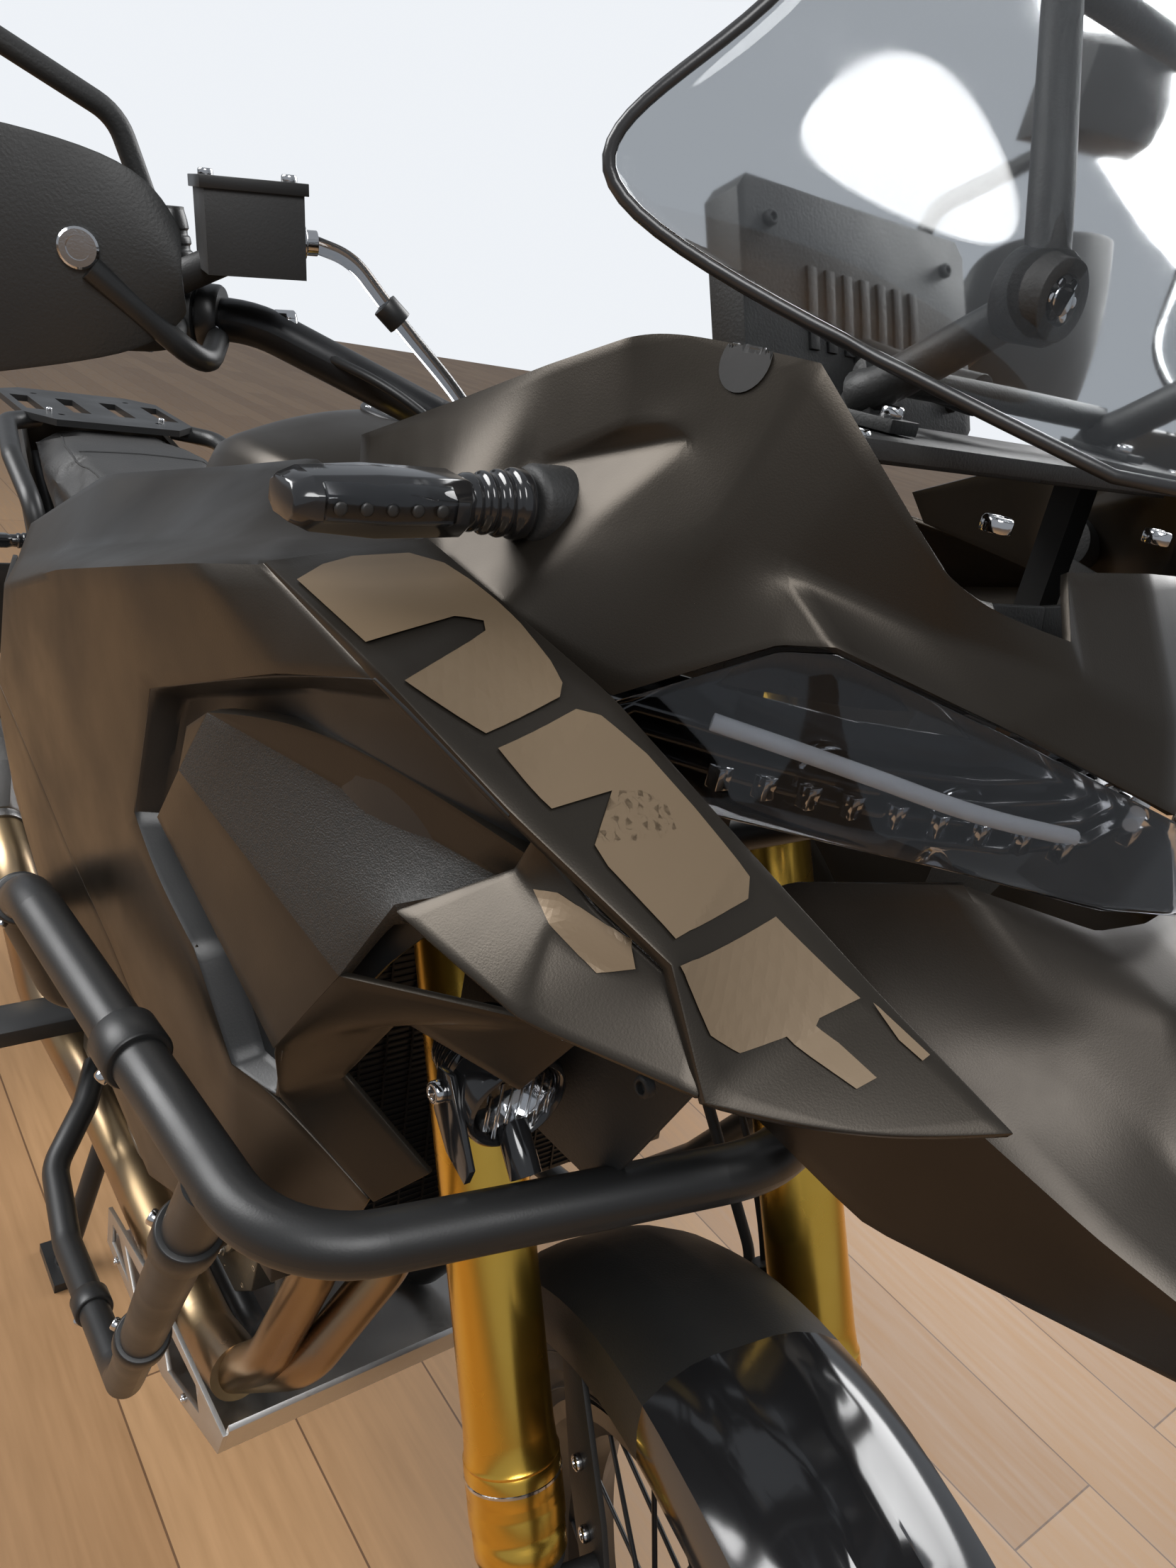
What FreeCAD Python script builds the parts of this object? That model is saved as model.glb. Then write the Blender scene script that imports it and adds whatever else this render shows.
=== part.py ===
import FreeCAD, Part
import os
from math import sin, cos, tan, acos, atan2, hypot, radians, pi, sqrt
from FreeCAD import Vector, Placement, Rotation

# An adventure motorcycle standing on its centre stand, front wheel on the floor.
# Millimetres. +X is forward, +Y is the rider's left, +Z is up, the floor is z = 0.
# The origin lies on the floor, half way between the ends of the machine.

os.makedirs("parts", exist_ok=True)
doc = FreeCAD.newDocument("AdventureMotorcycle")
sheet = doc.addObject("Spreadsheet::Sheet", "Sizes")

drivingSizes = [
    # name, value, what it is
    ("wheelbase", 1510, "between the axles, steering straight"),
    ("frontAxleX", 755, "front axle ahead of the origin, steering straight"),
    ("rakeAngle", 27, "steering axis from the vertical"),
    ("trailLength", 110, "steering axis meets the floor this far ahead of the axle"),
    ("steeringTurn", 15.5, "how far the steering stands turned to the right"),
    ("forkSpacing", 210, "between the fork legs"),
    ("forkOffset", 32, "fork legs ahead of the steering axis"),
    ("outerTubeDiameter", 53.7, "upper fork tube"),
    ("flareDiameter", 57.5, "thick lower end of the upper fork tube"),
    ("innerTubeDiameter", 41, "lower fork tube"),
    ("outerTubeStart", 222, "lower end of the upper tube above the axle"),
    ("lowerClampHeight", 640, "lower fork clamp above the axle, along the fork"),
    ("clampSpacing", 178, "between the fork clamps, which sets the length of the head tube"),
    ("tubeAboveClamp", 30, "upper end of the upper tube above the upper clamp"),
    ("barRise", 72.0, "handlebar above the upper clamp"),
    ("clampThickness", 30, "fork clamp"),
    ("stemDiameter", 30, "steering stem"),
    ("bearingGap", 0.3, "running gap of a shaft in its seat"),
    ("seatGap", 0.3, "gap between a piece and its seat"),
    ("frontTyreRadius", 347.5, "21 inch front tyre"),
    ("frontTyreWidth", 92, "front tyre"),
    ("frontBeadRadius", 267.5, "21 inch bead seat"),
    ("frontRimWidth", 60, "between the rim flanges"),
    ("rearTyreRadius", 327, "18 inch rear tyre"),
    ("rearTyreWidth", 140, "rear tyre"),
    ("rearBeadRadius", 229, "18 inch bead seat"),
    ("rearRimWidth", 92, "between the rim flanges"),
    ("rearLift", 25, "rear tyre above the floor on the centre stand"),
    ("spokeCount", 36, "spokes of each wheel"),
    ("spokeDiameter", 3.6, "spoke"),
    ("axleDiameter", 20, "both axles"),
    ("frontDiscDiameter", 298, "front brake discs"),
    ("rearDiscDiameter", 240, "rear brake disc"),
    ("discThickness", 4.5, "brake disc"),
    ("frontDiscOffset", 64, "front discs from the middle of the wheel"),
    ("rearDiscOffset", 88, "rear disc from the middle of the wheel"),
    ("skidWidth", 332, "skid plate between its side walls"),
    ("chainPitch", 15.875, "chain pitch"),
    ("frontTeeth", 15, "gearbox sprocket"),
    ("rearTeeth", 42, "wheel sprocket"),
    ("chainOffset", 95, "chain line left of the middle"),
    ("chainWidth", 21, "across the chain"),
    ("chainHeight", 14, "depth of a link plate"),
    ("frameTubeDiameter", 34, "main frame tubes"),
    ("subframeTubeDiameter", 24, "rear frame tubes"),
    ("crashBarDiameter", 25.4, "crash bars"),
    ("headerDiameter", 38, "exhaust header pipes"),
    ("mufflerLength", 400, "muffler"),
    ("pivotX", -205, "swingarm pivot"),
    ("pivotZ", 425, "swingarm pivot"),
    ("armWidth", 26, "width of a swingarm arm"),
    ("armHeight", 62, "height of a swingarm arm"),
    ("armOffset", 126, "swingarm arm from the middle"),
    ("seatHeight", 835, "top of the rider's seat"),
    ("tankWidth", 330, "fuel tank"),
    ("handlebarDiameter", 28.6, "handlebar at its clamp"),
    ("handlebarWidth", 800, "between the bar ends"),
    ("gripDiameter", 33, "rubber grips"),
    ("screenThickness", 4, "windscreen"),
    ("panelThickness", 7, "painted panels"),
    ("finThickness", 9, "fin blades"),
    ("headlightDepth", 46, "headlight, from its lens to its back"),
    ("rackLength", 230, "rear rack"),
    ("rackWidth", 210, "rear rack"),
    ("rackHoleSpacingX", 150, "top case holes, fore and aft"),
    ("rackHoleSpacingY", 120, "top case holes, across"),
    ("rackHoleDiameter", 8.5, "top case holes"),
    ("standPivotX", -215, "centre stand pivot"),
    ("standPivotZ", 262, "centre stand pivot"),
    ("standTrack", 330, "between the centre stand feet"),
    ("standFootLead", 22, "feet ahead of the centre stand pivot"),
]
for row, (name, value, meaning) in enumerate(drivingSizes, start=1):
    sheet.set(f"A{row}", name)
    sheet.set(f"B{row}", str(value))
    sheet.set(f"C{row}", meaning)
    sheet.setAlias(f"B{row}", name)
doc.recompute()

zero = Vector(0, 0, 0)
acrossAxis = Vector(0, 1, 0)
upAxis = Vector(0, 0, 1)
pieces = []


def size(name):
    return float(getattr(sheet, name))


def piece(label, shape, placement=None):
    feature = doc.addObject("Part::Feature", label)
    feature.Label = label
    feature.Shape = shape
    if placement is not None:
        feature.Placement = placement.multiply(shape.Placement)
    pieces.append(feature)
    return feature


def fused(shapes):
    return shapes[0].multiFuse(shapes[1:]).removeSplitter()


def mirrored(shape):
    return shape.mirror(zero, acrossAxis)


def bothSides(shape):
    return Part.makeCompound([shape, mirrored(shape)])


def sided(point, side):
    return Vector(point.x, side * point.y, point.z)


def rod(start, end, diameter):
    run = end - start
    return Part.makeCylinder(diameter / 2, run.Length, start, run)


def sleeve(start, end, outerDiameter, innerDiameter):
    overrun = (end - start).normalize() * 5
    return rod(start, end, outerDiameter).cut(rod(start - overrun, end + overrun, innerDiameter))


def block(low, high):
    return Part.makeBox(high[0] - low[0], high[1] - low[1], high[2] - low[2], Vector(*low))


def roundedPath(points, bendRadius):
    # straight runs joined by tangent arcs; an arc takes at most 0.45 of its shorter run
    edges = []
    lastPoint = points[0]
    for before, corner, after in zip(points, points[1:], points[2:]):
        runIn = (corner - before).normalize()
        runOut = (after - corner).normalize()
        turn = runIn.getAngle(runOut)
        shorter = min((corner - before).Length, (after - corner).Length)
        setback = min(bendRadius * tan(turn / 2), 0.45 * shorter)
        radius = setback / tan(turn / 2)
        arcStart = corner - runIn * setback
        arcEnd = corner + runOut * setback
        bisector = (runOut - runIn).normalize()
        arcMiddle = corner + bisector * (radius / cos(turn / 2) - radius)
        edges.append(Part.LineSegment(lastPoint, arcStart).toShape())
        edges.append(Part.Arc(arcStart, arcMiddle, arcEnd).toShape())
        lastPoint = arcEnd
    edges.append(Part.LineSegment(lastPoint, points[-1]).toShape())
    return Part.Wire(edges)


def bentTube(points, diameter, bendRadius):
    path = roundedPath(points, bendRadius)
    ring = Part.Wire([Part.makeCircle(diameter / 2, points[0], points[1] - points[0])])
    return path.makePipeShell([ring], True, False)


def plate(outline, low, high):
    # an outline of (x, z) points, pushed across the machine from y = low to y = high
    corners = [Vector(x, low, z) for x, z in outline]
    face = Part.Face(Part.makePolygon(corners + corners[:1]))
    return face.extrude(Vector(0, high - low, 0))


def sheetFromAbove(outline, low, high):
    # an outline of (x, y) points, from z = low to z = high
    corners = [Vector(x, y, low) for x, y in outline]
    face = Part.Face(Part.makePolygon(corners + corners[:1]))
    return face.extrude(Vector(0, 0, high - low))


def lofted(sections):
    # each section is a closed list of points, the same number in all
    rings = [Part.makePolygon(list(points) + [points[0]]) for points in sections]
    return Part.makeLoft(rings, True, True)


def crossLoft(stations):
    # stations of (x, [(y, z), ...]) closed outlines
    return lofted([[Vector(x, y, z) for y, z in outline] for x, outline in stations])


def offsetInward(outline, thickness):
    # moves an open (y, z) outline to its inner side, each corner along the mean of its normals
    moved = []
    last = len(outline) - 1
    for index, (y, z) in enumerate(outline):
        before = outline[max(index - 1, 0)]
        after = outline[min(index + 1, last)]
        along = Vector(after[0] - before[0], after[1] - before[1], 0).normalize()
        moved.append((y + along.y * thickness, z - along.x * thickness))
    return moved


def panel(stations, thickness):
    # a curved wall of even thickness through open (y, z) outlines, listed from top to bottom
    sections = []
    for x, outline in stations:
        inner = offsetInward(outline, thickness)
        ring = list(outline) + inner[::-1]
        sections.append([Vector(x, y, z) for y, z in ring])
    return lofted(sections)


def triangles(faces):
    # names of the corners of each face, split into threes that share the first corner
    split = []
    for face in faces:
        names = face.split()
        for second, third in zip(names[1:], names[2:]):
            split.append([names[0], second, third])
    return split


def cageWall(corners, faces, inward):
    # a faceted wall from named corners and the faces between them, with its inner side moved by inward
    outer = {name: Vector(*place) for name, place in corners.items()}
    inner = {}
    for name, place in outer.items():
        onMiddle = abs(place.y) < 0.01
        inner[name] = place + Vector(inward.x, 0 if onMiddle else inward.y, inward.z)
    loops = []
    edges = []
    for names in triangles(faces):
        a, b, c = [outer[name] for name in names]
        if (b - a).cross(c - a).dot(inward) > 0:
            names = [names[0], names[2], names[1]]
        loops.append([outer[name] for name in names])
        loops.append([inner[name] for name in names[::-1]])
        for start, end in zip(names, names[1:] + names[:1]):
            if (start, end) in edges:
                raise ValueError(f"the faces fold over at {start} {end}")
            edges.append((start, end))
    for start, end in edges:
        if (end, start) not in edges:
            loops.append([outer[end], outer[start], inner[start]])
            loops.append([outer[end], inner[start], inner[end]])
    skin = Part.makeShell([Part.Face(Part.makePolygon(loop + loop[:1])) for loop in loops])
    skin.sewShape()
    wall = Part.makeSolid(skin)
    if wall.Volume < 0:
        wall.reverse()
    return wall


def turned(profile, centre):
    # revolves a closed (y, radius) profile about the wheel axis through centre
    corners = [Vector(centre.x, y, centre.z + radius) for y, radius in profile]
    face = Part.Face(Part.makePolygon(corners + corners[:1]))
    return face.revolve(centre, acrossAxis, 360)


# Steering axis and the two axles

rake = radians(size("rakeAngle"))
steerUp = Vector(-sin(rake), 0, cos(rake))
frontRadius = size("frontTyreRadius")
axleLead = frontRadius * sin(rake) - size("trailLength") * cos(rake)


def crownRadius(width, height):
    # radius of the arc across the tread, from its width and its height above the shoulders
    return (width * width / 4 + height * height) / (2 * height)


frontCrownHeight = 35.5
frontCrown = crownRadius(size("frontTyreWidth"), frontCrownHeight)


def turnedAxleDrop():
    # the turned wheel leans and its axle sinks a little: how far its tread is off the floor
    foot = Vector(size("frontAxleX") + size("trailLength"), 0, 0)
    axle = Vector(size("frontAxleX"), 0, frontRadius)
    turn = Placement(zero, Rotation(steerUp, -size("steeringTurn")), foot)
    lean = turn.Rotation.multVec(acrossAxis).z
    upright = sqrt(1 - lean * lean)
    return turn.multVec(axle).z - (frontRadius - frontCrown) * upright - frontCrown


frontDrop = turnedAxleDrop()
steerFoot = Vector(size("frontAxleX") + size("trailLength"), 0, -frontDrop)
frontAxle = Vector(size("frontAxleX"), 0, frontRadius - frontDrop)
rearAxle = Vector(size("frontAxleX") - size("wheelbase"), 0, size("rearTyreRadius") + size("rearLift"))
steerTurn = Placement(zero, Rotation(steerUp, -size("steeringTurn")), steerFoot)

# the fork frame has its origin at the front axle, +Z up the fork and +X forward of it
forkFrame = steerTurn.multiply(Placement(frontAxle, Rotation(acrossAxis, -size("rakeAngle"))))
steerAxisX = -axleLead
forkLegX = size("forkOffset") - axleLead
forkLegY = size("forkSpacing") / 2


def onSteeringAxis(height):
    # the point of the steering axis at a height above the floor
    return steerFoot + steerUp * ((height - steerFoot.z) / cos(rake))


def axisPoint(heightAboveAxle):
    # the point of the steering axis at a height above the front axle, measured along the axis
    return Placement(frontAxle,
                     Rotation(acrossAxis, -size("rakeAngle"))).multVec(Vector(steerAxisX, 0, heightAboveAxle))


# Wheels


def tyreShape(centre, beadRadius, rimWidth, tyreRadius, tyreWidth, crownHeight):
    bead = rimWidth / 2 - 1
    shoulder = tyreRadius - crownHeight
    half = tyreWidth / 2

    def at(y, radius):
        return Vector(centre.x, y, centre.z + radius)

    wallBulge = at(half * 0.93, beadRadius + 0.42 * (shoulder - beadRadius))
    wallTop = beadRadius + 8
    edges = [
        Part.LineSegment(at(-bead, beadRadius), at(bead, beadRadius)).toShape(),
        Part.LineSegment(at(bead, beadRadius), at(bead, wallTop)).toShape(),
        Part.Arc(at(bead, wallTop), wallBulge, at(half, shoulder)).toShape(),
        Part.Arc(at(half, shoulder), at(0, tyreRadius), at(-half, shoulder)).toShape(),
        Part.Arc(at(-half, shoulder), sided(wallBulge, -1), at(-bead, wallTop)).toShape(),
        Part.LineSegment(at(-bead, wallTop), at(-bead, beadRadius)).toShape(),
    ]
    return Part.Face(Part.Wire(edges)).revolve(centre, acrossAxis, 360)


def spokedRim(centre, beadRadius, rimWidth, hubHalf, flangeRadius, flangeY):
    # rim, hub and crossed wire spokes; each spoke runs into its flange and the rim well
    half = rimWidth / 2
    wall = 4
    well = beadRadius - 18
    seat = beadRadius - size("seatGap")
    rimSection = [
        (-half - wall, seat + 6), (-half, seat + 6), (-half, seat), (-half + 14, seat), (-half + 22, well),
        (half - 22, well), (half - 14, seat), (half, seat), (half, seat + 6), (half + wall, seat + 6),
        (half + wall, seat - 5), (half - 17, well - 5), (-half + 17, well - 5), (-half - wall, seat - 5),
    ]
    bore = size("axleDiameter") / 2 + size("bearingGap")
    hubSection = [
        (-hubHalf, bore), (-hubHalf, 26), (-flangeY - 3, 26), (-flangeY - 3, flangeRadius),
        (-flangeY + 3, flangeRadius),
        (-flangeY + 3, 22), (flangeY - 3, 22), (flangeY - 3, flangeRadius), (flangeY + 3, flangeRadius),
        (flangeY + 3, 26), (hubHalf, 26), (hubHalf, bore),
    ]
    shapes = [turned(rimSection, centre), turned(hubSection, centre)]
    count = int(size("spokeCount"))
    crossing = radians(52)
    for index in range(count):
        side = 1 if index % 2 else -1
        leading = 1 if (index // 2) % 2 else -1
        rimAngle = 2 * pi * index / count
        hubAngle = rimAngle + leading * crossing
        inner = centre + Vector(cos(hubAngle) * (flangeRadius - 5), side * (flangeY + leading),
                                sin(hubAngle) * (flangeRadius - 5))
        outer = centre + Vector(cos(rimAngle) * (well - 2), side * 9, sin(rimAngle) * (well - 2))
        shapes.append(rod(inner, outer, size("spokeDiameter")))
    return shapes[0].multiFuse(shapes[1:])


hubBossBore = 16


def brakeDisc(centre, diameter, side, offset, hubEnd, carrierRadius, holes):
    # a drilled ring on a five-armed carrier whose boss meets the end of the hub
    thick = size("discThickness")
    outer = diameter / 2
    inner = outer - 34
    ring = turned([(-thick / 2, inner), (-thick / 2, outer), (thick / 2, outer), (thick / 2, inner)], centre)
    drills = []
    for index in range(holes):
        angle = 2 * pi * index / holes
        radius = outer - 10 - 7 * (index % 3)
        spot = centre + Vector(cos(angle) * radius, -thick, sin(angle) * radius)
        drills.append(Part.makeCylinder(3.5, 2 * thick, spot, acrossAxis))
    ring = ring.cut(Part.makeCompound(drills))
    arms = []
    for index in range(5):
        angle = 360 * index / 5
        arm = Part.makeBox(inner + 8 - carrierRadius + 6, thick, 22,
                           Vector(carrierRadius - 6, -thick / 2, -11))
        arm.rotate(zero, acrossAxis, angle)
        arm.translate(centre)
        arms.append(arm)
    boss = turned([(hubEnd - offset, hubBossBore), (hubEnd - offset, carrierRadius),
                   (thick / 2, carrierRadius),
                   (thick / 2, hubBossBore)], centre)
    disc = ring.multiFuse(arms + [boss])
    disc.translate(Vector(0, offset, 0))
    return disc if side > 0 else mirrored(disc)


def pitchRadius(teeth):
    return size("chainPitch") / (2 * sin(pi / teeth))


def toothedWheel(centre, teeth, width):
    # sprocket whose tooth tips stay inside the link plates
    tipCut = 0.8
    tip = pitchRadius(teeth) - size("chainHeight") / 2 - tipCut
    root = tip - 6
    corners = []
    for index in range(teeth):
        angle = 2 * pi * index / teeth
        step = 2 * pi / teeth
        for share, radius in ((-0.32, root), (-0.12, tip), (0.12, tip), (0.32, root)):
            a = angle + share * step
            corners.append(centre + Vector(cos(a) * radius, -width / 2, sin(a) * radius))
    face = Part.Face(Part.makePolygon(corners + corners[:1]))
    return face.extrude(Vector(0, width, 0))


frontHubHalf = 48
frontTyre = tyreShape(zero, size("frontBeadRadius"), size("frontRimWidth"), frontRadius,
                      size("frontTyreWidth"), frontCrownHeight)
piece("front_tyre", frontTyre, forkFrame)
piece("front_rim", spokedRim(zero, size("frontBeadRadius"), size("frontRimWidth"), frontHubHalf, 46, 33),
      forkFrame)
frontDisc = brakeDisc(zero, size("frontDiscDiameter"), 1, size("frontDiscOffset"), frontHubHalf, 44, 30)
piece("front_discs", bothSides(frontDisc), forkFrame)

rearHubHalf = 66
rearTyre = tyreShape(zero, size("rearBeadRadius"), size("rearRimWidth"), size("rearTyreRadius"),
                     size("rearTyreWidth"), 46)
rearPlace = Placement(rearAxle, Rotation())
piece("rear_tyre", rearTyre, rearPlace)
piece("rear_rim", spokedRim(zero, size("rearBeadRadius"), size("rearRimWidth"), rearHubHalf, 56, 42),
      rearPlace)
rearDisc = brakeDisc(zero, size("rearDiscDiameter"), -1, size("rearDiscOffset"), rearHubHalf, 46, 24)
piece("rear_disc", rearDisc, rearPlace)

sprocketWidth = 7
rearTeeth = int(size("rearTeeth"))
rearPitchRadius = pitchRadius(rearTeeth)
rearSprocket = toothedWheel(zero, rearTeeth, sprocketWidth)
lightening = []
for index in range(6):
    angle = 2 * pi * index / 6
    spot = Vector(cos(angle) * 70, -sprocketWidth, sin(angle) * 70)
    lightening.append(Part.makeCylinder(14, 2 * sprocketWidth, spot, acrossAxis))
axleHole = Part.makeCylinder(hubBossBore, 2 * sprocketWidth, Vector(0, -sprocketWidth, 0), acrossAxis)
rearSprocket = rearSprocket.cut(Part.makeCompound(lightening + [axleHole]))
sprocketBoss = turned([(rearHubHalf - size("chainOffset"), hubBossBore),
                       (rearHubHalf - size("chainOffset"), 50),
                       (sprocketWidth / 2, 50), (sprocketWidth / 2, hubBossBore)], zero)
rearSprocket = rearSprocket.fuse(sprocketBoss)
rearSprocket.translate(Vector(0, size("chainOffset"), 0))
piece("rear_sprocket", rearSprocket, rearPlace)

# Chain: one closed loop round both sprockets, its edge scalloped link by link

gearboxAxis = Vector(-108, size("chainOffset"), 412)
chainCentre = Vector(rearAxle.x, size("chainOffset"), rearAxle.z)
frontTeeth = int(size("frontTeeth"))
frontPitchRadius = pitchRadius(frontTeeth)


def chainLine():
    # points of the pitch line: two arcs and two straight runs, one point each half pitch
    across = gearboxAxis - chainCentre
    reach = hypot(across.x, across.z)
    heading = atan2(across.z, across.x)
    lean = acos((rearPitchRadius - frontPitchRadius) / reach)
    step = size("chainPitch") / 2
    points = []

    def arc(centre, radius, start, sweep):
        steps = max(2, int(round(radius * sweep / step)))
        for index in range(steps):
            a = start - sweep * index / steps
            points.append((centre.x + radius * cos(a), centre.z + radius * sin(a), cos(a), sin(a)))

    def run(fromCentre, fromRadius, toCentre, toRadius, angle):
        ax, az = fromCentre.x + fromRadius * cos(angle), fromCentre.z + fromRadius * sin(angle)
        bx, bz = toCentre.x + toRadius * cos(angle), toCentre.z + toRadius * sin(angle)
        steps = int(round(hypot(bx - ax, bz - az) / step))
        for index in range(steps):
            share = index / steps
            points.append((ax + (bx - ax) * share, az + (bz - az) * share, cos(angle), sin(angle)))

    upper = heading + lean
    lower = heading - lean
    arc(gearboxAxis, frontPitchRadius, upper, upper - lower)
    run(gearboxAxis, frontPitchRadius, chainCentre, rearPitchRadius, lower)
    arc(chainCentre, rearPitchRadius, lower, 2 * pi - (upper - lower))
    run(chainCentre, rearPitchRadius, gearboxAxis, frontPitchRadius, upper)
    return points


def chainShape():
    half = size("chainHeight") / 2
    outer, inner = [], []
    for index, (x, z, nx, nz) in enumerate(chainLine()):
        reach = half if index % 2 else half * 0.72
        outer.append((x + nx * reach, z + nz * reach))
        inner.append((x - nx * half, z - nz * half))
    low = size("chainOffset") - size("chainWidth") / 2
    high = size("chainOffset") + size("chainWidth") / 2
    return plate(outer, low, high).cut(plate(inner, low - 1, high + 1))


piece("chain", chainShape())

# Front fork and steering, in the fork frame

upperClampHeight = size("lowerClampHeight") + size("clampSpacing")


def forkLegs():
    solids = []
    for side in (-1, 1):
        foot = Vector(forkLegX, side * forkLegY, size("outerTubeStart"))
        top = Vector(forkLegX, side * forkLegY, upperClampHeight + size("tubeAboveClamp"))
        flare = foot + upAxis * 62
        tube = rod(foot, top, size("outerTubeDiameter"))
        thick = rod(foot, flare, size("flareDiameter"))
        cap = rod(top, top + upAxis * 9, 40)
        solids.append(fused([tube, thick, cap]))
    return Part.makeCompound(solids)


piece("fork_outers", forkLegs(), forkFrame)

lugHalf = 22
axleRod = rod(Vector(0, -forkLegY - 24, 0), Vector(0, forkLegY + 24, 0), size("axleDiameter"))
innerShapes = [axleRod]
discFace = size("frontDiscOffset") + size("discThickness") / 2
lugFace = forkLegY - lugHalf
for side in (-1, 1):
    legFoot = Vector(forkLegX, side * forkLegY, 8)
    innerShapes.append(rod(legFoot, Vector(forkLegX, side * forkLegY, size("outerTubeStart")),
                           size("innerTubeDiameter")))
    innerShapes.append(rod(legFoot, legFoot + upAxis * 62, 2 * lugHalf))
    innerShapes.append(rod(Vector(0, side * lugFace, 0), Vector(0, side * (forkLegY + lugHalf), 0), 46))
    innerShapes.append(block((forkLegX, min(side * lugFace, side * (forkLegY + 18)), -16),
                             (4, max(side * lugFace, side * (forkLegY + 18)), 34)))
    innerShapes.append(rod(Vector(0, side * (discFace + 0.7), 0), Vector(0, side * lugFace, 0), 30))
    ear = [(forkLegX - 8, 48), (forkLegX - 84, 62), (forkLegX - 92, 78), (forkLegX - 8, 128)]
    innerShapes.append(plate(ear, *sorted((side * (lugFace + 5), side * (lugFace + 15)))))
piece("fork_inners", fused(innerShapes), forkFrame)


def caliper(centre, side, discY, discRadius, reach, angle, length, innerY, outerY):
    # a block over the edge of the disc, with a slot for it
    body = block((discRadius - reach, innerY, -length / 2), (discRadius + 12, outerY, length / 2))
    body.rotate(zero, acrossAxis, -angle)
    slotHalf = size("discThickness") / 2 + 2
    slot = turned([(discY - slotHalf, 0.5), (discY - slotHalf, discRadius + 4),
                   (discY + slotHalf, discRadius + 4),
                   (discY + slotHalf, 0.5)], zero)
    shape = body.cut(slot)
    shape.translate(centre)
    return shape if side > 0 else mirrored(shape)


frontCaliper = caliper(zero, 1, size("frontDiscOffset"), size("frontDiscDiameter") / 2, 46, 140, 96,
                       44, lugFace + 5 - size("seatGap"))
piece("front_calipers", bothSides(frontCaliper), forkFrame)


def forkClamp(height, rear, front):
    # a bridge between the two legs, bored for them
    thick = size("clampThickness")
    low = height - thick / 2
    outer = size("outerTubeDiameter") / 2 + 9
    outline = [(steerAxisX - rear, -34), (steerAxisX - rear, 34), (forkLegX - 22, forkLegY),
               (forkLegX + front, forkLegY), (forkLegX + front - 16, 40), (forkLegX + front - 16, -40),
               (forkLegX + front, -forkLegY), (forkLegX - 22, -forkLegY)]
    shapes = [sheetFromAbove(outline, low, low + thick)]
    for side in (-1, 1):
        centre = Vector(forkLegX, side * forkLegY, low)
        shapes.append(Part.makeCylinder(outer, thick, centre))
    bridge = fused(shapes)
    bore = size("outerTubeDiameter") / 2 + size("seatGap")
    for side in (-1, 1):
        bridge = bridge.cut(Part.makeCylinder(bore, 3 * thick,
                                              Vector(forkLegX, side * forkLegY, low - thick)))
    return bridge


lowerClamp = forkClamp(size("lowerClampHeight"), 30, 18)
upperClamp = forkClamp(upperClampHeight, 26, 16)
stem = rod(Vector(steerAxisX, 0, size("lowerClampHeight")),
           Vector(steerAxisX, 0, upperClampHeight + 24),
           size("stemDiameter"))
barCentre = onSteeringAxis(axisPoint(upperClampHeight).z + size("barRise")) + Vector(40, 0, 0)
barInFork = Placement(frontAxle, Rotation(acrossAxis, -size("rakeAngle"))).inverse().multVec(barCentre)
risers = []
for side in (-1, 1):
    base = Vector(barInFork.x, side * 42, upperClampHeight)
    top = Vector(barInFork.x, side * 42, barInFork.z - 2)
    riser = rod(base, top,
                32).fuse(rod(top - upAxis * 18 - acrossAxis * 15, top - upAxis * 18 + acrossAxis * 15, 36))
    risers.append(riser)
barSeat = rod(barInFork - acrossAxis * 80, barInFork + acrossAxis * 80,
              size("handlebarDiameter") + 2 * size("seatGap"))
piece("triple_clamps", fused([lowerClamp, upperClamp, stem] + risers).cut(barSeat), forkFrame)


def forkGuards():
    # half shells in front of the lower tubes, on ribs that seat on the tube
    legRadius = size("innerTubeDiameter") / 2
    solids = []
    for side in (-1, 1):
        centre = Vector(forkLegX, side * forkLegY, 40)
        shell = Part.makeCylinder(33, 172, centre).cut(Part.makeCylinder(30, 172, centre))
        for height in (84, 192):
            rib = Part.makeCylinder(31, 8, Vector(forkLegX, side * forkLegY, height))
            shell = shell.fuse(rib)
        shell = shell.cut(Part.makeCylinder(legRadius + size("seatGap"), 200,
                                            Vector(forkLegX, side * forkLegY, 30)))
        near, far = sorted((side * (forkLegY - 12), side * (forkLegY + 40)))
        front = block((forkLegX + 2, near, 20), (forkLegX + 60, far, 260))
        outside = block((forkLegX - 14, min(side * forkLegY, side * (forkLegY + 40)), 72),
                        (forkLegX + 60, max(side * forkLegY, side * (forkLegY + 40)), 260))
        solids.append(shell.common(front.fuse(outside)))
    return Part.makeCompound(solids)


piece("fork_guards", forkGuards(), forkFrame)

fenderGap = 26
fenderRadius = frontRadius + fenderGap
fenderHalf = 66


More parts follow.
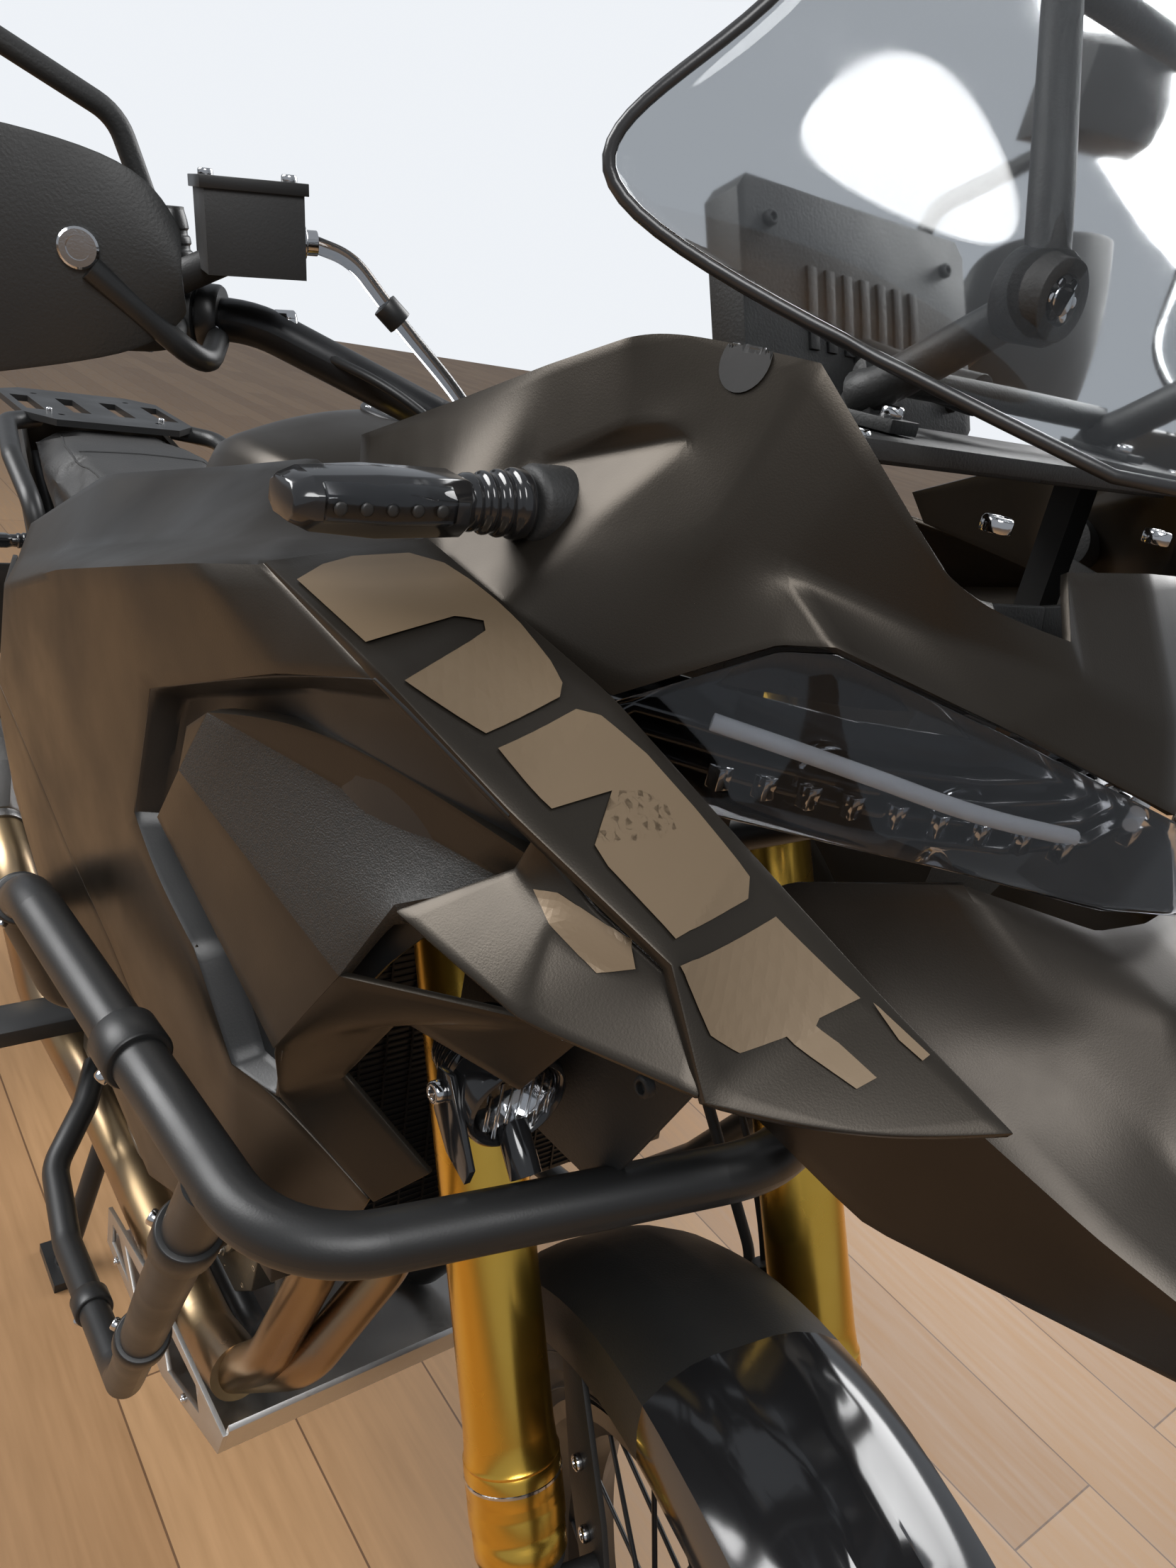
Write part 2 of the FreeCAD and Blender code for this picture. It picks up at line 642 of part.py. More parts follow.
def frontFender():
    # a deep arch over the tyre, drawn in towards its tip, with a foot on each fork leg
    outer = [(-fenderHalf, fenderRadius - 52), (-fenderHalf, fenderRadius - 18),
             (-fenderHalf + 22, fenderRadius + 4),
             (fenderHalf - 22, fenderRadius + 4), (fenderHalf, fenderRadius - 18),
             (fenderHalf, fenderRadius - 52)]
    inner = [(y * (fenderHalf - 4) / fenderHalf, radius - 4) for y, radius in outer]
    inner[0] = (inner[0][0], outer[0][1])
    inner[-1] = (inner[-1][0], outer[-1][1])
    corners = [Vector(0, y, radius) for y, radius in outer + inner[::-1]]
    face = Part.Face(Part.makePolygon(corners + corners[:1]))
    start, sweep = -40, 138
    face.rotate(zero, acrossAxis, start)
    arch = face.revolve(zero, acrossAxis, sweep)
    feet = []
    for side in (-1, 1):
        low = min(side * (fenderHalf - 2),
                  side * (forkLegY - size("innerTubeDiameter") / 2 - size("seatGap")))
        high = max(side * (fenderHalf - 2),
                   side * (forkLegY - size("innerTubeDiameter") / 2 - size("seatGap")))
        feet.append(block((forkLegX - 20, low, 168), (forkLegX + 20, high, 212)))
        feet.append(block((forkLegX - 20, min(side * (fenderHalf - 4), side * fenderHalf), 168),
                          (forkLegX + 20, max(side * (fenderHalf - 4), side * fenderHalf),
                           fenderRadius - 40)))
    return arch.multiFuse(feet)


piece("front_fender", frontFender(), forkFrame)

# Handlebar and what it carries, drawn with the steering straight and then turned

barSide = [Vector(barCentre.x, 0, barCentre.z), Vector(barCentre.x, 78, barCentre.z),
           Vector(barCentre.x - 16, 186, barCentre.z + 50),
           Vector(barCentre.x - 96, size("handlebarWidth") / 2, barCentre.z + 58)]
gripAxis = (barSide[3] - barSide[2]).normalize()


def alongGrip(distance, side=1):
    # a point of the straight outer run of the bar, measured from its outer end
    return sided(barSide[3] - gripAxis * distance, side)


barHalf = bentTube(barSide, size("handlebarDiameter") - 6.4, 60)
clampSleeve = rod(Vector(barCentre.x, -70, barCentre.z), Vector(barCentre.x, 70, barCentre.z),
                  size("handlebarDiameter"))
piece("handlebar", barHalf.multiFuse([mirrored(barHalf), clampSleeve]), steerTurn)

barDiameter = size("handlebarDiameter") - 6.4
barBore = barDiameter + 2 * size("seatGap")


def gripAndControls():
    # rubber grip, switch housing, lever perch and lever of the left end of the bar
    shapes = [sleeve(alongGrip(4), alongGrip(126), size("gripDiameter"), barBore)]
    housing = sleeve(alongGrip(127), alongGrip(173), 42, barBore)
    perch = sleeve(alongGrip(174), alongGrip(198), 34, barBore)
    lead = Vector(0.97, 0.05, -0.16)
    knee = alongGrip(184) + lead * 52
    tip = alongGrip(24) + lead * 74
    lever = bentTube([alongGrip(186) + lead * 16, knee, alongGrip(120) + lead * 70, tip], 11, 18)
    return shapes + [housing.multiFuse([perch, lever])]


leftControls = gripAndControls()
rightControls = [mirrored(shape) for shape in leftControls]
reservoirX = onSteeringAxis(barCentre.z + 85).x + 66
reservoir = block((reservoirX, -214, barCentre.z + 76), (reservoirX + 58, -168, barCentre.z + 114))
reservoirArm = rod(sided(alongGrip(180), -1) + Vector(19, 0, 15), Vector(reservoirX + 12, -196, barCentre.z + 84), 16)
rightControls[1] = rightControls[1].multiFuse([reservoir, reservoirArm])
piece("bar_controls", Part.makeCompound(leftControls + rightControls), steerTurn)


def handGuard():
    # a bowed shell ahead of the fingers, closed round to the end of the bar
    axis = onSteeringAxis(barCentre.z + 60)
    bow = [(232, 120), (262, 116), (330, 104), (395, 72), (434, 22), (443, -34)]
    outer = [(axis.x + lead, y) for y, lead in bow]
    shellThickness = 5
    inner = offsetInward(outer, -shellThickness)
    wall = sheetFromAbove(outer + inner[::-1], barCentre.z - 10, barCentre.z + 130)
    face = [(225, 38), (262, 24), (320, 2), (395, -4), (450, 20),
            (450, 106), (395, 126), (330, 124), (262, 100), (225, 76)]
    corners = [Vector(axis.x - 60, y, barCentre.z + rise) for y, rise in face]
    elevation = Part.Face(Part.makePolygon(corners + corners[:1])).extrude(Vector(200, 0, 0))
    shell = wall.common(elevation)
    barEnd = alongGrip(-5)
    stub = rod(barEnd, Vector(barEnd.x, 441, barEnd.z), 20)
    clampPoint = alongGrip(206)
    strut = bentTube([clampPoint + Vector(17, 0, -9), clampPoint + Vector(60, 10, -18),
                      Vector(axis.x + 114, 262, barCentre.z + 50)], 12, 20)
    ring = sleeve(alongGrip(200), alongGrip(211), 34, barBore)
    return shell.multiFuse([stub, strut, ring])


guard = handGuard()
piece("hand_guards", bothSides(guard), steerTurn)


def mirror():
    root = alongGrip(187) + Vector(0, 0, 17.6)
    elbow = root + Vector(6, 22, 72)
    head = root + Vector(20, 110, 118)
    stalk = bentTube([root + (elbow - root) * 0.04, elbow, head], 11, 24)
    boot = Part.makeCone(9, 7, 34, root, upAxis)
    face = [(-58, -30), (-46, 34), (50, 40), (62, 4), (44, -34)]
    shell = lofted([[Vector(head.x - 14, head.y + 22 + y, head.z + 26 + z) for y, z in face],
                    [Vector(head.x + 16, head.y + 22 + y * 0.72, head.z + 26 + z * 0.72) for y, z in face]])
    return shell.multiFuse([stalk, boot])


piece("mirrors", bothSides(mirror()), steerTurn)

hoseDiameter = 8


def brakeHoses():
    # from the lower clamp down the back of each leg to its caliper
    solids = []
    for side in (-1, 1):
        behind = size("outerTubeDiameter") / 2 + hoseDiameter / 2 + 5
        clampFoot = size("lowerClampHeight") - size("clampThickness") / 2
        points = [Vector(forkLegX - behind - 6, side * 40, clampFoot - 1),
                  Vector(forkLegX - behind - 12, side * 44, clampFoot - 65),
                  Vector(forkLegX - behind - 22, side * 66, clampFoot - 155),
                  Vector(forkLegX - behind - 18, side * 92, 330),
                  Vector(forkLegX - behind - 30, side * 84, 250),
                  Vector(forkLegX - behind - 46, side * 76, 188.5)]
        solids.append(bentTube(points, hoseDiameter, 60))
    return Part.makeCompound(solids)


piece("brake_hoses", brakeHoses(), forkFrame)

# Frame


headLow = axisPoint(size("lowerClampHeight") + size("clampThickness") / 2 + 6)
headHigh = axisPoint(upperClampHeight - size("clampThickness") / 2 - 6)
headMiddle = (headLow + headHigh) / 2
frameTube = size("frameTubeDiameter")
railTube = size("subframeTubeDiameter")
plateInner, plateOuter = 64, 78
pivot = Vector(size("pivotX"), 0, size("pivotZ"))
standPivot = Vector(size("standPivotX"), 0, size("standPivotZ"))
sparBack = Vector(20, 128, 800)
sparFront = Vector(235, 118, 915)
stayEnd = Vector(592, 0, 985)
trayLow = 1160
sidePivot = Vector(-52, 128, 246)
sideFolded = Vector(-0.985, 0.085, 0.15).normalize()
sideDown = Vector(0.22, 0.40, -0.89).normalize()
sideAxis = sideDown.cross(sideFolded).normalize()
sideBossHalf = 12
sidePinDiameter = 12


def frameShape():
    shapes = [rod(headLow, headHigh, 62)]
    pivotPlate = [(pivot.x - 38, 560), (pivot.x + 30, 590), (pivot.x + 52, 470), (pivot.x + 50, 330),
                  (pivot.x + 22, 236), (standPivot.x - 24, 238), (standPivot.x - 20, 300),
                  (pivot.x - 34, 380)]
    for side in (-1, 1):
        spar = [headMiddle + Vector(-8, side * 22, 14), sided(sparFront, side), sided(sparBack, side),
                Vector(-140, side * 116, 680), Vector(pivot.x - 2, side * 71, 560),
                Vector(pivot.x + 4, side * 71, 480)]
        shapes.append(bentTube(spar, frameTube, 70))
        down = [headMiddle + Vector(6, side * 20, -34), Vector(248, side * 88, 760),
                Vector(244, side * 90, 330),
                Vector(190, side * 84, 236), Vector(-100, side * 84, 236),
                Vector(pivot.x + 36, side * 71, 290)]
        shapes.append(bentTube(down, 26, 60))
        rail = [Vector(-70, side * 119, 742), Vector(-400, side * 106, 762), Vector(-735, side * 78, 868)]
        shapes.append(bentTube(rail, railTube, 90))
        stay = [Vector(pivot.x - 12, side * 71, 545), Vector(pivot.x - 60, side * 84, 600),
                Vector(-455, side * 103, 778)]
        shapes.append(bentTube(stay, railTube, 60))
        shapes.append(plate(pivotPlate, *sorted((side * plateInner, side * plateOuter))))
    lugStart = sideBossHalf + size("seatGap")
    shapes.append(rod(sidePivot - sideAxis * 42, sidePivot - sideAxis * lugStart, 30))
    shapes.append(rod(sidePivot - sideAxis * 20, sidePivot + sideAxis * (lugStart + 2), sidePinDiameter))
    shapes.append(rod(sidePivot + sideAxis * lugStart, sidePivot + sideAxis * (lugStart + 5), 22))
    for x, z, half, diameter in ((-118, 702, 118, 30), (-712, 860, 82, 20), (-420, 767, 106, 20),
                                 (236, 560, 92, 22),
                                 (-95, 236, 84, 20)):
        shapes.append(rod(Vector(x, -half, z), Vector(x, half, z), diameter))
    shapes.append(rod(headMiddle + Vector(22, 0, 4), stayEnd, 28))
    shapes.append(rod(stayEnd - acrossAxis * 118, stayEnd + acrossAxis * 118, 18))
    for y in (-100, 100):
        shapes.append(block((586, y - 8, stayEnd.z), (600, y + 8, trayLow - size("seatGap"))))
    frame = fused(shapes)
    stemBore = size("stemDiameter") + 2 * size("bearingGap")
    along = (headHigh - headLow).normalize()
    frame = frame.cut(rod(headLow - along * 60, headHigh + along * 60, stemBore))
    for centre, diameter in ((pivot, 18), (standPivot, 16)):
        bore = diameter + 2 * size("bearingGap")
        frame = frame.cut(rod(centre - acrossAxis * 100, centre + acrossAxis * 100, bore))
    return frame


frame = frameShape()
piece("frame", frame)

# Engine, its covers and the gearbox sprocket

crankcase = plate([(-52, 285), (-52, 505), (20, 525), (212, 520), (214, 420), (200, 320), (165, 285)], -104,
                  104)
gearbox = plate([(-142, 330), (-146, 470), (-70, 505), (-50, 505), (-50, 300)], -78, 78)
cylinders = plate([(30, 520), (48, 660), (208, 640), (206, 518)], -94, 94)
cylinderHead = plate([(40, 655), (58, 760), (120, 792), (186, 780), (220, 690), (214, 636)], -100, 100)
gearSprocket = toothedWheel(gearboxAxis, frontTeeth, sprocketWidth)
gearShaft = rod(Vector(gearboxAxis.x, 70, gearboxAxis.z), gearboxAxis + acrossAxis * 8, 26)
rearMount = block((-153 + size("seatGap"), -78, 440), (-140, 78, 470))
frontMount = block((200, -20, 548), (225 - size("seatGap"), 20, 572))
piece("engine",
      fused([crankcase, gearbox, cylinders, cylinderHead, gearShaft, gearSprocket, rearMount, frontMount]))


def roundCover(x, z, radius, depth, side):
    foot = Vector(x, side * (104 + size("seatGap")), z)
    outward = Vector(0, side, 0)
    drum = Part.makeCylinder(radius, depth * 0.6, foot, outward)
    crown = Part.makeCone(radius, radius - 14, depth * 0.4, foot + outward * depth * 0.6, outward)
    return drum.fuse(crown)


clutchCover = fused([roundCover(-2, 398, 84, 44, -1), roundCover(112, 372, 62, 34, -1)])
generatorCover = fused([roundCover(104, 380, 78, 36, 1), roundCover(20, 440, 48, 22, 1)])
piece("engine_covers", Part.makeCompound([clutchCover, generatorCover]))

radiatorTop = Vector(334, 0, 796)


def radiatorShape():
    core = Part.makeBox(30, 300, 250, Vector(-15, -150, -250))
    for side in (-1, 1):
        core = core.fuse(Part.makeBox(38, 26, 262, Vector(-19, side * 163 - 13, -256)))
    core.rotate(zero, acrossAxis, -6)
    core.translate(radiatorTop)
    lugs = [rod(Vector(260.9, y, 700), Vector(336, y, 700), 14) for y in (-90, 90)]
    return core.multiFuse(lugs)


piece("radiator", radiatorShape())

# Exhaust

header = size("headerDiameter")
collectorStart = Vector(246, -134, 288)
mufflerStart = Vector(-402, -192, 510)
mufflerRun = Vector(-0.95, -0.02, 0.28).normalize()
headPort = Vector(226, 48, 700)
rightHeader = bentTube([sided(headPort, -1), Vector(268, -54, 690), Vector(290, -64, 560),
                        Vector(294, -96, 430),
                        Vector(286, -124, 340), collectorStart], header, 60)
leftHeader = bentTube([headPort, Vector(272, 44, 690), Vector(298, 14, 560), Vector(312, -38, 430),
                       Vector(304, -98, 336), collectorStart], header, 60)
collector = bentTube([collectorStart + Vector(8, 0, 6), Vector(180, -134, 264), Vector(-60, -134, 264),
                      Vector(-160, -146, 296), Vector(-250, -178, 372), mufflerStart - mufflerRun * 90,
                      mufflerStart - mufflerRun * size("seatGap")], 50, 90)
portFace = Vector(216.2, 0, 700)
portRun = Vector(90, 0, 34).normalize()
flanges = [rod(portFace + Vector(0, y, 0) + portRun * size("seatGap"),
               portFace + Vector(0, y, 0) + portRun * 10, 54)
           for y in (-headPort.y, headPort.y)]
piece("exhaust_headers", fused([rightHeader, leftHeader, collector] + flanges))


def mufflerShape():
    rotation = Rotation(Vector(-1, 0, 0), mufflerRun)
    sections = []
    for distance, half, tall in ((0, 26, 26), (40, 52, 62), (size("mufflerLength") - 50, 56, 70),
                                 (size("mufflerLength"), 44, 54)):
        cut = 0.4
        outline = [(-half, -tall * cut), (-half, tall * cut), (-half * cut, tall), (half * cut, tall),
                   (half, tall * cut), (half, -tall * cut), (half * cut, -tall), (-half * cut, -tall)]
        sections.append([mufflerStart + rotation.multVec(Vector(-distance, y, z)) for y, z in outline])
    tip = mufflerStart + mufflerRun * (size("mufflerLength") + 14)
    shell = lofted(sections)
    mouth = rod(mufflerStart + mufflerRun * (size("mufflerLength") - 60), tip, 46)
    shell = shell.fuse(mouth)
    shell = shell.cut(rod(mufflerStart + mufflerRun * (size("mufflerLength") - 50), tip + mufflerRun * 5, 38))
    return shell


piece("muffler", mufflerShape())

# Skid plate and crash bars


def skidPlate():
    # a folded sheet: floor, raised front lip and two side walls with cut-outs
    thick = 4
    outer = [(-8, 216), (170, 216), (306, 276), (316, 312)]
    half = size("skidWidth") / 2
    floor = plate(outer + [(x - 3, z + thick) for x, z in outer[::-1]], -half, half)
    shapes = [floor]
    wall = [(-8, 216), (170, 216), (306, 276), (314, 306), (130, 296), (-8, 262)]
    cutouts = [[(8, 230), (66, 230), (30, 258), (8, 254)], [(84, 230), (160, 230), (128, 276), (48, 264)],
               [(184, 238), (262, 273), (250, 294), (148, 282)]]
    for side in (-1, 1):
        wallPlate = plate(wall, *sorted((side * half, side * (half + thick))))
        for cutout in cutouts:
            wallPlate = wallPlate.cut(plate(cutout, *sorted((side * (half - 10), side * (half + 10)))))
        shapes.append(wallPlate)
        shapes.append(rod(Vector(-20, side * 84, 218), Vector(-20, side * 84, 223 - size("seatGap")), 20))
    return fused(shapes)


piece("skid_plate", skidPlate())

crashTube = size("crashBarDiameter")


def crashBar():
    # left side; the right one is its mirror image
    upper = [Vector(652, 44, 846), Vector(668, 92, 858), Vector(612, 292, 840), Vector(330, 316, 846),
             Vector(190, 296, 760), Vector(110, 246, 620), Vector(90, 132, 580)]
    lower = [Vector(560, 297, 838), Vector(500, 292, 720), Vector(352, 262, 470), Vector(246, 232, 338),
             Vector(60, 226, 302), Vector(-40, 214, 306), Vector(-92, 172, 330), Vector(-132, 151, 349)]
    boss = rod(Vector(90, 94 + size("seatGap"), 580), Vector(90, 136, 580), 30)
    return bentTube(upper, crashTube, 60).multiFuse([bentTube(lower, crashTube, 46), boss])


leftBar = crashBar()
piece("crash_bars", bothSides(leftBar))

# Tank, seats and tail


def symmetric(half):
    # a closed (y, z) outline from its left half, listed from top to bottom
    return [(-y, z) for y, z in half[::-1]] + list(half) if half[0][0] else [(-y, z) for y,
                                                                             z in half[:0:-1]] + list(half)


def symmetricPlan(half):
    # a closed (x, y) outline from its left half, listed from the rear to the front
    return [(x, y) for x, y in half] + [(x, -y) for x, y in reversed(half)]


def tankShape():
    half = size("tankWidth") / 2
    stations = [
        (252, symmetric([(40, 1062), (96, 1030), (104, 960), (70, 944)])),
        (190, symmetric([(52, 1088), (128, 1056), (half - 14, 980), (96, 918)])),
        (80, symmetric([(60, 1092), (140, 1058), (half, 968), (100, 858)])),
        (20, symmetric([(56, 1050), (126, 1010), (half - 10, 930), (100, 824)])),
        (-30, symmetric([(40, 900), (84, 880), (100, 856), (86, 828)])),
    ]
    return crossLoft(stations)


tank = tankShape()
tankPads = [rod(Vector(120, y, 858), Vector(120, y, 915), 24) for y in (-118, 118)]
tank = tank.multiFuse(tankPads)
for cutSide in (-1, 1):
    channel = bentTube([headMiddle + Vector(-8, cutSide * 22, 14), sided(sparFront, cutSide),
                        sided(sparBack, cutSide),
                        Vector(-140, cutSide * 116, 680)], frameTube + 2 * size("seatGap"), 70)
    tank = tank.cut(channel)
piece("fuel_tank", tank)


def seatShape(stations):
    return crossLoft([(x, symmetric([(top[0], top[1]), (side[0], side[1]), (low[0], low[1])]))
                      for x, top, side, low in stations])


seatTop = size("seatHeight")
riderSeat = seatShape([
    (-34, (50, seatTop + 6), (84, seatTop - 12), (90, seatTop - 66)),
    (-130, (70, seatTop), (100, seatTop - 16), (94, seatTop - 70)),
    (-280, (96, seatTop + 2), (134, seatTop - 14), (122, seatTop - 54)),
    (-378, (84, seatTop + 28), (126, seatTop + 8), (112, seatTop - 54)),
    (-398, (70, seatTop + 62), (110, seatTop + 40), (104, seatTop - 52)),
])
riderPads = [block((-315, y - 9, 769.3), (-285, y + 9, 785)) for y in (-109, 109)]
piece("rider_seat", riderSeat.multiFuse(riderPads))
pillionSeat = seatShape([
    (-403, (66, seatTop + 66), (106, seatTop + 44), (100, seatTop - 50)),
    (-560, (86, seatTop + 80), (118, seatTop + 56), (92, seatTop + 12)),
    (-680, (66, seatTop + 84), (98, seatTop + 64), (76, seatTop + 44)),
])
pillionPads = [block((-506, y - 5, 808.6), (-494, y + 5, 828)) for y in (-89, 89)]
piece("pillion_seat", pillionSeat.multiFuse(pillionPads))


def tailFairing():
    # side panels below the seats, joined by a rear cap over the lamp
    stations = [
        (-200, [(138, 756), (150, 728), (144, 664)]),
        (-330, [(138, 778), (152, 750), (138, 690)]),
        (-480, [(124, 816), (138, 796), (120, 750)]),
        (-640, [(108, 884), (120, 858), (104, 806)]),
        (-760, [(92, 916), (98, 892), (90, 842)]),
    ]
    side = panel(stations, size("panelThickness"))
    cap = crossLoft([
        (-750, symmetric([(92, 916), (92, 842), (60, 846)])),
        (-800, symmetric([(70, 908), (74, 866), (50, 850)])),
    ])
    bosses = [rod(Vector(-560, y, 813), Vector(-560, y * 1.27, 813), 16) for y in (-96, 96)]
    for index, outward in enumerate((-1, 1)):
        bosses[index] = bosses[index].cut(frame.translated(acrossAxis * outward * size("seatGap")))
    return side.multiFuse([mirrored(side), cap] + bosses)


tail = tailFairing()
piece("tail_fairing", tail)
piece("tail_light", crossLoft([(-800.3, symmetric([(66, 900), (70, 870), (48, 856)])),
                               (-822, symmetric([(54, 896), (56, 874), (40, 862)]))]))


def rearRack():
    thick = 8
    low = 928
    half = size("rackWidth") / 2
    rear = -870
    front = rear + size("rackLength")
    outline = [(front, -half + 30), (front, half - 30), (front - 40, half), (rear + 30, half),
               (rear, half - 34),
               (rear, -half + 34), (rear + 30, -half), (front - 40, -half)]
    deck = sheetFromAbove(outline, low, low + thick)
    middle = (front + rear) / 2
    for x in (-1, 1):
        for y in (-1, 1):
            hole = Vector(middle + x * size("rackHoleSpacingX") / 2, y * size("rackHoleSpacingY") / 2,
                          low - 5)
            deck = deck.cut(Part.makeCylinder(size("rackHoleDiameter") / 2, thick + 10, hole))
    for y in (-84, -28, 28, 84):
        deck = deck.cut(block((middle - 50, y - 11, low - 5), (middle + 50, y + 11, low + thick + 5)))
    shapes = [deck]
    for side in (-1, 1):
        rail = [Vector(middle + 56, side * 86, low - 3), Vector(middle + 96, side * 128, low - 3),
                Vector(-540, side * 146, 908), Vector(-458, side * 142, 872), Vector(-446, side * 132, 812)]
        shapes.append(bentTube(rail, 22, 40))
        shapes.append(rod(Vector(-770, side * 60, low + 2), Vector(-770, side * 60, 914.7), 16))
    return fused(shapes)


piece("rear_rack", rearRack())

plateRear = -1098


def plateHolder():
    arm = plate([(-760, 836), (-800, 846), (-900, 760), (-1046, 610), (-1060, 560), (-1030, 600),
                 (-880, 726), (-770, 800)],
                -46, 46)
    board = plate([(-1040, 640), (-1044, 640), (plateRear, 470), (plateRear + 6, 470), (-1052, 560)], -92, 92)
    bracket = block((-794, -30, 815), (-766, 30, 858))
    bracket = bracket.cut(tail.translated(Vector(0, 0, -size("seatGap"))))
    return arm.multiFuse([board, bracket])


piece("plate_holder", plateHolder())


def blinker(root, outward):
    # a stalk and a slim lamp
    tip = root + outward
    direction = Vector(outward.x, outward.y, outward.z).normalize()
    stalk = rod(root, root + direction * (outward.Length * 0.42), 16)
    front = [Vector(0, 0, -11), Vector(14, 0, -9), Vector(18, 0, 0), Vector(14, 0, 9), Vector(0, 0, 11),
             Vector(-12, 0, 0)]
    start = root + direction * (outward.Length * 0.38)
    lamp = lofted([[start + corner * 0.7 for corner in front],
                   [start + direction * 16 + corner for corner in front],
                   [tip - direction * 4 + corner for corner in front],
                   [tip + corner * 0.8 for corner in front]])
    return stalk.fuse(lamp)


# Front bodywork; the left side is drawn and the right one is its mirror image

panelThick = size("panelThickness")
finThick = size("finThickness")
inwardWall = Vector(0, -panelThick, 0)

finCorners = {
    "rootIn": (526, 218, 1098), "rootOut": (533, 285, 1089), "in2": (574, 212, 1088), "in3": (629, 199, 1072),
    "in4": (686, 179, 1041), "in5": (735, 158, 1012), "tip": (786, 145, 991), "out2": (608, 278, 1077),
    "out3": (652, 251, 1046), "out4": (708, 224, 1019), "out5": (732, 222, 986), "out6": (762, 185, 983),
}
finFaces = ["rootIn rootOut out2 in2", "in2 out2 out3 in3", "in3 out3 out4 in4", "in4 out4 out5 in5",
            "in5 out5 out6 tip"]
bladeCorners = {
    "root": (648, 238, 1019), "inner": (704, 208, 1014), "rearTip": (621, 268, 996), "edge": (681, 256, 990),
    "front": (730, 220, 987),
}
bladeFaces = ["root rearTip edge inner", "inner edge front"]
finDrop = Vector(0, 0, -finThick)
leftFin = cageWall(finCorners, finFaces, finDrop).fuse(cageWall(bladeCorners, bladeFaces, finDrop))
piece("wing_fins", bothSides(leftFin))

shroudCorners = {
    "shoulder1": (186, 299, 973), "shoulder2": (311, 300, 1021), "shoulder3": (405, 300, 1050),
    "shoulder4": (490, 295, 1076),
    "finRoot": (533, 285, 1088), "recessTop": (440, 292, 1006), "recessFin": (556, 287, 1056),
    "finLow": (608, 278, 1073),
    "finMiddle": (652, 251, 1044), "knee": (350, 297, 958), "recess1": (418, 290, 936),
    "recess2": (482, 282, 899),
    "recess3": (510, 272, 853), "rearTop": (120, 280, 975), "rearLow": (112, 286, 880),
    "band1": (154, 296, 901),
    "band2": (305, 286, 843), "band3": (410, 276, 795), "band4": (490, 260, 755), "chin": (536, 262, 852),
    "chinFront": (582, 236, 822), "chinLow": (556, 230, 772), "groove1": (450, 275, 1003),
    "groove2": (560, 262, 1050),
    "groove3": (650, 236, 1036), "groove4": (432, 276, 940), "groove5": (500, 266, 890),
    "groove6": (544, 254, 872),
    "wedgeTop": (497, 288, 1018), "wedgeFin": (562, 270, 1040), "wedgeEnd": (649, 238, 1027),
    "wedgeSide": (642, 238, 1013),
    "wedgeRear": (444, 288, 946), "wedgeEdge": (474, 290, 983), "wedgeFront": (594, 270, 953),
    "wedgeLow": (557, 275, 896),
    "cowl": (671, 215, 966), "cowlLow": (640, 214, 918), "lampTop": (600, 245, 931),
    "lampRear": (566, 246, 880),
    "lampLow": (604, 222, 850),
}
shroudFaces = [
    "shoulder1 shoulder2 recessTop knee", "shoulder2 shoulder3 recessTop",
    "shoulder3 shoulder4 recessFin recessTop",
    "shoulder4 finRoot finLow recessFin", "recessTop recess1 knee", "rearTop shoulder1 band1 rearLow",
    "shoulder1 knee band2 band1", "knee recess1 band2", "recess1 recess2 band3 band2",
    "recess2 recess3 band4 band3",
    "recess3 chin chinLow band4", "chin chinFront chinLow", "recessTop recessFin groove2 groove1",
    "recessFin finLow finMiddle groove3 groove2", "recessTop groove1 groove4 recess1",
    "recess1 groove4 groove5 recess2",
    "recess2 groove5 recess3", "recess3 groove5 groove6 chin", "wedgeTop groove1 groove2 wedgeFin",
    "groove2 groove3 wedgeEnd wedgeFin", "groove1 wedgeTop wedgeEdge wedgeRear groove4",
    "groove4 wedgeRear wedgeLow groove5",
    "groove5 wedgeLow groove6", "groove6 wedgeLow chin", "wedgeTop wedgeFin wedgeEnd wedgeSide",
    "wedgeTop wedgeSide wedgeFront wedgeEdge", "wedgeEdge wedgeFront wedgeLow wedgeRear",
    "wedgeFront cowl lampTop wedgeLow", "cowl cowlLow lampTop", "wedgeLow lampTop lampRear chin",
    "chin lampRear lampLow chinFront",
]
lipCorners = {
    "lip1": (150, 276, 1003), "lip2": (215, 250, 1050), "lip3": (331, 222, 1082), "lip4": (400, 208, 1102),
    "finInner": (524, 222, 1094), "shoulder1": (186, 299, 973), "shoulder2": (311, 300, 1021),
    "shoulder3": (405, 300, 1050),
    "shoulder4": (490, 295, 1076), "finRoot": (532, 285, 1088),
}
lipFaces = ["lip1 lip2 shoulder2 shoulder1", "lip2 lip3 shoulder3 shoulder2", "lip3 lip4 shoulder4 shoulder3",
            "lip4 finInner finRoot shoulder4"]
leftShroud = cageWall(shroudCorners, shroudFaces, inwardWall)
leftShroud = leftShroud.fuse(cageWall(lipCorners, lipFaces, Vector(0, -1, -panelThick)))
standoffs = [rod(Vector(x, 120, z), Vector(x, y, z), 16) for x, y, z in ((190, 293, 968), (232, 295, 982))]
standoffs = [standoff.cut(tank.translated(acrossAxis * size("seatGap"))) for standoff in standoffs]
leftShroud = leftShroud.multiFuse(standoffs)
leftShroud = leftShroud.cut(leftFin).cut(leftFin.translated(Vector(0, 0, -size("seatGap"))))
piece("side_shrouds", bothSides(leftShroud))

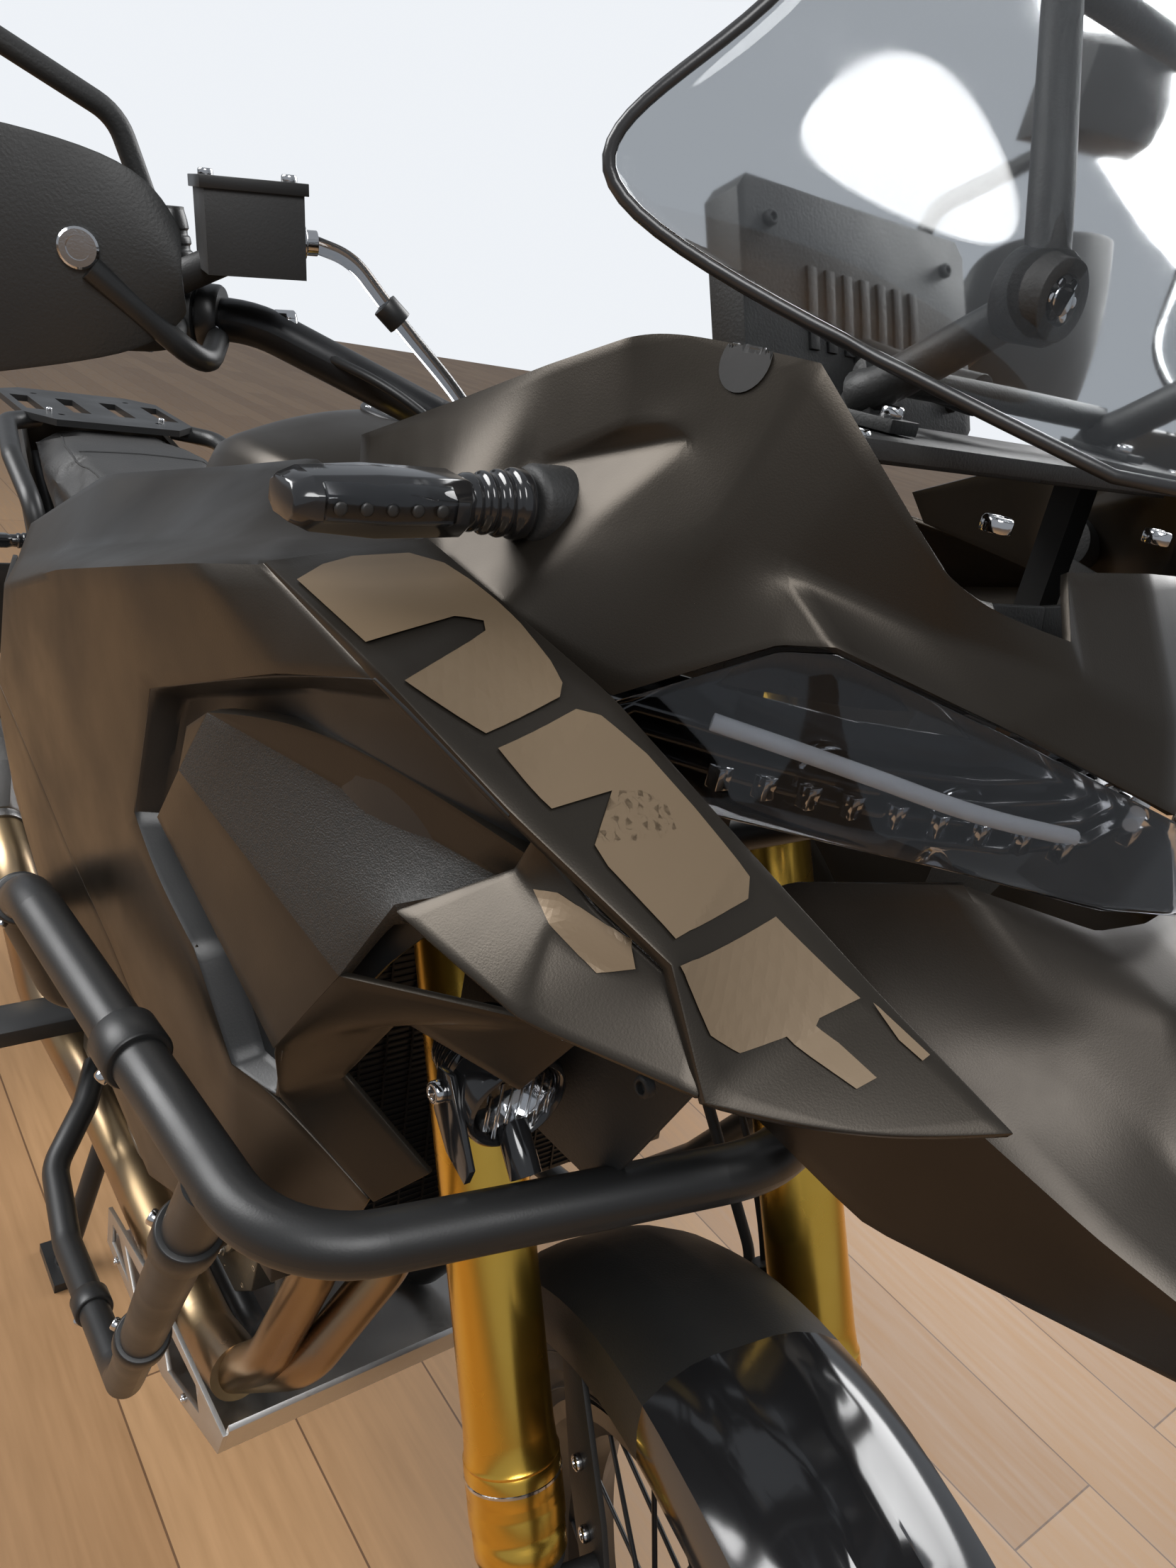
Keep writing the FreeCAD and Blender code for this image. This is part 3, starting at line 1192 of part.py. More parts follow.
stripCorners = {
    "rearTop": (112, 286, 878), "edge1": (154, 296, 899), "edge2": (305, 286, 841), "edge3": (410, 276, 793),
    "edge4": (490, 260, 753), "edge5": (514, 246, 736), "rib1": (130, 291, 866), "rib2": (225, 284, 808),
    "rib3": (330, 277, 772), "rib4": (390, 271, 748), "rib5": (462, 256, 726), "rib6": (492, 245, 720),
    "rearLow": (112, 278, 800), "low1": (136, 284, 815), "low2": (250, 275, 725), "low3": (374, 260, 667),
    "low4": (440, 250, 690),
}
stripFaces = [
    "rearTop edge1 rib1", "edge1 edge2 rib3 rib2 rib1", "edge2 edge3 rib4 rib3", "edge3 edge4 rib5 rib4",
    "edge4 edge5 rib6 rib5", "rearTop rib1 low1 rearLow", "rib1 rib2 low2 low1", "rib2 rib3 low2",
    "rib3 rib4 low3 low2",
    "rib4 rib5 low4 low3", "rib5 rib6 low4",
]
leftLower = cageWall(stripCorners, stripFaces, inwardWall)
leftLower = leftLower.fuse(rod(Vector(345, 176 + size("seatGap"), 700), Vector(345, 264, 700), 14))
piece("lower_shrouds", bothSides(leftLower))

noseCorners = {
    "rear1": (426, 200, 1118), "rear2": (490, 190, 1146), "top1": (535, 182, 1167), "top2": (568, 174, 1182),
    "top3": (580, 164, 1188), "top4": (631, 142, 1187), "fin1": (438, 205, 1101), "fin2": (522, 213, 1093),
    "fin3": (574, 208, 1083), "eye1": (610, 183, 1064), "eye2": (651, 150, 1097), "eye3": (666, 138, 1101),
    "eye4": (702, 72, 1080), "eye5": (736, 0, 1055), "crease1": (580, 188, 1115), "crease2": (622, 165, 1124),
    "crease3": (641, 145, 1119), "crease4": (680, 95, 1108), "crease5": (707, 45, 1099),
    "crease6": (723, 0, 1087),
    "vent1": (651, 129, 1164), "vent2": (675, 105, 1131), "vent3": (684, 88, 1120), "vent4": (699, 52, 1113),
    "crown1": (683, 42, 1134), "crown2": (692, 0, 1137), "dent1": (538, 186, 1129), "dent2": (580, 172, 1154),
    "dent3": (601, 163, 1155), "dent4": (602, 175, 1122),
}
noseFaces = [
    "rear1 rear2 fin2 fin1", "rear2 top1 dent1 fin2", "top1 top2 dent2 dent1", "top2 top3 top4 dent3 dent2",
    "dent3 top4 crease2 dent4", "dent4 crease2 crease1", "dent1 dent2 dent3 dent4 crease1",
    "dent1 crease1 fin3 fin2",
    "crease1 crease2 eye1 fin3", "crease2 crease3 eye2 eye1", "crease3 eye3 eye2",
    "crease3 crease4 eye4 eye3",
    "crease4 crease5 eye4", "crease5 crease6 eye5 eye4", "top4 vent1 crease3 crease2",
    "vent1 vent2 crease4 crease3",
    "crease4 vent2 vent3 vent4 crease5", "vent4 crown1 crease5", "crown1 crown2 crease6 crease5",
]
leftNose = cageWall(noseCorners, noseFaces, Vector(-0.6, -0.7, -0.5) * panelThick)
screenTray = sheetFromAbove(symmetricPlan([(566, 172), (580, 168), (646, 129)]), trayLow,
                            trayLow + 8 - size("seatGap"))
blinkerBoss = rod(Vector(556, 172, 1119), Vector(556, 197, 1119), 30)
upperFairing = fused([leftNose, mirrored(leftNose), screenTray, blinkerBoss, mirrored(blinkerBoss)])
upperFairing = upperFairing.cut(bothSides(leftFin))
piece("upper_fairing", upperFairing)

frontBlinker = blinker(Vector(556, 196, 1119),
                       Vector(-7, 94, -4)).cut(blinkerBoss.translated(acrossAxis * size("seatGap")))
rearBlinker = blinker(Vector(-930, 46 + size("seatGap"), 706), Vector(0, 92, 0))
piece("indicators",
      Part.makeCompound([frontBlinker, mirrored(frontBlinker), rearBlinker, mirrored(rearBlinker)]))

lampCorners = {
    "eye1": (611, 183, 1062), "eye2": (652, 150, 1095), "eye3": (667, 138, 1099), "eye4": (704, 72, 1078),
    "eye5": (738, 0, 1053), "low1": (620, 180, 1049), "low2": (654, 165, 1035), "low3": (690, 120, 1032),
    "low4": (706, 95, 1030), "low5": (745, 45, 1026), "low6": (754, 0, 1020),
}
lampFaces = ["eye1 eye2 low2 low1", "eye2 eye3 low3 low2", "eye3 eye4 low4 low3", "eye4 eye5 low5 low4",
             "eye5 low6 low5"]
leftLamp = cageWall(lampCorners, lampFaces, Vector(-size("headlightDepth"), 0, 0))
headlight = leftLamp.fuse(mirrored(leftLamp)).cut(upperFairing).cut(bothSides(leftFin))
piece("headlight", headlight)

beakSections = [
    (606, [(96, 1000), (110, 960), (86, 890), (60, 886)]),
    (722, [(84, 1000), (104, 958), (88, 876), (60, 884)]),
    (800, [(54, 984), (78, 946), (60, 884), (30, 880)]),
    (880, [(26, 952), (50, 930), (40, 896), (20, 892)]),
    (950, [(8, 916), (20, 908), (16, 900), (8, 898)]),
]
beak = crossLoft([(x, symmetric(outline)) for x, outline in beakSections])
beakPads = [rod(Vector(stayEnd.x + 9 + size("seatGap"), y, stayEnd.z), Vector(612, y, stayEnd.z),
                16) for y in (-66, 66)]
piece("beak", beak.multiFuse(beakPads))


def screenShape():
    # curved sheet: an arc at each height, lofted, the lower edge swept back into side lobes
    thick = size("screenThickness")
    levels = [
        # height, front x, half width, x of the side edge
        (1170, 722, 64, 700),
        (1190, 716, 118, 640),
        (1222, 702, 196, 556),
        (1250, 690, 192, 560),
        (1300, 664, 136, 592),
        (1360, 624, 118, 568),
        (1404, 588, 84, 562),
    ]
    sections = []
    for height, frontX, half, edgeX in levels:
        outer = []
        for step in range(-3, 4):
            share = step / 3
            outer.append(Vector(frontX - (frontX - edgeX) * share * share, half * share, height))
        inner = [point - Vector(thick, 0, 0) for point in outer]
        sections.append(outer + inner[::-1])
    return lofted(sections)


piece("windscreen", screenShape())


def screenBracket():
    shapes = []
    for side in (-1, 1):
        boss = Vector(662, side * 80, 1220)
        foot = Vector(600, side * 84, 1178.6)
        top = Vector(618, side * 60, 1318)
        shapes.append(rod(foot, boss, 16))
        shapes.append(block((596, side * 84 - 6, 1168), (626 - size("seatGap"), side * 84 + 6, 1180)))
        shapes.append(rod(boss, top, 14))
        shapes.append(rod(boss - Vector(8, 0, 0), boss + Vector(10, 0, 0), 30))
    shapes.append(rod(Vector(618, -60, 1318), Vector(618, 60, 1318), 12))
    shapes.append(rod(Vector(600, -84, 1186), Vector(600, 84, 1186), 12))
    return fused(shapes)


piece("screen_bracket", screenBracket())


def displayShape():
    body = Part.makeBox(24, 160, 104, Vector(0, -80, 0))
    body.rotate(zero, acrossAxis, -24)
    body.translate(Vector(522, 0, 1150))
    arm = rod(Vector(524, 0, 1190), Vector(593.7, 0, 1186), 18)
    return body.fuse(arm)


piece("instrument_display", displayShape())

fogCentre = Vector(598, 192, 888)


def fogLamp():
    housing = rod(fogCentre - Vector(26, 0, 0), fogCentre + Vector(20, 2, -2), 48)
    toBar = Vector(0.733, 0, -0.681)
    return housing.fuse(rod(fogCentre, fogCentre + toBar * 43, 14))


piece("fog_lamps", bothSides(fogLamp()))

# Swingarm, shock, rear brake and rear mudguard

armInner = size("armOffset") - size("armWidth") / 2
armOuter = size("armOffset") + size("armWidth") / 2
armHalf = size("armHeight") / 2


def swingarmShape():
    shapes = []
    outline = [(pivot.x + armHalf, pivot.z - 14), (pivot.x + armHalf, pivot.z + 14),
               (pivot.x, pivot.z + armHalf),
               (-470, 416), (rearAxle.x + 10, rearAxle.z + 27), (rearAxle.x - 52, rearAxle.z + 22),
               (rearAxle.x - 52, rearAxle.z - 22), (rearAxle.x + 10, rearAxle.z - 27), (-470, 352),
               (pivot.x, pivot.z - armHalf)]
    for side in (-1, 1):
        shapes.append(plate(outline, *sorted((side * armInner, side * armOuter))))
        shapes.append(rod(rearAxle + acrossAxis * side * (armInner - 13),
                          rearAxle + acrossAxis * side * armInner, 30))
    shapes.append(rod(pivot - acrossAxis * (armOuter + 6), pivot + acrossAxis * (armOuter + 6), 18))
    shapes.append(rod(rearAxle - acrossAxis * (armOuter + 12), rearAxle + acrossAxis * (armOuter + 12),
                      size("axleDiameter")))
    shapes.append(block((-350, -armInner, 398), (-300, armInner, 436)))
    shapes.append(plate([(-335, 430), (-305, 430), (-300, 470), (-322, 470)], -17, 17))
    return fused(shapes)


piece("swingarm", swingarmShape())

shockLow = Vector(-311, 0, 470 + size("seatGap"))
shockHigh = Vector(-118, 0, 702)


def shockShape():
    run = (shockHigh - shockLow).normalize()
    length = (shockHigh - shockLow).Length
    low = shockLow + run * 14
    shapes = [rod(low, shockHigh, 30), rod(shockHigh - acrossAxis * 18, shockHigh + acrossAxis * 18, 46)]
    shapes.append(block((shockLow.x - 11, -15, shockLow.z), (shockLow.x + 9, 15, shockLow.z + 20)))
    coils = 6
    for index in range(coils):
        share = 0.3 + 0.55 * index / coils
        shapes.append(rod(shockLow + run * (length * share), shockLow + run * (length * share + 9), 64))
    shapes.append(rod(shockLow + run * (length * 0.24), shockLow + run * (length * 0.28), 68))
    eyeBore = rod(shockHigh - acrossAxis * 30, shockHigh + acrossAxis * 30, 30 + 2 * size("seatGap"))
    return fused(shapes).cut(eyeBore)


piece("rear_shock", shockShape())

rearCaliper = caliper(zero, 1, size("rearDiscOffset"), size("rearDiscDiameter") / 2, 44, 38, 78,
                      size("rearDiscOffset") - 15, armInner - size("seatGap"))
rearCaliper = mirrored(rearCaliper)
rearCaliper.translate(rearAxle)
piece("rear_caliper", rearCaliper)


def rearHugger():
    radius = size("rearTyreRadius") + 12
    half = size("rearTyreWidth") / 2 + 6
    section = [(-half, radius - 56), (-half, radius - 16), (-half + 26, radius + 4), (half - 26, radius + 4),
               (half, radius - 16), (half, radius - 56), (half - 4, radius - 56), (half - 4, radius - 18),
               (half - 28, radius), (-half + 28, radius), (-half + 4, radius - 18), (-half + 4, radius - 56)]
    corners = [Vector(rearAxle.x, y, rearAxle.z + r) for y, r in section]
    face = Part.Face(Part.makePolygon(corners + corners[:1]))
    face.rotate(rearAxle, acrossAxis, -8)
    arch = face.revolve(rearAxle, acrossAxis, 78)
    struts = []
    for side in (-1, 1):
        knee = Vector(-480, side * (armInner + 9), 486)
        struts.append(rod(Vector(-480, side * (half - 1), 486), knee, 12))
        struts.append(rod(knee + upAxis * 5, Vector(-480, side * (armInner + 9), 415.9), 12))
    return arch.multiFuse(struts)


hugger = rearHugger()
hugger = hugger.cut(Part.makeCompound([block((-800, -200, 300), (-300, 200, 414))]))
piece("rear_hugger", hugger)

# Footpegs, pedals and stands


def footpegs():
    solids = []
    pegX, pegZ = -150, 405
    for side, arm in ((-1, [(-170, 393), (-140, 393), (-140, 417), (-170, 417)]),
                      (1, [(-172, 320), (-142, 320), (-142, 344), (-172, 344)])):
        shapes = [plate(arm, *sorted((side * (plateOuter + size("seatGap")), side * 152)))]
        shapes.append(plate([(-172, 320 if side > 0 else 342), (-140, 320 if side > 0 else 342), (-140, 422),
                             (-166, 422)],
                            *sorted((side * 142, side * 154))))
        shapes.append(block((pegX - 24, min(side * 154, side * 248), pegZ - 6),
                            (pegX + 24, max(side * 154, side * 248), pegZ + 12)))
        solids.append(fused(shapes))
    return Part.makeCompound(solids)


piece("footpegs", footpegs())


legTop = 92
legFoot = size("standTrack") / 2


def centreStand():
    # two splayed legs on one pivot line, a brace between them and flat feet
    shapes = []
    foot = Vector(standPivot.x + size("standFootLead"), legFoot, 8)
    for side in (-1, 1):
        top = Vector(standPivot.x, side * legTop, standPivot.z)
        low = sided(foot, side)
        shapes.append(rod(top, low, 24))
        shapes.append(rod(Vector(top.x, side * (plateInner - 4), top.z),
                          Vector(top.x, side * (legTop + 13), top.z), 16))
        shapes.append(rod(Vector(top.x, side * (plateOuter + 1), top.z),
                          Vector(top.x, side * (legTop + 13), top.z), 34))
        shapes.append(block((foot.x - 36, low.y - 20, 0), (foot.x + 36, low.y + 20, 12)))
    share = 0.45
    brace = standPivot + (foot - Vector(standPivot.x, legTop, standPivot.z)) * share
    braceY = legTop + (legFoot - legTop) * share
    shapes.append(rod(Vector(brace.x, -braceY, brace.z), Vector(brace.x, braceY, brace.z), 20))
    return fused(shapes)


piece("centre_stand", centreStand())

sideLength = 262


def sideStand():
    end = sidePivot + sideFolded * sideLength
    leg = rod(sidePivot, end, 22)
    boss = rod(sidePivot - sideAxis * sideBossHalf, sidePivot + sideAxis * sideBossHalf, 34)
    pad = Part.makeCylinder(26, 7, end, sideFolded + Vector(0.0, 0.55, 0.0))
    bore = rod(sidePivot - sideAxis * 30, sidePivot + sideAxis * 30, sidePinDiameter + 2 * size("bearingGap"))
    return fused([leg, boss, pad]).cut(bore)


piece("side_stand", sideStand())

# Check and export

doc.recompute()
faults = []
for thing in doc.Objects:
    if "Invalid" in thing.State or "Error" in thing.State:
        faults.append(f"{thing.Label} state {thing.State}")
for feature in pieces:
    shape = feature.Shape
    if shape.isNull() or not shape.isValid() or not shape.Solids:
        faults.append(f"{feature.Label} has no valid solid")
if faults:
    raise RuntimeError("; ".join(faults))
for feature in pieces:
    feature.Shape.exportStep(f"parts/{feature.Label}.step")
print(len(pieces), "pieces written")
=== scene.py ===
from math import sin, cos, pi, radians, asin, atan2
import bpy
import bmesh
from mathutils import Vector, Matrix, Euler
from mathutils.bvhtree import BVHTree


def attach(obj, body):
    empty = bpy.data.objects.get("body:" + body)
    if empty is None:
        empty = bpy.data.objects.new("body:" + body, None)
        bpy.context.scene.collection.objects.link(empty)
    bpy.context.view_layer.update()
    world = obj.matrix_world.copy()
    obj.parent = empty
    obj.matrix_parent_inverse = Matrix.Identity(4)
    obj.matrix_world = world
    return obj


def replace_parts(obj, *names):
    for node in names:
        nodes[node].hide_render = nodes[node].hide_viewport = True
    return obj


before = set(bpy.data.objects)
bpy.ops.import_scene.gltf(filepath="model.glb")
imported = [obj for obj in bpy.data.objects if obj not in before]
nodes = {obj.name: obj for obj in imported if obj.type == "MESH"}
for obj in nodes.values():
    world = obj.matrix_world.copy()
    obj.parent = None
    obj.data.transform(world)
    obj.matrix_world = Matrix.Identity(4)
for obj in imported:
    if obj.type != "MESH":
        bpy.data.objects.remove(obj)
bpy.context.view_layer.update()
print("frame loaded", len(nodes), "nodes")

scene = bpy.context.scene

# Materials


def startMaterial(name):
    material = bpy.data.materials.new(name)
    material.use_nodes = True
    tree = material.node_tree
    shader = tree.nodes["Principled BSDF"]
    return material, tree, shader


def noiseOn(tree, scale, detail=4.0, stretch=(1, 1, 1)):
    coords = tree.nodes.new("ShaderNodeTexCoord")
    mapping = tree.nodes.new("ShaderNodeMapping")
    mapping.inputs["Scale"].default_value = stretch
    noise = tree.nodes.new("ShaderNodeTexNoise")
    noise.inputs["Scale"].default_value = scale
    noise.inputs["Detail"].default_value = detail
    tree.links.new(coords.outputs["Object"], mapping.inputs["Vector"])
    tree.links.new(mapping.outputs["Vector"], noise.inputs["Vector"])
    return noise


def ramped(tree, value, low, high, fromLow=0.3, fromHigh=0.7):
    ranged = tree.nodes.new("ShaderNodeMapRange")
    ranged.inputs["From Min"].default_value = fromLow
    ranged.inputs["From Max"].default_value = fromHigh
    ranged.inputs["To Min"].default_value = low
    ranged.inputs["To Max"].default_value = high
    tree.links.new(value, ranged.inputs["Value"])
    return ranged.outputs["Result"]


def mixedColour(tree, factor, first, second):
    mix = tree.nodes.new("ShaderNodeMix")
    mix.data_type = "RGBA"
    mix.inputs[6].default_value = (*first, 1)
    mix.inputs[7].default_value = (*second, 1)
    tree.links.new(factor, mix.inputs[0])
    return mix.outputs[2]


def bumped(tree, shader, heights):
    # heights: (output, strength, distance) from the coarsest to the finest
    last = None
    for height, strength, distance in heights:
        bump = tree.nodes.new("ShaderNodeBump")
        bump.inputs["Strength"].default_value = strength
        bump.inputs["Distance"].default_value = distance
        tree.links.new(height, bump.inputs["Height"])
        if last:
            tree.links.new(last, bump.inputs["Normal"])
        last = bump.outputs["Normal"]
    tree.links.new(last, shader.inputs["Normal"])


def coated(name, colour, otherColour, roughness, spread=0.08, metallic=0.0, grain=900.0, bump=0.06,
           coat=0.0,
           patch=14.0, stretch=(1, 1, 1)):
    # paint, anodised metal or moulded plastic: soft colour drift, uneven gloss and a fine grain
    material, tree, shader = startMaterial(name)
    drift = noiseOn(tree, patch)
    fine = noiseOn(tree, grain, 2.0, stretch)
    factor = ramped(tree, drift.outputs["Fac"], 0, 1)
    tree.links.new(mixedColour(tree, factor, colour, otherColour), shader.inputs["Base Color"])
    tree.links.new(ramped(tree, drift.outputs["Fac"], roughness + spread, roughness - spread),
                   shader.inputs["Roughness"])
    shader.inputs["Metallic"].default_value = metallic
    shader.inputs["Coat Weight"].default_value = coat
    shader.inputs["Coat Roughness"].default_value = 0.12
    bumped(tree, shader, [(fine.outputs["Fac"], bump, 0.0006)])
    return material


def brushed(name, colour, otherColour, roughness, stretch, scale=220.0):
    # metal with fine parallel scratches
    material, tree, shader = startMaterial(name)
    drift = noiseOn(tree, 9.0)
    lines = noiseOn(tree, scale, 3.0, stretch)
    tree.links.new(mixedColour(tree, ramped(tree, drift.outputs["Fac"], 0, 1), colour, otherColour),
                   shader.inputs["Base Color"])
    tree.links.new(ramped(tree, lines.outputs["Fac"], roughness - 0.08, roughness + 0.1),
                   shader.inputs["Roughness"])
    shader.inputs["Metallic"].default_value = 1.0
    bumped(tree, shader, [(lines.outputs["Fac"], 0.12, 0.0004)])
    return material


def leather(name, colour, otherColour):
    material, tree, shader = startMaterial(name)
    coords = tree.nodes.new("ShaderNodeTexCoord")
    cells = tree.nodes.new("ShaderNodeTexVoronoi")
    cells.inputs["Scale"].default_value = 420.0
    tree.links.new(coords.outputs["Object"], cells.inputs["Vector"])
    drift = noiseOn(tree, 12.0)
    fine = noiseOn(tree, 1500.0, 2.0)
    tree.links.new(mixedColour(tree, ramped(tree, drift.outputs["Fac"], 0, 1), colour, otherColour),
                   shader.inputs["Base Color"])
    tree.links.new(ramped(tree, cells.outputs["Distance"], 0.62, 0.5, 0, 1), shader.inputs["Roughness"])
    bumped(tree, shader, [(cells.outputs["Distance"], 0.35, 0.0006), (fine.outputs["Fac"], 0.2, 0.0003)])
    return material


def clear(name, colour, roughness, alphaLike=0.0, ior=1.49):
    # see-through plastic or glass
    material, tree, shader = startMaterial(name)
    haze = noiseOn(tree, 40.0)
    tree.links.new(ramped(tree, haze.outputs["Fac"], roughness, roughness + 0.05),
                   shader.inputs["Roughness"])
    shader.inputs["Base Color"].default_value = (*colour, 1)
    shader.inputs["Transmission Weight"].default_value = 1.0 - alphaLike
    shader.inputs["IOR"].default_value = ior
    return material


def glowing(name, colour, strength):
    material, tree, shader = startMaterial(name)
    drift = noiseOn(tree, 60.0)
    tree.links.new(mixedColour(tree, drift.outputs["Fac"], colour, [c * 0.92 for c in colour]),
                   shader.inputs["Emission Color"])
    shader.inputs["Base Color"].default_value = (*colour, 1)
    shader.inputs["Emission Strength"].default_value = strength
    return material


fairingPaint = coated("fairing paint", (0.036, 0.030, 0.024), (0.043, 0.036, 0.028), 0.35, metallic=0.72,
                      grain=1400)
beakPaint = coated("beak paint", (0.037, 0.031, 0.025), (0.044, 0.037, 0.030), 0.37, metallic=0.68,
                   grain=1400)
grainedBlack = coated("grained black plastic", (0.016, 0.016, 0.016), (0.022, 0.022, 0.021), 0.55,
                      grain=700, bump=0.3)
satinBlack = coated("satin black paint", (0.011, 0.011, 0.011), (0.016, 0.016, 0.016), 0.4)
glossBlack = coated("gloss black plastic", (0.012, 0.012, 0.013), (0.018, 0.018, 0.019), 0.12, spread=0.04,
                    coat=0.6,
                    bump=0.01)
castBronze = coated("cast bronze grey", (0.105, 0.092, 0.074), (0.135, 0.118, 0.094), 0.46, metallic=0.75,
                    grain=380,
                    bump=0.4)
coverBronze = coated("engine cover paint", (0.125, 0.108, 0.084), (0.150, 0.130, 0.102), 0.4, metallic=0.6,
                     grain=520,
                     bump=0.22)
goldAnodised = coated("gold anodised", (0.78, 0.47, 0.07), (0.84, 0.53, 0.10), 0.25, metallic=1.0,
                      grain=1200, bump=0.03)
polishedSteel = coated("polished steel", (0.70, 0.70, 0.71), (0.62, 0.62, 0.63), 0.12, spread=0.05,
                       metallic=1.0, bump=0.02)
brushedSteel = brushed("brushed steel", (0.46, 0.45, 0.44), (0.36, 0.35, 0.34), 0.34, (1, 12, 12))
discSteel = brushed("disc steel", (0.50, 0.49, 0.48), (0.42, 0.41, 0.40), 0.3, (6, 1, 6), 160)
brushedAluminium = brushed("brushed aluminium", (0.62, 0.61, 0.59), (0.52, 0.51, 0.50), 0.38, (14, 1, 14))
blackAluminium = coated("black aluminium", (0.030, 0.030, 0.031), (0.042, 0.042, 0.043), 0.34, metallic=0.7)
heatTinted = coated("heat tinted header", (0.42, 0.30, 0.16), (0.30, 0.22, 0.16), 0.32, metallic=1.0,
                    patch=9, bump=0.05)
tyreRubber = coated("tyre rubber", (0.022, 0.022, 0.022), (0.034, 0.033, 0.032), 0.72, grain=600, bump=0.3)
softRubber = coated("soft rubber", (0.020, 0.020, 0.020), (0.027, 0.027, 0.027), 0.62, grain=800, bump=0.2)
seatLeather = leather("seat leather", (0.024, 0.024, 0.024), (0.034, 0.033, 0.032))
screenClear = clear("clear screen", (0.93, 0.95, 0.96), 0.02)
smokedLens = clear("smoked lens", (0.50, 0.51, 0.53), 0.02)
redLens = clear("red lens", (0.55, 0.015, 0.012), 0.08, 0.45)
chainSteel = coated("chain steel", (0.20, 0.18, 0.15), (0.28, 0.26, 0.22), 0.4, metallic=1.0, grain=500,
                    bump=0.15)
markTan = coated("stripe paint", (0.170, 0.120, 0.072), (0.190, 0.136, 0.084), 0.4, spread=0.05,
                 metallic=0.3, bump=0.02)
# dark paint laid where the nose and the indicators have holes: painted shade standing in for the holes
paintedHoleShade = coated("dark stripe paint", (0.016, 0.015, 0.014), (0.022, 0.021, 0.020), 0.45, bump=0.02)
speckled = coated("speckled black plastic", (0.008, 0.008, 0.007), (0.018, 0.016, 0.014), 0.56, grain=1500,
                  bump=0.6,
                  patch=700)
chrome = coated("chrome", (0.80, 0.80, 0.81), (0.74, 0.74, 0.75), 0.06, spread=0.03, metallic=1.0,
                bump=0.01)
lampWhite = glowing("running light", (0.80, 0.82, 0.85), 0.08)
amberLens = clear("amber lens", (0.75, 0.30, 0.05), 0.05, 0.3)
clearLens = clear("clear lens", (0.95, 0.96, 0.97), 0.01)
screenEdge = coated("screen edge", (0.020, 0.020, 0.021), (0.028, 0.028, 0.029), 0.3)
print("materials made")

dress = {
    "frame": satinBlack, "engine": castBronze, "engine_covers": coverBronze, "radiator": blackAluminium,
    "exhaust_headers": heatTinted, "muffler": brushedSteel, "skid_plate": brushedAluminium,
    "crash_bars": satinBlack, "fuel_tank": fairingPaint, "side_shrouds": fairingPaint,
    "wing_fins": grainedBlack, "lower_shrouds": grainedBlack, "upper_fairing": fairingPaint,
    "headlight": smokedLens, "beak": beakPaint, "windscreen": screenClear, "screen_bracket": grainedBlack,
    "instrument_display": glossBlack, "indicators": glossBlack, "fog_lamps": glossBlack,
    "rider_seat": seatLeather, "pillion_seat": seatLeather, "tail_fairing": fairingPaint,
    "rear_rack": satinBlack, "plate_holder": grainedBlack, "tail_light": redLens,
    "swingarm": blackAluminium, "rear_shock": satinBlack, "chain": chainSteel, "footpegs": satinBlack,
    "rear_caliper": satinBlack, "rear_hugger": grainedBlack, "triple_clamps": blackAluminium,
    "fork_outers": goldAnodised, "fork_inners": polishedSteel, "front_fender": glossBlack,
    "fork_guards": grainedBlack, "front_calipers": satinBlack, "handlebar": blackAluminium,
    "hand_guards": grainedBlack, "bar_controls": softRubber, "mirrors": grainedBlack,
    "brake_hoses": softRubber, "front_tyre": tyreRubber, "rear_tyre": tyreRubber,
    "front_rim": blackAluminium, "rear_rim": blackAluminium, "front_discs": discSteel,
    "rear_disc": discSteel, "rear_sprocket": brushedSteel, "centre_stand": satinBlack,
    "side_stand": satinBlack,
}


def paint(thing, material):
    thing.data.materials.clear()
    thing.data.materials.append(material)


for nodeName, node in nodes.items():
    paint(node, dress[nodeName])
print("nodes dressed")

# Bodywork panels, drawn as coarse cages in millimetres for one side and mirrored to the other


def meshObject(name, mesh):
    data = bpy.data.meshes.new(name)
    mesh.to_mesh(data)
    mesh.free()
    thing = bpy.data.objects.new(name, data)
    scene.collection.objects.link(thing)
    return thing


def smoothed(thing, angle=38):
    for polygon in thing.data.polygons:
        polygon.use_smooth = True
    thing.data.set_sharp_from_angle(angle=radians(angle))


def finished(thing, name, material, body):
    # evaluates the modifiers and keeps the result as a plain mesh that rides on its body
    depsgraph = bpy.context.evaluated_depsgraph_get()
    mesh = bpy.data.meshes.new_from_object(thing.evaluated_get(depsgraph))
    piece = bpy.data.objects.new(name, mesh)
    scene.collection.objects.link(piece)
    bpy.data.objects.remove(thing, do_unlink=True)
    for each in material if isinstance(material, (list, tuple)) else [material]:
        piece.data.materials.append(each)
    smoothed(piece)
    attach(piece, body)
    return piece


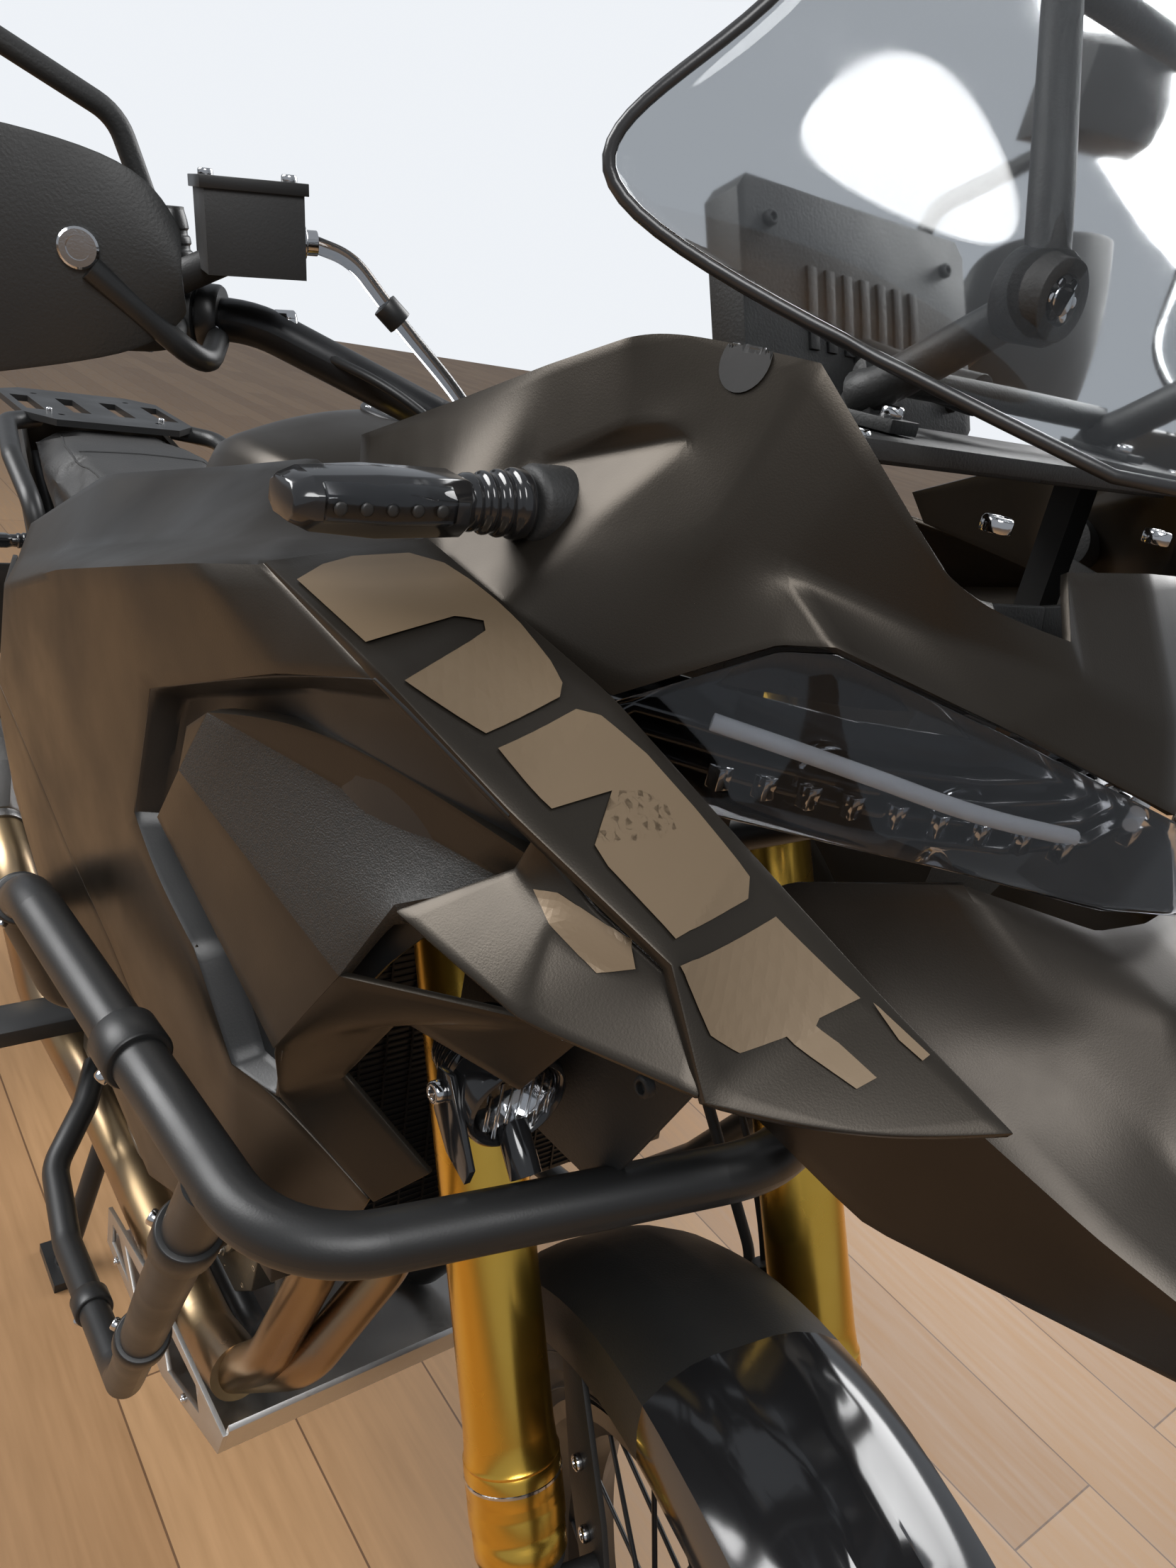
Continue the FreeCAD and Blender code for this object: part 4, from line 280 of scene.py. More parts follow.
def cageFaces(cage, mirrorIt=True):
    mesh = bmesh.new()
    for side in ((1, -1) if mirrorIt else (1,)):
        corners = {key: mesh.verts.new((x / 1000, side * y / 1000, z / 1000))
                   for key, (x, y, z) in cage["points"].items()}
        for index, line in enumerate(cage["faces"]):
            face = mesh.faces.new([corners[key] for key in line.split()])
            face.material_index = 1 if index in cage.get("otherFaces", ()) else 0
    bmesh.ops.delete(mesh, geom=[vert for vert in mesh.verts if not vert.link_faces], context="VERTS")
    bmesh.ops.remove_doubles(mesh, verts=mesh.verts[:], dist=0.00005)
    bmesh.ops.recalc_face_normals(mesh, faces=mesh.faces[:])
    inside = Vector(cage.get("inside", (450, 0, 850))) / 1000
    for side in (1, -1):
        half = [face for face in mesh.faces if face.calc_center_median().y * side > 0]
        facing = sum(face.normal.dot(face.calc_center_median() - Vector((face.calc_center_median().x,
                                                                         inside.y, inside.z)))
                     * face.calc_area() for face in half)
        if facing < 0:
            bmesh.ops.reverse_faces(mesh, faces=half)
    return mesh


def creased(mesh, sharpFrom, edgeCrease, cornerTurn=32):
    edgeLayer = mesh.edges.layers.float.new("crease_edge")
    cornerLayer = mesh.verts.layers.float.new("crease_vert")
    for edge in mesh.edges:
        if len(edge.link_faces) == 2 and edge.calc_face_angle(0) > radians(sharpFrom):
            edge[edgeLayer] = edgeCrease
    for vert in mesh.verts:
        rim = [edge for edge in vert.link_edges if edge.is_boundary]
        if len(rim) == 2:
            ways = [(edge.other_vert(vert).co - vert.co).normalized() for edge in rim]
            if ways[0].angle(ways[1]) < radians(180 - cornerTurn):
                vert[cornerLayer] = 1.0


def cageObject(name, cage):
    mesh = cageFaces(cage)
    creased(mesh, cage.get("sharpFrom", 7), cage.get("crease", 0.94))
    thing = meshObject(name + "Cage", mesh)
    subdivision = thing.modifiers.new("subdivision", "SUBSURF")
    subdivision.levels = subdivision.render_levels = cage.get("levels", 3)
    return thing


def thickened(thing, thickness, bevelWidth, offset=-1.0):
    wall = thing.modifiers.new("wall", "SOLIDIFY")
    wall.thickness = thickness / 1000
    wall.offset = offset
    wall.use_even_offset = True
    rim = thing.modifiers.new("rim", "BEVEL")
    rim.width = bevelWidth / 1000
    rim.segments = 2
    rim.limit_method = "ANGLE"
    rim.angle_limit = radians(60)


def caged(name, cage, body, material):
    thing = cageObject(name, cage)
    thickened(thing, cage["thickness"], cage["rim"])
    return finished(thing, name, material, body)


shroudPanel = {
    "thickness": 3.0,
    "rim": 0.8,
    "points": {
        "lipA": (150, 276, 1003), "lipB": (215, 250, 1050), "lipC": (331, 222, 1082),
        "lipD": (400, 208, 1102), "finIn": (530, 222, 1096), "mA": (165, 287, 984), "mB": (262, 276, 1020),
        "mC": (345, 264, 1046), "mD": (442, 262, 1074), "mE": (500, 262, 1089), "sA": (186, 299, 973),
        "sB": (311, 300, 1021), "sC": (405, 300, 1050), "sD": (490, 295, 1076), "finOut": (533, 285, 1088),
        "e0": (262, 299, 974), "e1": (359, 297, 989), "r2B": (350, 297, 958), "r2C": (418, 290, 936),
        "rTL": (440, 292, 1006), "rimTop": (556, 287, 1056), "finB": (608, 278, 1073),
        "rimB": (445, 288, 917), "rimC": (482, 282, 899), "r2E": (510, 272, 853), "rearA": (120, 280, 975),
        "rearB": (112, 286, 880), "r3A": (154, 296, 901), "r3B": (240, 291, 872), "r3C": (305, 286, 843),
        "r3x": (363, 281, 826), "r3y": (410, 276, 795), "r3z": (490, 260, 755), "g1": (536, 262, 852),
        "g2": (582, 236, 822), "g3": (556, 230, 772), "r3w": (514, 246, 738),
    },
    "faces": [
        "lipA lipB mB mA", "lipB lipC mC mB", "lipC lipD mD mC", "lipD finIn mE mD", "mA mB sB sA",
        "mB mC sC sB", "mC mD sD sC", "mD mE finOut sD", "mE finIn finOut", "sA sB e1 e0", "sB sC rTL e1",
        "sC sD rimTop rTL", "sD finOut finB rimTop", "sA e0 r2B", "e0 e1 r2B", "e1 rTL r2C r2B",
        "rearA sA r3A rearB", "sA r2B r3B r3A", "r2B r2C r3C r3B", "r2C rimB r3x r3C", "rimB rimC r3y r3x",
        "rimC r2E r3z r3y", "r2E g1 g3 r3z", "g1 g2 g3", "r3z g3 r3w",
    ],
}
cowlPanel = {
    "thickness": 3.0,
    "rim": 0.8,
    "points": {
        "wCrease": (594, 270, 953), "cowl": (671, 215, 966), "fogTop": (600, 245, 931),
        "wBot": (557, 275, 896), "g1": (540, 262, 854), "g2": (586, 236, 824), "fogA": (566, 246, 880),
        "cowl2": (700, 190, 972), "cowl3": (640, 214, 918), "g5": (604, 222, 850),
    },
    "faces": [
        "wCrease cowl fogTop wBot", "cowl cowl3 fogTop", "wBot fogTop fogA g1", "g1 fogA g5 g2",
    ],
}
wedgePanel = {
    "thickness": 6.0,
    "rim": 1.6,
    "crease": 1.0,
    "otherFaces": (1,),
    "points": {
        "wTLa": (475, 288, 1003), "wTLb": (497, 288, 1018), "wTop": (562, 270, 1040),
        "wR": (649, 238, 1027), "wR2": (642, 238, 1013), "wB": (612, 262, 992), "wCrease": (594, 270, 953),
        "wBot": (557, 275, 896), "wLeft": (444, 288, 946), "wLeft2": (474, 290, 983),
    },
    "faces": [
        "wTLb wTop wR wR2", "wTLb wR2 wB wCrease wLeft2", "wTLb wLeft2 wTLa", "wLeft2 wCrease wBot wLeft",
    ],
}
lowerStrips = {
    "thickness": 3.0,
    "rim": 0.8,
    "points": {
        "rearB": (112, 286, 880), "r3A": (154, 296, 901), "r3B": (240, 291, 872), "r3C": (305, 286, 843),
        "r3x": (363, 281, 826), "r3y": (410, 276, 795), "r3z": (490, 260, 755), "r3w": (514, 246, 738),
        "r4a": (130, 291, 868), "r4b": (200, 285, 817), "r4c": (250, 283, 803), "r4d": (330, 277, 772),
        "r4e": (390, 271, 748), "r4f": (462, 256, 726), "r4g": (492, 245, 720), "l1": (136, 284, 815),
        "l2": (250, 275, 725), "l3": (374, 260, 667), "l4": (440, 250, 690), "rearC": (112, 278, 800),
    },
    "faces": [
        "r3A r3B r4b r4a", "r3B r3C r4c r4b", "r3C r3x r4d r4c", "r3x r3y r4e r4d", "r3y r3z r4f r4e",
        "r3z r3w r4g r4f", "rearB r3A r4a", "rearB r4a l1 rearC", "r4a r4b l1", "r4b r4c r4d l2",
        "r4b l2 l1", "r4d r4e l3 l2", "r4e r4f l4 l3", "r4f r4g l4",
    ],
}
finStrip = {
    "thickness": 5.0,
    "rim": 1.4,
    "crease": 0.9,
    "points": {
        "rootIn": (526, 218, 1098), "rootOut": (533, 285, 1089), "in2": (574, 212, 1088),
        "in3": (629, 199, 1072), "in4": (686, 179, 1041), "in5": (735, 158, 1012), "tip": (786, 145, 991),
        "out2": (608, 278, 1077), "out3": (652, 251, 1046), "out4": (708, 224, 1019),
        "out5": (732, 222, 986), "out6": (762, 185, 983),
    },
    "faces": [
        "rootIn rootOut out2 in2", "in2 out2 out3 in3", "in3 out3 out4 in4", "in4 out4 out5 in5",
        "in5 out5 out6 tip",
    ],
}
finBlade = {
    "thickness": 6.0,
    "rim": 1.6,
    "crease": 0.9,
    "points": {
        "s0": (645, 240, 1021), "s1": (670, 242, 1013), "s2": (690, 232, 1004), "i0": (652, 240, 1036),
        "i1": (678, 230, 1022), "i2": (704, 219, 1012), "bA": (621, 268, 996), "bB": (681, 256, 990),
        "bC": (730, 222, 986), "j": (712, 212, 1008),
    },
    "faces": ["s0 s1 i1 i0", "s1 s2 i2 i1", "s0 bA bB s1", "s1 bB s2", "s2 bB bC j i2"],
}
nosePanel = {
    "thickness": 3.0,
    "rim": 0.8,
    "inside": (600, 0, 1090),
    "points": {
        "a0": (426, 200, 1118), "a1": (490, 190, 1146), "a2": (535, 182, 1167), "a3": (568, 174, 1182),
        "a4": (580, 164, 1188), "a5": (631, 142, 1187), "f00": (438, 205, 1101), "f1": (524, 213, 1093),
        "f2": (574, 210, 1083), "h0": (610, 183, 1064), "h1": (651, 150, 1097), "h2": (666, 138, 1101),
        "h25": (702, 72, 1080), "h3": (736, 0, 1055), "c0": (580, 188, 1115), "c1": (622, 165, 1124),
        "c2": (641, 145, 1119), "c3": (680, 95, 1108), "c4": (707, 45, 1099), "c5": (723, 0, 1087),
        "v2": (651, 129, 1164), "v3": (675, 105, 1131), "v4": (684, 88, 1120), "v5": (699, 52, 1113),
        "m1": (683, 42, 1134), "m3": (692, 0, 1137), "dA": (538, 186, 1129), "dC": (575, 175, 1152),
        "dD": (590, 168, 1160), "dE": (601, 163, 1155),
    },
    "faces": [
        "a0 a1 f1 f00", "a1 a2 dA f1", "a2 a3 dC dA", "a3 a4 a5 dD dC", "dD a5 c1 dE", "dE c1 c0",
        "dA dC dD dE", "dA dE c0", "dA c0 f2 f1", "c0 c1 h0 f2", "c1 c2 h1 h0", "c2 h2 h1",
        "c2 c3 h25 h2", "c3 c4 h25", "c4 c5 h3 h25", "a5 v2 c2 c1", "v2 v3 c3 c2", "v3 v4 v5 c4 c3",
        "v5 m1 c4", "m1 m3 c5 c4",
    ],
}
lampLens = {
    "thickness": 3.0,
    "rim": 0.8,
    "inside": (600, 0, 1040),
    "points": {
        "h0": (611, 183, 1062), "h1": (652, 150, 1095), "h2": (667, 138, 1099), "h25": (704, 72, 1078),
        "h3": (738, 0, 1053), "hl1": (620, 180, 1049), "hl2": (654, 165, 1035), "hl3": (690, 120, 1032),
        "hl4": (706, 95, 1030), "hl6": (745, 45, 1026), "hl7": (754, 0, 1020),
    },
    "faces": [
        "h0 h1 hl2 hl1", "h1 h2 hl3 hl2", "h2 h25 hl4 hl3", "h25 h3 hl6 hl4", "h3 hl7 hl6",
    ],
}
beakPanel = {
    "thickness": 3.0,
    "rim": 0.8,
    "inside": (600, 0, 920),
    "points": {
        "k0": (640, 118, 985), "k1": (656, 110, 1000), "k2": (710, 85, 1024), "k4": (738, 30, 1010),
        "kc": (742, 0, 1010), "k3": (754, 60, 984), "k5": (775, 30, 996), "kc2": (780, 0, 998),
        "k7": (800, 45, 955), "kc3": (865, 0, 955), "k8": (880, 26, 925), "kt": (956, 0, 905),
        "k9": (950, 12, 903), "o2": (722, 104, 958), "o3": (800, 84, 935), "o4": (880, 54, 912),
        "l1": (606, 112, 900), "l2": (722, 90, 873), "l3": (801, 66, 883), "l4": (880, 42, 893),
        "l5": (946, 14, 896),
    },
    "faces": [
        "k1 k2 k3 o2", "k0 k1 o2", "k2 k4 k5 k3", "k4 kc kc2 k5", "k3 k5 k7", "k5 kc2 kc3 k8 k7",
        "kc3 kt k9 k8", "k3 k7 o3 o2", "k7 k8 o4 o3", "k8 k9 o4", "k0 o2 l2 l1", "o2 o3 l3 l2",
        "o3 o4 l4 l3", "o4 k9 l5 l4",
    ],
}
recessPan = {
    "thickness": 2.0,
    "rim": 0.4,
    "crease": 0.9,
    "points": {
        "rTL": (440, 292, 1006), "rimTop": (556, 287, 1056), "finB": (608, 278, 1073),
        "out3": (652, 251, 1044), "r2C": (418, 290, 936), "rimB": (445, 288, 917), "rimC": (482, 282, 899),
        "r2E": (510, 272, 853), "g1": (536, 262, 852), "wBot": (557, 272, 896), "fTL": (442, 276, 1002),
        "fTop": (556, 270, 1050), "fFin": (606, 260, 1064), "fOut": (648, 232, 1028),
        "f2C": (424, 276, 936), "fB": (450, 272, 920), "fC": (486, 266, 902), "f2E": (514, 258, 858),
        "fg1": (538, 252, 858), "fBot": (560, 256, 898), "fCrease": (596, 252, 955),
    },
    "faces": [
        "rTL rimTop fTop fTL", "rimTop finB fFin fTop", "finB out3 fOut fFin", "r2C rTL fTL f2C",
        "rimB r2C f2C fB", "rimC rimB fB fC", "r2E rimC fC f2E", "g1 r2E f2E fg1", "wBot g1 fg1 fBot",
        "fTL fTop fCrease fB f2C", "fTop fFin fOut fCrease", "fB fCrease fBot fC", "fC fBot fg1 f2E",
    ],
}

shroudPiece = caged("side_shroud_skins", shroudPanel, "root", fairingPaint)
caged("side_shroud_cowls", cowlPanel, "root", fairingPaint)
caged("side_shroud_wedges", wedgePanel, "root", [fairingPaint, speckled])
caged("side_shroud_recesses", recessPan, "root", satinBlack)
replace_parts(shroudPiece, "side_shrouds")
stripPiece = caged("lower_shroud_strips", lowerStrips, "root", fairingPaint)
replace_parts(stripPiece, "lower_shrouds")
finPiece = caged("fin_strips", finStrip, "root", fairingPaint)
bladePiece = caged("fin_blades", finBlade, "root", fairingPaint)
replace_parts(finPiece, "wing_fins")
nosePiece = caged("nose_panels", nosePanel, "root", fairingPaint)
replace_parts(nosePiece, "upper_fairing")
lensPiece = caged("headlight_lens", lampLens, "root", smokedLens)
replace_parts(lensPiece, "headlight")
beakPiece = caged("beak_shell", beakPanel, "root", beakPaint)
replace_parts(beakPiece, "beak")
print("bodywork panels made")

# Shapes in millimetres: tubes, turned parts, plates and marks laid on a surface

rake = radians(27)
steerUp = Vector((-sin(rake), 0, cos(rake)))
steerFoot = Vector((0.865, 0, -0.00123))
steerTurn = (Matrix.Translation(steerFoot) @ Matrix.Rotation(radians(-15.5), 4, steerUp)
             @ Matrix.Translation(-steerFoot))
forkFrame = steerTurn @ Matrix.Translation(Vector((0.755, 0, 0.34627))) @ Matrix.Rotation(-rake, 4, "Y")
rearHub = Vector((-0.755, 0, 0.352))


def newFaces(mesh, rings, closedRings=True, closedAlong=False, caps=True, slot=0):
    # skins a row of rings of corners; the rings have the same count
    skin = [[mesh.verts.new(corner) for corner in ring] for ring in rings]
    count = len(skin[0])
    pairs = list(zip(skin, skin[1:])) + ([(skin[-1], skin[0])] if closedAlong else [])
    faces = []
    for first, second in pairs:
        for index in range(count if closedRings else count - 1):
            after = (index + 1) % count
            faces.append(mesh.faces.new((first[index], first[after], second[after], second[index])))
    if caps and closedRings and not closedAlong:
        faces.append(mesh.faces.new(skin[0][::-1]))
        faces.append(mesh.faces.new(skin[-1]))
    for face in faces:
        face.material_index = slot
    return skin


def roundedPath(points, radius, steps=6):
    # rounds each inner corner of a path
    points = [Vector(point) for point in points]
    path = [points[0]]
    for before, corner, after in zip(points, points[1:], points[2:]):
        back, ahead = (before - corner), (after - corner)
        reach = min(radius, back.length * 0.48, ahead.length * 0.48)
        start, end = corner + back.normalized() * reach, corner + ahead.normalized() * reach
        for step in range(steps + 1):
            t = step / steps
            path.append(start * (1 - t) ** 2 + corner * 2 * t * (1 - t) + end * t * t)
    path.append(points[-1])
    return path


def ringWay(side, other, k, sides):
    turn = 2 * pi * k / sides
    return side * cos(turn) + other * sin(turn)


def addTube(mesh, path, radius, sides=14, slot=0, closedAlong=False):
    # radius may be one number or one for each point of the path
    path = [Vector(point) / 1000 for point in path]
    radii = radius if isinstance(radius, (list, tuple)) else [radius] * len(path)
    side = None
    rings = []
    for index, point in enumerate(path):
        before = path[max(index - 1, 0)] if not closedAlong else path[index - 1]
        after = path[min(index + 1, len(path) - 1)] if not closedAlong else path[(index + 1) % len(path)]
        along = (after - before).normalized()
        if side is None:
            side = along.orthogonal().normalized()
        side = (side - along * side.dot(along)).normalized()
        other = along.cross(side)
        rings.append([point + ringWay(side, other, k, sides) * radii[index] / 1000 for k in range(sides)])
    return newFaces(mesh, rings, closedAlong=closedAlong, slot=slot)


def addTurned(mesh, base, axis, profile, sides=40, slot=0, caps=True):
    # profile: (distance along the axis, radius)
    base, axis = Vector(base) / 1000, Vector(axis).normalized()
    side = axis.orthogonal().normalized()
    other = axis.cross(side)
    rings = []
    for distance, radius in profile:
        centre = base + axis * distance / 1000
        rings.append([centre + ringWay(side, other, k, sides) * max(radius, 0.01) / 1000
                      for k in range(sides)])
    return newFaces(mesh, rings, caps=caps, slot=slot)


def addPrism(mesh, corners, depth, slot=0):
    # a flat outline pushed along a vector
    near = [Vector(corner) / 1000 for corner in corners]
    far = [corner + Vector(depth) / 1000 for corner in near]
    return newFaces(mesh, [near, far], slot=slot)


def addBolt(mesh, place, axis, size, slot=0, socket=True):
    # round head with a chamfer and a sunk round socket
    half, tall = size / 2, size * 0.5
    profile = [(0, half), (tall * 0.75, half), (tall, half * 0.86), (tall, half * 0.52)]
    if socket:
        profile += [(tall * 0.35, half * 0.5)]
    addTurned(mesh, place, axis, profile, 18, slot)


def made(name, mesh, materials, body, bevel=0.0, place=None, angle=38, levels=0):
    bmesh.ops.recalc_face_normals(mesh, faces=mesh.faces[:])
    if place is not None:
        bmesh.ops.transform(mesh, matrix=place, verts=mesh.verts[:])
    thing = meshObject(name + "Source", mesh)
    if levels:
        subdivision = thing.modifiers.new("subdivision", "SUBSURF")
        subdivision.levels = subdivision.render_levels = levels
    if bevel:
        rim = thing.modifiers.new("rim", "BEVEL")
        rim.width = bevel / 1000
        rim.segments = 2
        rim.limit_method = "ANGLE"
        rim.angle_limit = radians(40)
    piece = finished(thing, name, materials, body)
    smoothed(piece, angle)
    return piece


def addMirrored(mesh):
    # the other side of the machine
    copy = bmesh.ops.duplicate(mesh, geom=mesh.verts[:] + mesh.edges[:] + mesh.faces[:])["geom"]
    verts = [item for item in copy if isinstance(item, bmesh.types.BMVert)]
    bmesh.ops.scale(mesh, vec=(1, -1, 1), verts=verts)
    bmesh.ops.reverse_faces(mesh, faces=[item for item in copy if isinstance(item, bmesh.types.BMFace)])


def laidMark(mesh, outline, tree, way, lift=0.9, longest=3.0, slot=0):
    # an outline of points in space, cut fine and dropped along a way on to the surface below
    patch = bmesh.new()
    patch.faces.new([patch.verts.new(Vector(point) / 1000) for point in outline])
    bmesh.ops.triangulate(patch, faces=patch.faces[:])
    for cut in range(7):
        long = [edge for edge in patch.edges if edge.calc_length() > longest / 1000]
        if not long:
            break
        bmesh.ops.subdivide_edges(patch, edges=long, cuts=1)
        bmesh.ops.triangulate(patch, faces=patch.faces[:])
    way = Vector(way).normalized()
    corners = {}
    patch.verts.index_update()
    for vert in patch.verts:
        place, normal = tree.ray_cast(vert.co, way)[:2]
        if place is not None:
            if normal.dot(way) > 0:
                normal = -normal
            corners[vert.index] = mesh.verts.new(place + normal * lift / 1000)
    for face in patch.faces:
        ends = [corners.get(vert.index) for vert in face.verts]
        if None not in ends and mesh.faces.get(ends) is None:   # no face is laid twice on the same corners
            laid = mesh.faces.new(ends)
            laid.material_index = slot
            laid.normal_update()
            if laid.normal.dot(way) > 0:
                laid.normal_flip()
    patch.free()


def marksOn(name, targets, marks, material, body, mirrorIt=True):
    # marks: (index of the target, outline, way) on the right side of the machine
    trees = [BVHTree.FromObject(target, bpy.context.evaluated_depsgraph_get()) for target in targets]
    mesh = bmesh.new()
    for which, outline, way in marks:
        for side in ((1, -1) if mirrorIt else (1,)):
            laidMark(mesh, [(x, y * side, z) for x, y, z in outline], trees[which],
                     (way[0], way[1] * side, way[2]))
    piece = meshObject(name, mesh)
    paint(piece, material)
    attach(piece, body)
    return piece


# Painted blocks of the fins, as plan outlines of the right side

finBlocks = {
    "root": [(550, -280), (541, -267), (537, -254), (538, -232), (547, -222), (560, -218), (588, -213),
             (608, -212),
             (618, -213), (623, -217), (630, -249), (612, -270), (596, -238), (591, -229), (586, -227),
             (583, -237), (594, -275)],
    "bow": [(635, -247), (652, -240), (656, -238), (657, -216), (660, -206), (666, -200), (674, -201),
            (675, -208),
            (670, -230), (677, -229), (702, -219), (699, -188), (694, -184), (670, -191), (650, -198),
            (634, -207), (629, -214)],
    "claw": [(708, -221), (706, -181), (734, -165), (732, -180), (733, -182), (740, -178), (753, -173),
             (752, -180),
             (731, -192), (728, -208), (722, -216)],
    "sliver": [(737, -162), (739, -161), (748, -158), (757, -155), (757, -158), (749, -161)],
}
scoopBlock = [(670, -241, 1014), (687, -233, 1005), (695, -225, 1010), (690, -225, 1017), (664, -235, 1021),
              (657, -239, 1019)]
scoopWay = Vector((-0.65, 0.58, -0.5))   # from the outline to the blade
scoopReach = 40
markHeight = 1200   # the fin outlines start here and drop on to the fin
marksOn("fin_blocks", [finPiece], [(0, [(x, y, markHeight) for x, y in outline], (0, 0, -1))
                                   for outline in finBlocks.values()],
        markTan, "root")
# A dark disc laid on the nose where its hole is: painted shade in place of the hole.
holePlace, holeRadius = (606, -150, 1178), 9.0
holeReach = 30
fromAbove = (-0.35, 0.55, -0.76)
holeStart = Vector(holePlace) - Vector(fromAbove) * holeReach
holeAcross = Vector((0.91, 0.33, -0.18)) * holeRadius
holeUp = Vector((-0.15, 0.76, 0.62)) * holeRadius
holeOutline = [tuple(holeStart + holeAcross * cos(k * pi / 14) + holeUp * sin(k * pi / 14))
               for k in range(28)]
marksOn("nose_holes", [nosePiece], [(0, holeOutline, fromAbove)], paintedHoleShade, "root")
marksOn("scoop_blocks", [bladePiece], [(0, [tuple(Vector(point) - scoopWay * scoopReach)
                                            for point in scoopBlock], scoopWay)],
        markTan, "root")
print("fin blocks laid")

# Inside of the headlight: housing, running lights and lamps

lampInside = {
    "back": [(560, 160), (590, 168), (640, 130), (676, 95), (700, 50), (708, 0)],
    "heights": (1026, 1052),
    "runningPath": [(640, 150, 1068), (676, 112, 1062), (706, 70, 1052), (722, 22, 1044)],
    "projectors": [(655, 92, 1046), (688, 48, 1040)],
}


def lampInterior():
    mesh = bmesh.new()
    low, high = lampInside["heights"]
    for side in (1, -1):
        # shelf behind the lens, in steps
        for step in range(4):
            z = low + step * 7
            shift = step * 6
            corners = [(x - shift, side * y * 0.97, z) for x, y in lampInside["back"]]
            inner = [(x - 26 - shift, side * y * 0.9, z) for x, y in lampInside["back"]][::-1]
            addPrism(mesh, corners + inner, (0, 0, 3), 0)
        wall = [(x - 30, side * y * 0.9) for x, y in lampInside["back"]]
        for (x0, y0), (x1, y1) in zip(wall, wall[1:]):
            addPrism(mesh, [(x0, y0, low), (x1, y1, low), (x1, y1, high + 10), (x0, y0, high + 10)],
                     (-3, 0, 0), 0)
        path = [(x, side * y, z) for x, y, z in lampInside["runningPath"]]
        fine = roundedPath(path, 30, 8)
        addTube(mesh, [(x - 10, y, z - 8) for x, y, z in fine], 3.4, 10, 1)
        for x, y, z in lampInside["projectors"]:
            addTurned(mesh, (x - 26, side * y, z - 8), (1, side * 0.25, 0),
                      [(0, 12), (10, 15), (16, 15), (18, 13.5), (16, 12.5), (15, 12)], 32, 2)
            addTurned(mesh, (x - 14, side * y, z - 8), (1, side * 0.25, 0),
                      [(0, 12), (3, 11), (6, 8), (7.5, 3)], 32, 3)
        for k in range(9):
            t = k / 8
            x, y, z = [a + (b - a) * t for a, b in zip((648, 150, 1040), (722, 30, 1030))]
            addPrism(mesh, [(x - 14, side * y, z - 4), (x - 8, side * y, z - 4), (x - 8, side * y, z + 5),
                            (x - 14, side * y, z + 5)], (0, side * -7, 0), 2)
    return made("headlight_inside", mesh, [glossBlack, lampWhite, chrome, clearLens], "root", 0.6)


lampInterior()
print("headlight filled")

# Front fork: outer tubes with their rings, guards with stripes, fender, cables

forkLegX, forkLegY = -27.751, 105.0
forkProfile = [
    (222, 21), (222, 25.5), (225, 27.6), (238, 27.6), (239.5, 26.6), (243, 26.6), (244.5, 28.7),
    (256, 28.7), (258, 28.2), (260, 28.7), (262, 28.2), (264, 28.7), (279, 28.7), (281, 27.9), (283, 28.7),
    (285, 27.6), (300, 26.85), (846, 26.85), (848, 26), (849, 20.0), (854, 20.0), (857, 18.5), (857, 9),
    (854, 8.5), (854, 0.5),
]


def forkOuterPiece():
    mesh = bmesh.new()
    for side in (1, -1):
        addTurned(mesh, (forkLegX, side * forkLegY, 0), (0, 0, 1), forkProfile, 56, 0)
        for turn in range(6):
            angle = turn * pi / 3
            addTurned(mesh, (forkLegX + 14.5 * cos(angle), side * forkLegY + 14.5 * sin(angle), 855.5),
                      (0, 0, 1),
                      [(0, 1.8), (1.3, 1.8), (1.6, 1.2)], 10, 1)
    return made("fork_outer_tubes", mesh, [goldAnodised, blackAluminium], "steering", place=forkFrame)


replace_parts(forkOuterPiece(), "fork_outers")


def sealsAndStripes():
    mesh = bmesh.new()
    for side in (1, -1):
        leg = (forkLegX, side * forkLegY, 0)
        # dust seal at the lower end of the tube and a wire clip round the thick end
        addTurned(mesh, leg, (0, 0, 1), [(216, 20.8), (216, 24.5), (218, 25.6), (222, 25.6), (222, 20.8)],
                  48, 0)
        addTurned(mesh, leg, (0, 0, 1), [(270.5, 28.6), (271, 29.1), (272.5, 29.1), (273, 28.6)], 48, 1)
        for height in (606, 648, 804, 832):
            addBolt(mesh, (forkLegX - 34, side * (forkLegY - 6), height), (-0.35, side * 0.2, 0), 9, 1)
    # stripes round the front of each guard
    for side in (1, -1):
        for low, tall, lean in ((86, 16, 9), (112, 10, 9), (132, 22, 9), (168, 8, 9)):
            rows = []
            for step in range(15):
                angle = radians(-62 + step * 7.2) * side
                rise = lean * sin(angle) * side
                centre = Vector((forkLegX, side * forkLegY, 0))
                out = Vector((cos(angle), sin(angle), 0)) * 33.35
                rows.append([centre + out + Vector((0, 0, low + rise)),
                             centre + out + Vector((0, 0, low + tall + rise))])
            newFaces(mesh, [[corner / 1000 for corner in row] for row in rows], closedRings=False, slot=2)
    return made("fork_seals_and_stripes", mesh, [softRubber, polishedSteel, markTan], "steering",
                place=forkFrame)


sealsAndStripes()

fender = {
    "start": -38, "end": 96, "steps": 40,
    "half": [(-38, 60), (-10, 64), (20, 64), (55, 58), (80, 42), (96, 20)],
    "crown": 377.0, "wall": 2.6,
}


def between(table, value):
    for (x0, y0), (x1, y1) in zip(table, table[1:]):
        if value <= x1:
            return y0 + (y1 - y0) * (value - x0) / (x1 - x0)
    return table[-1][1]


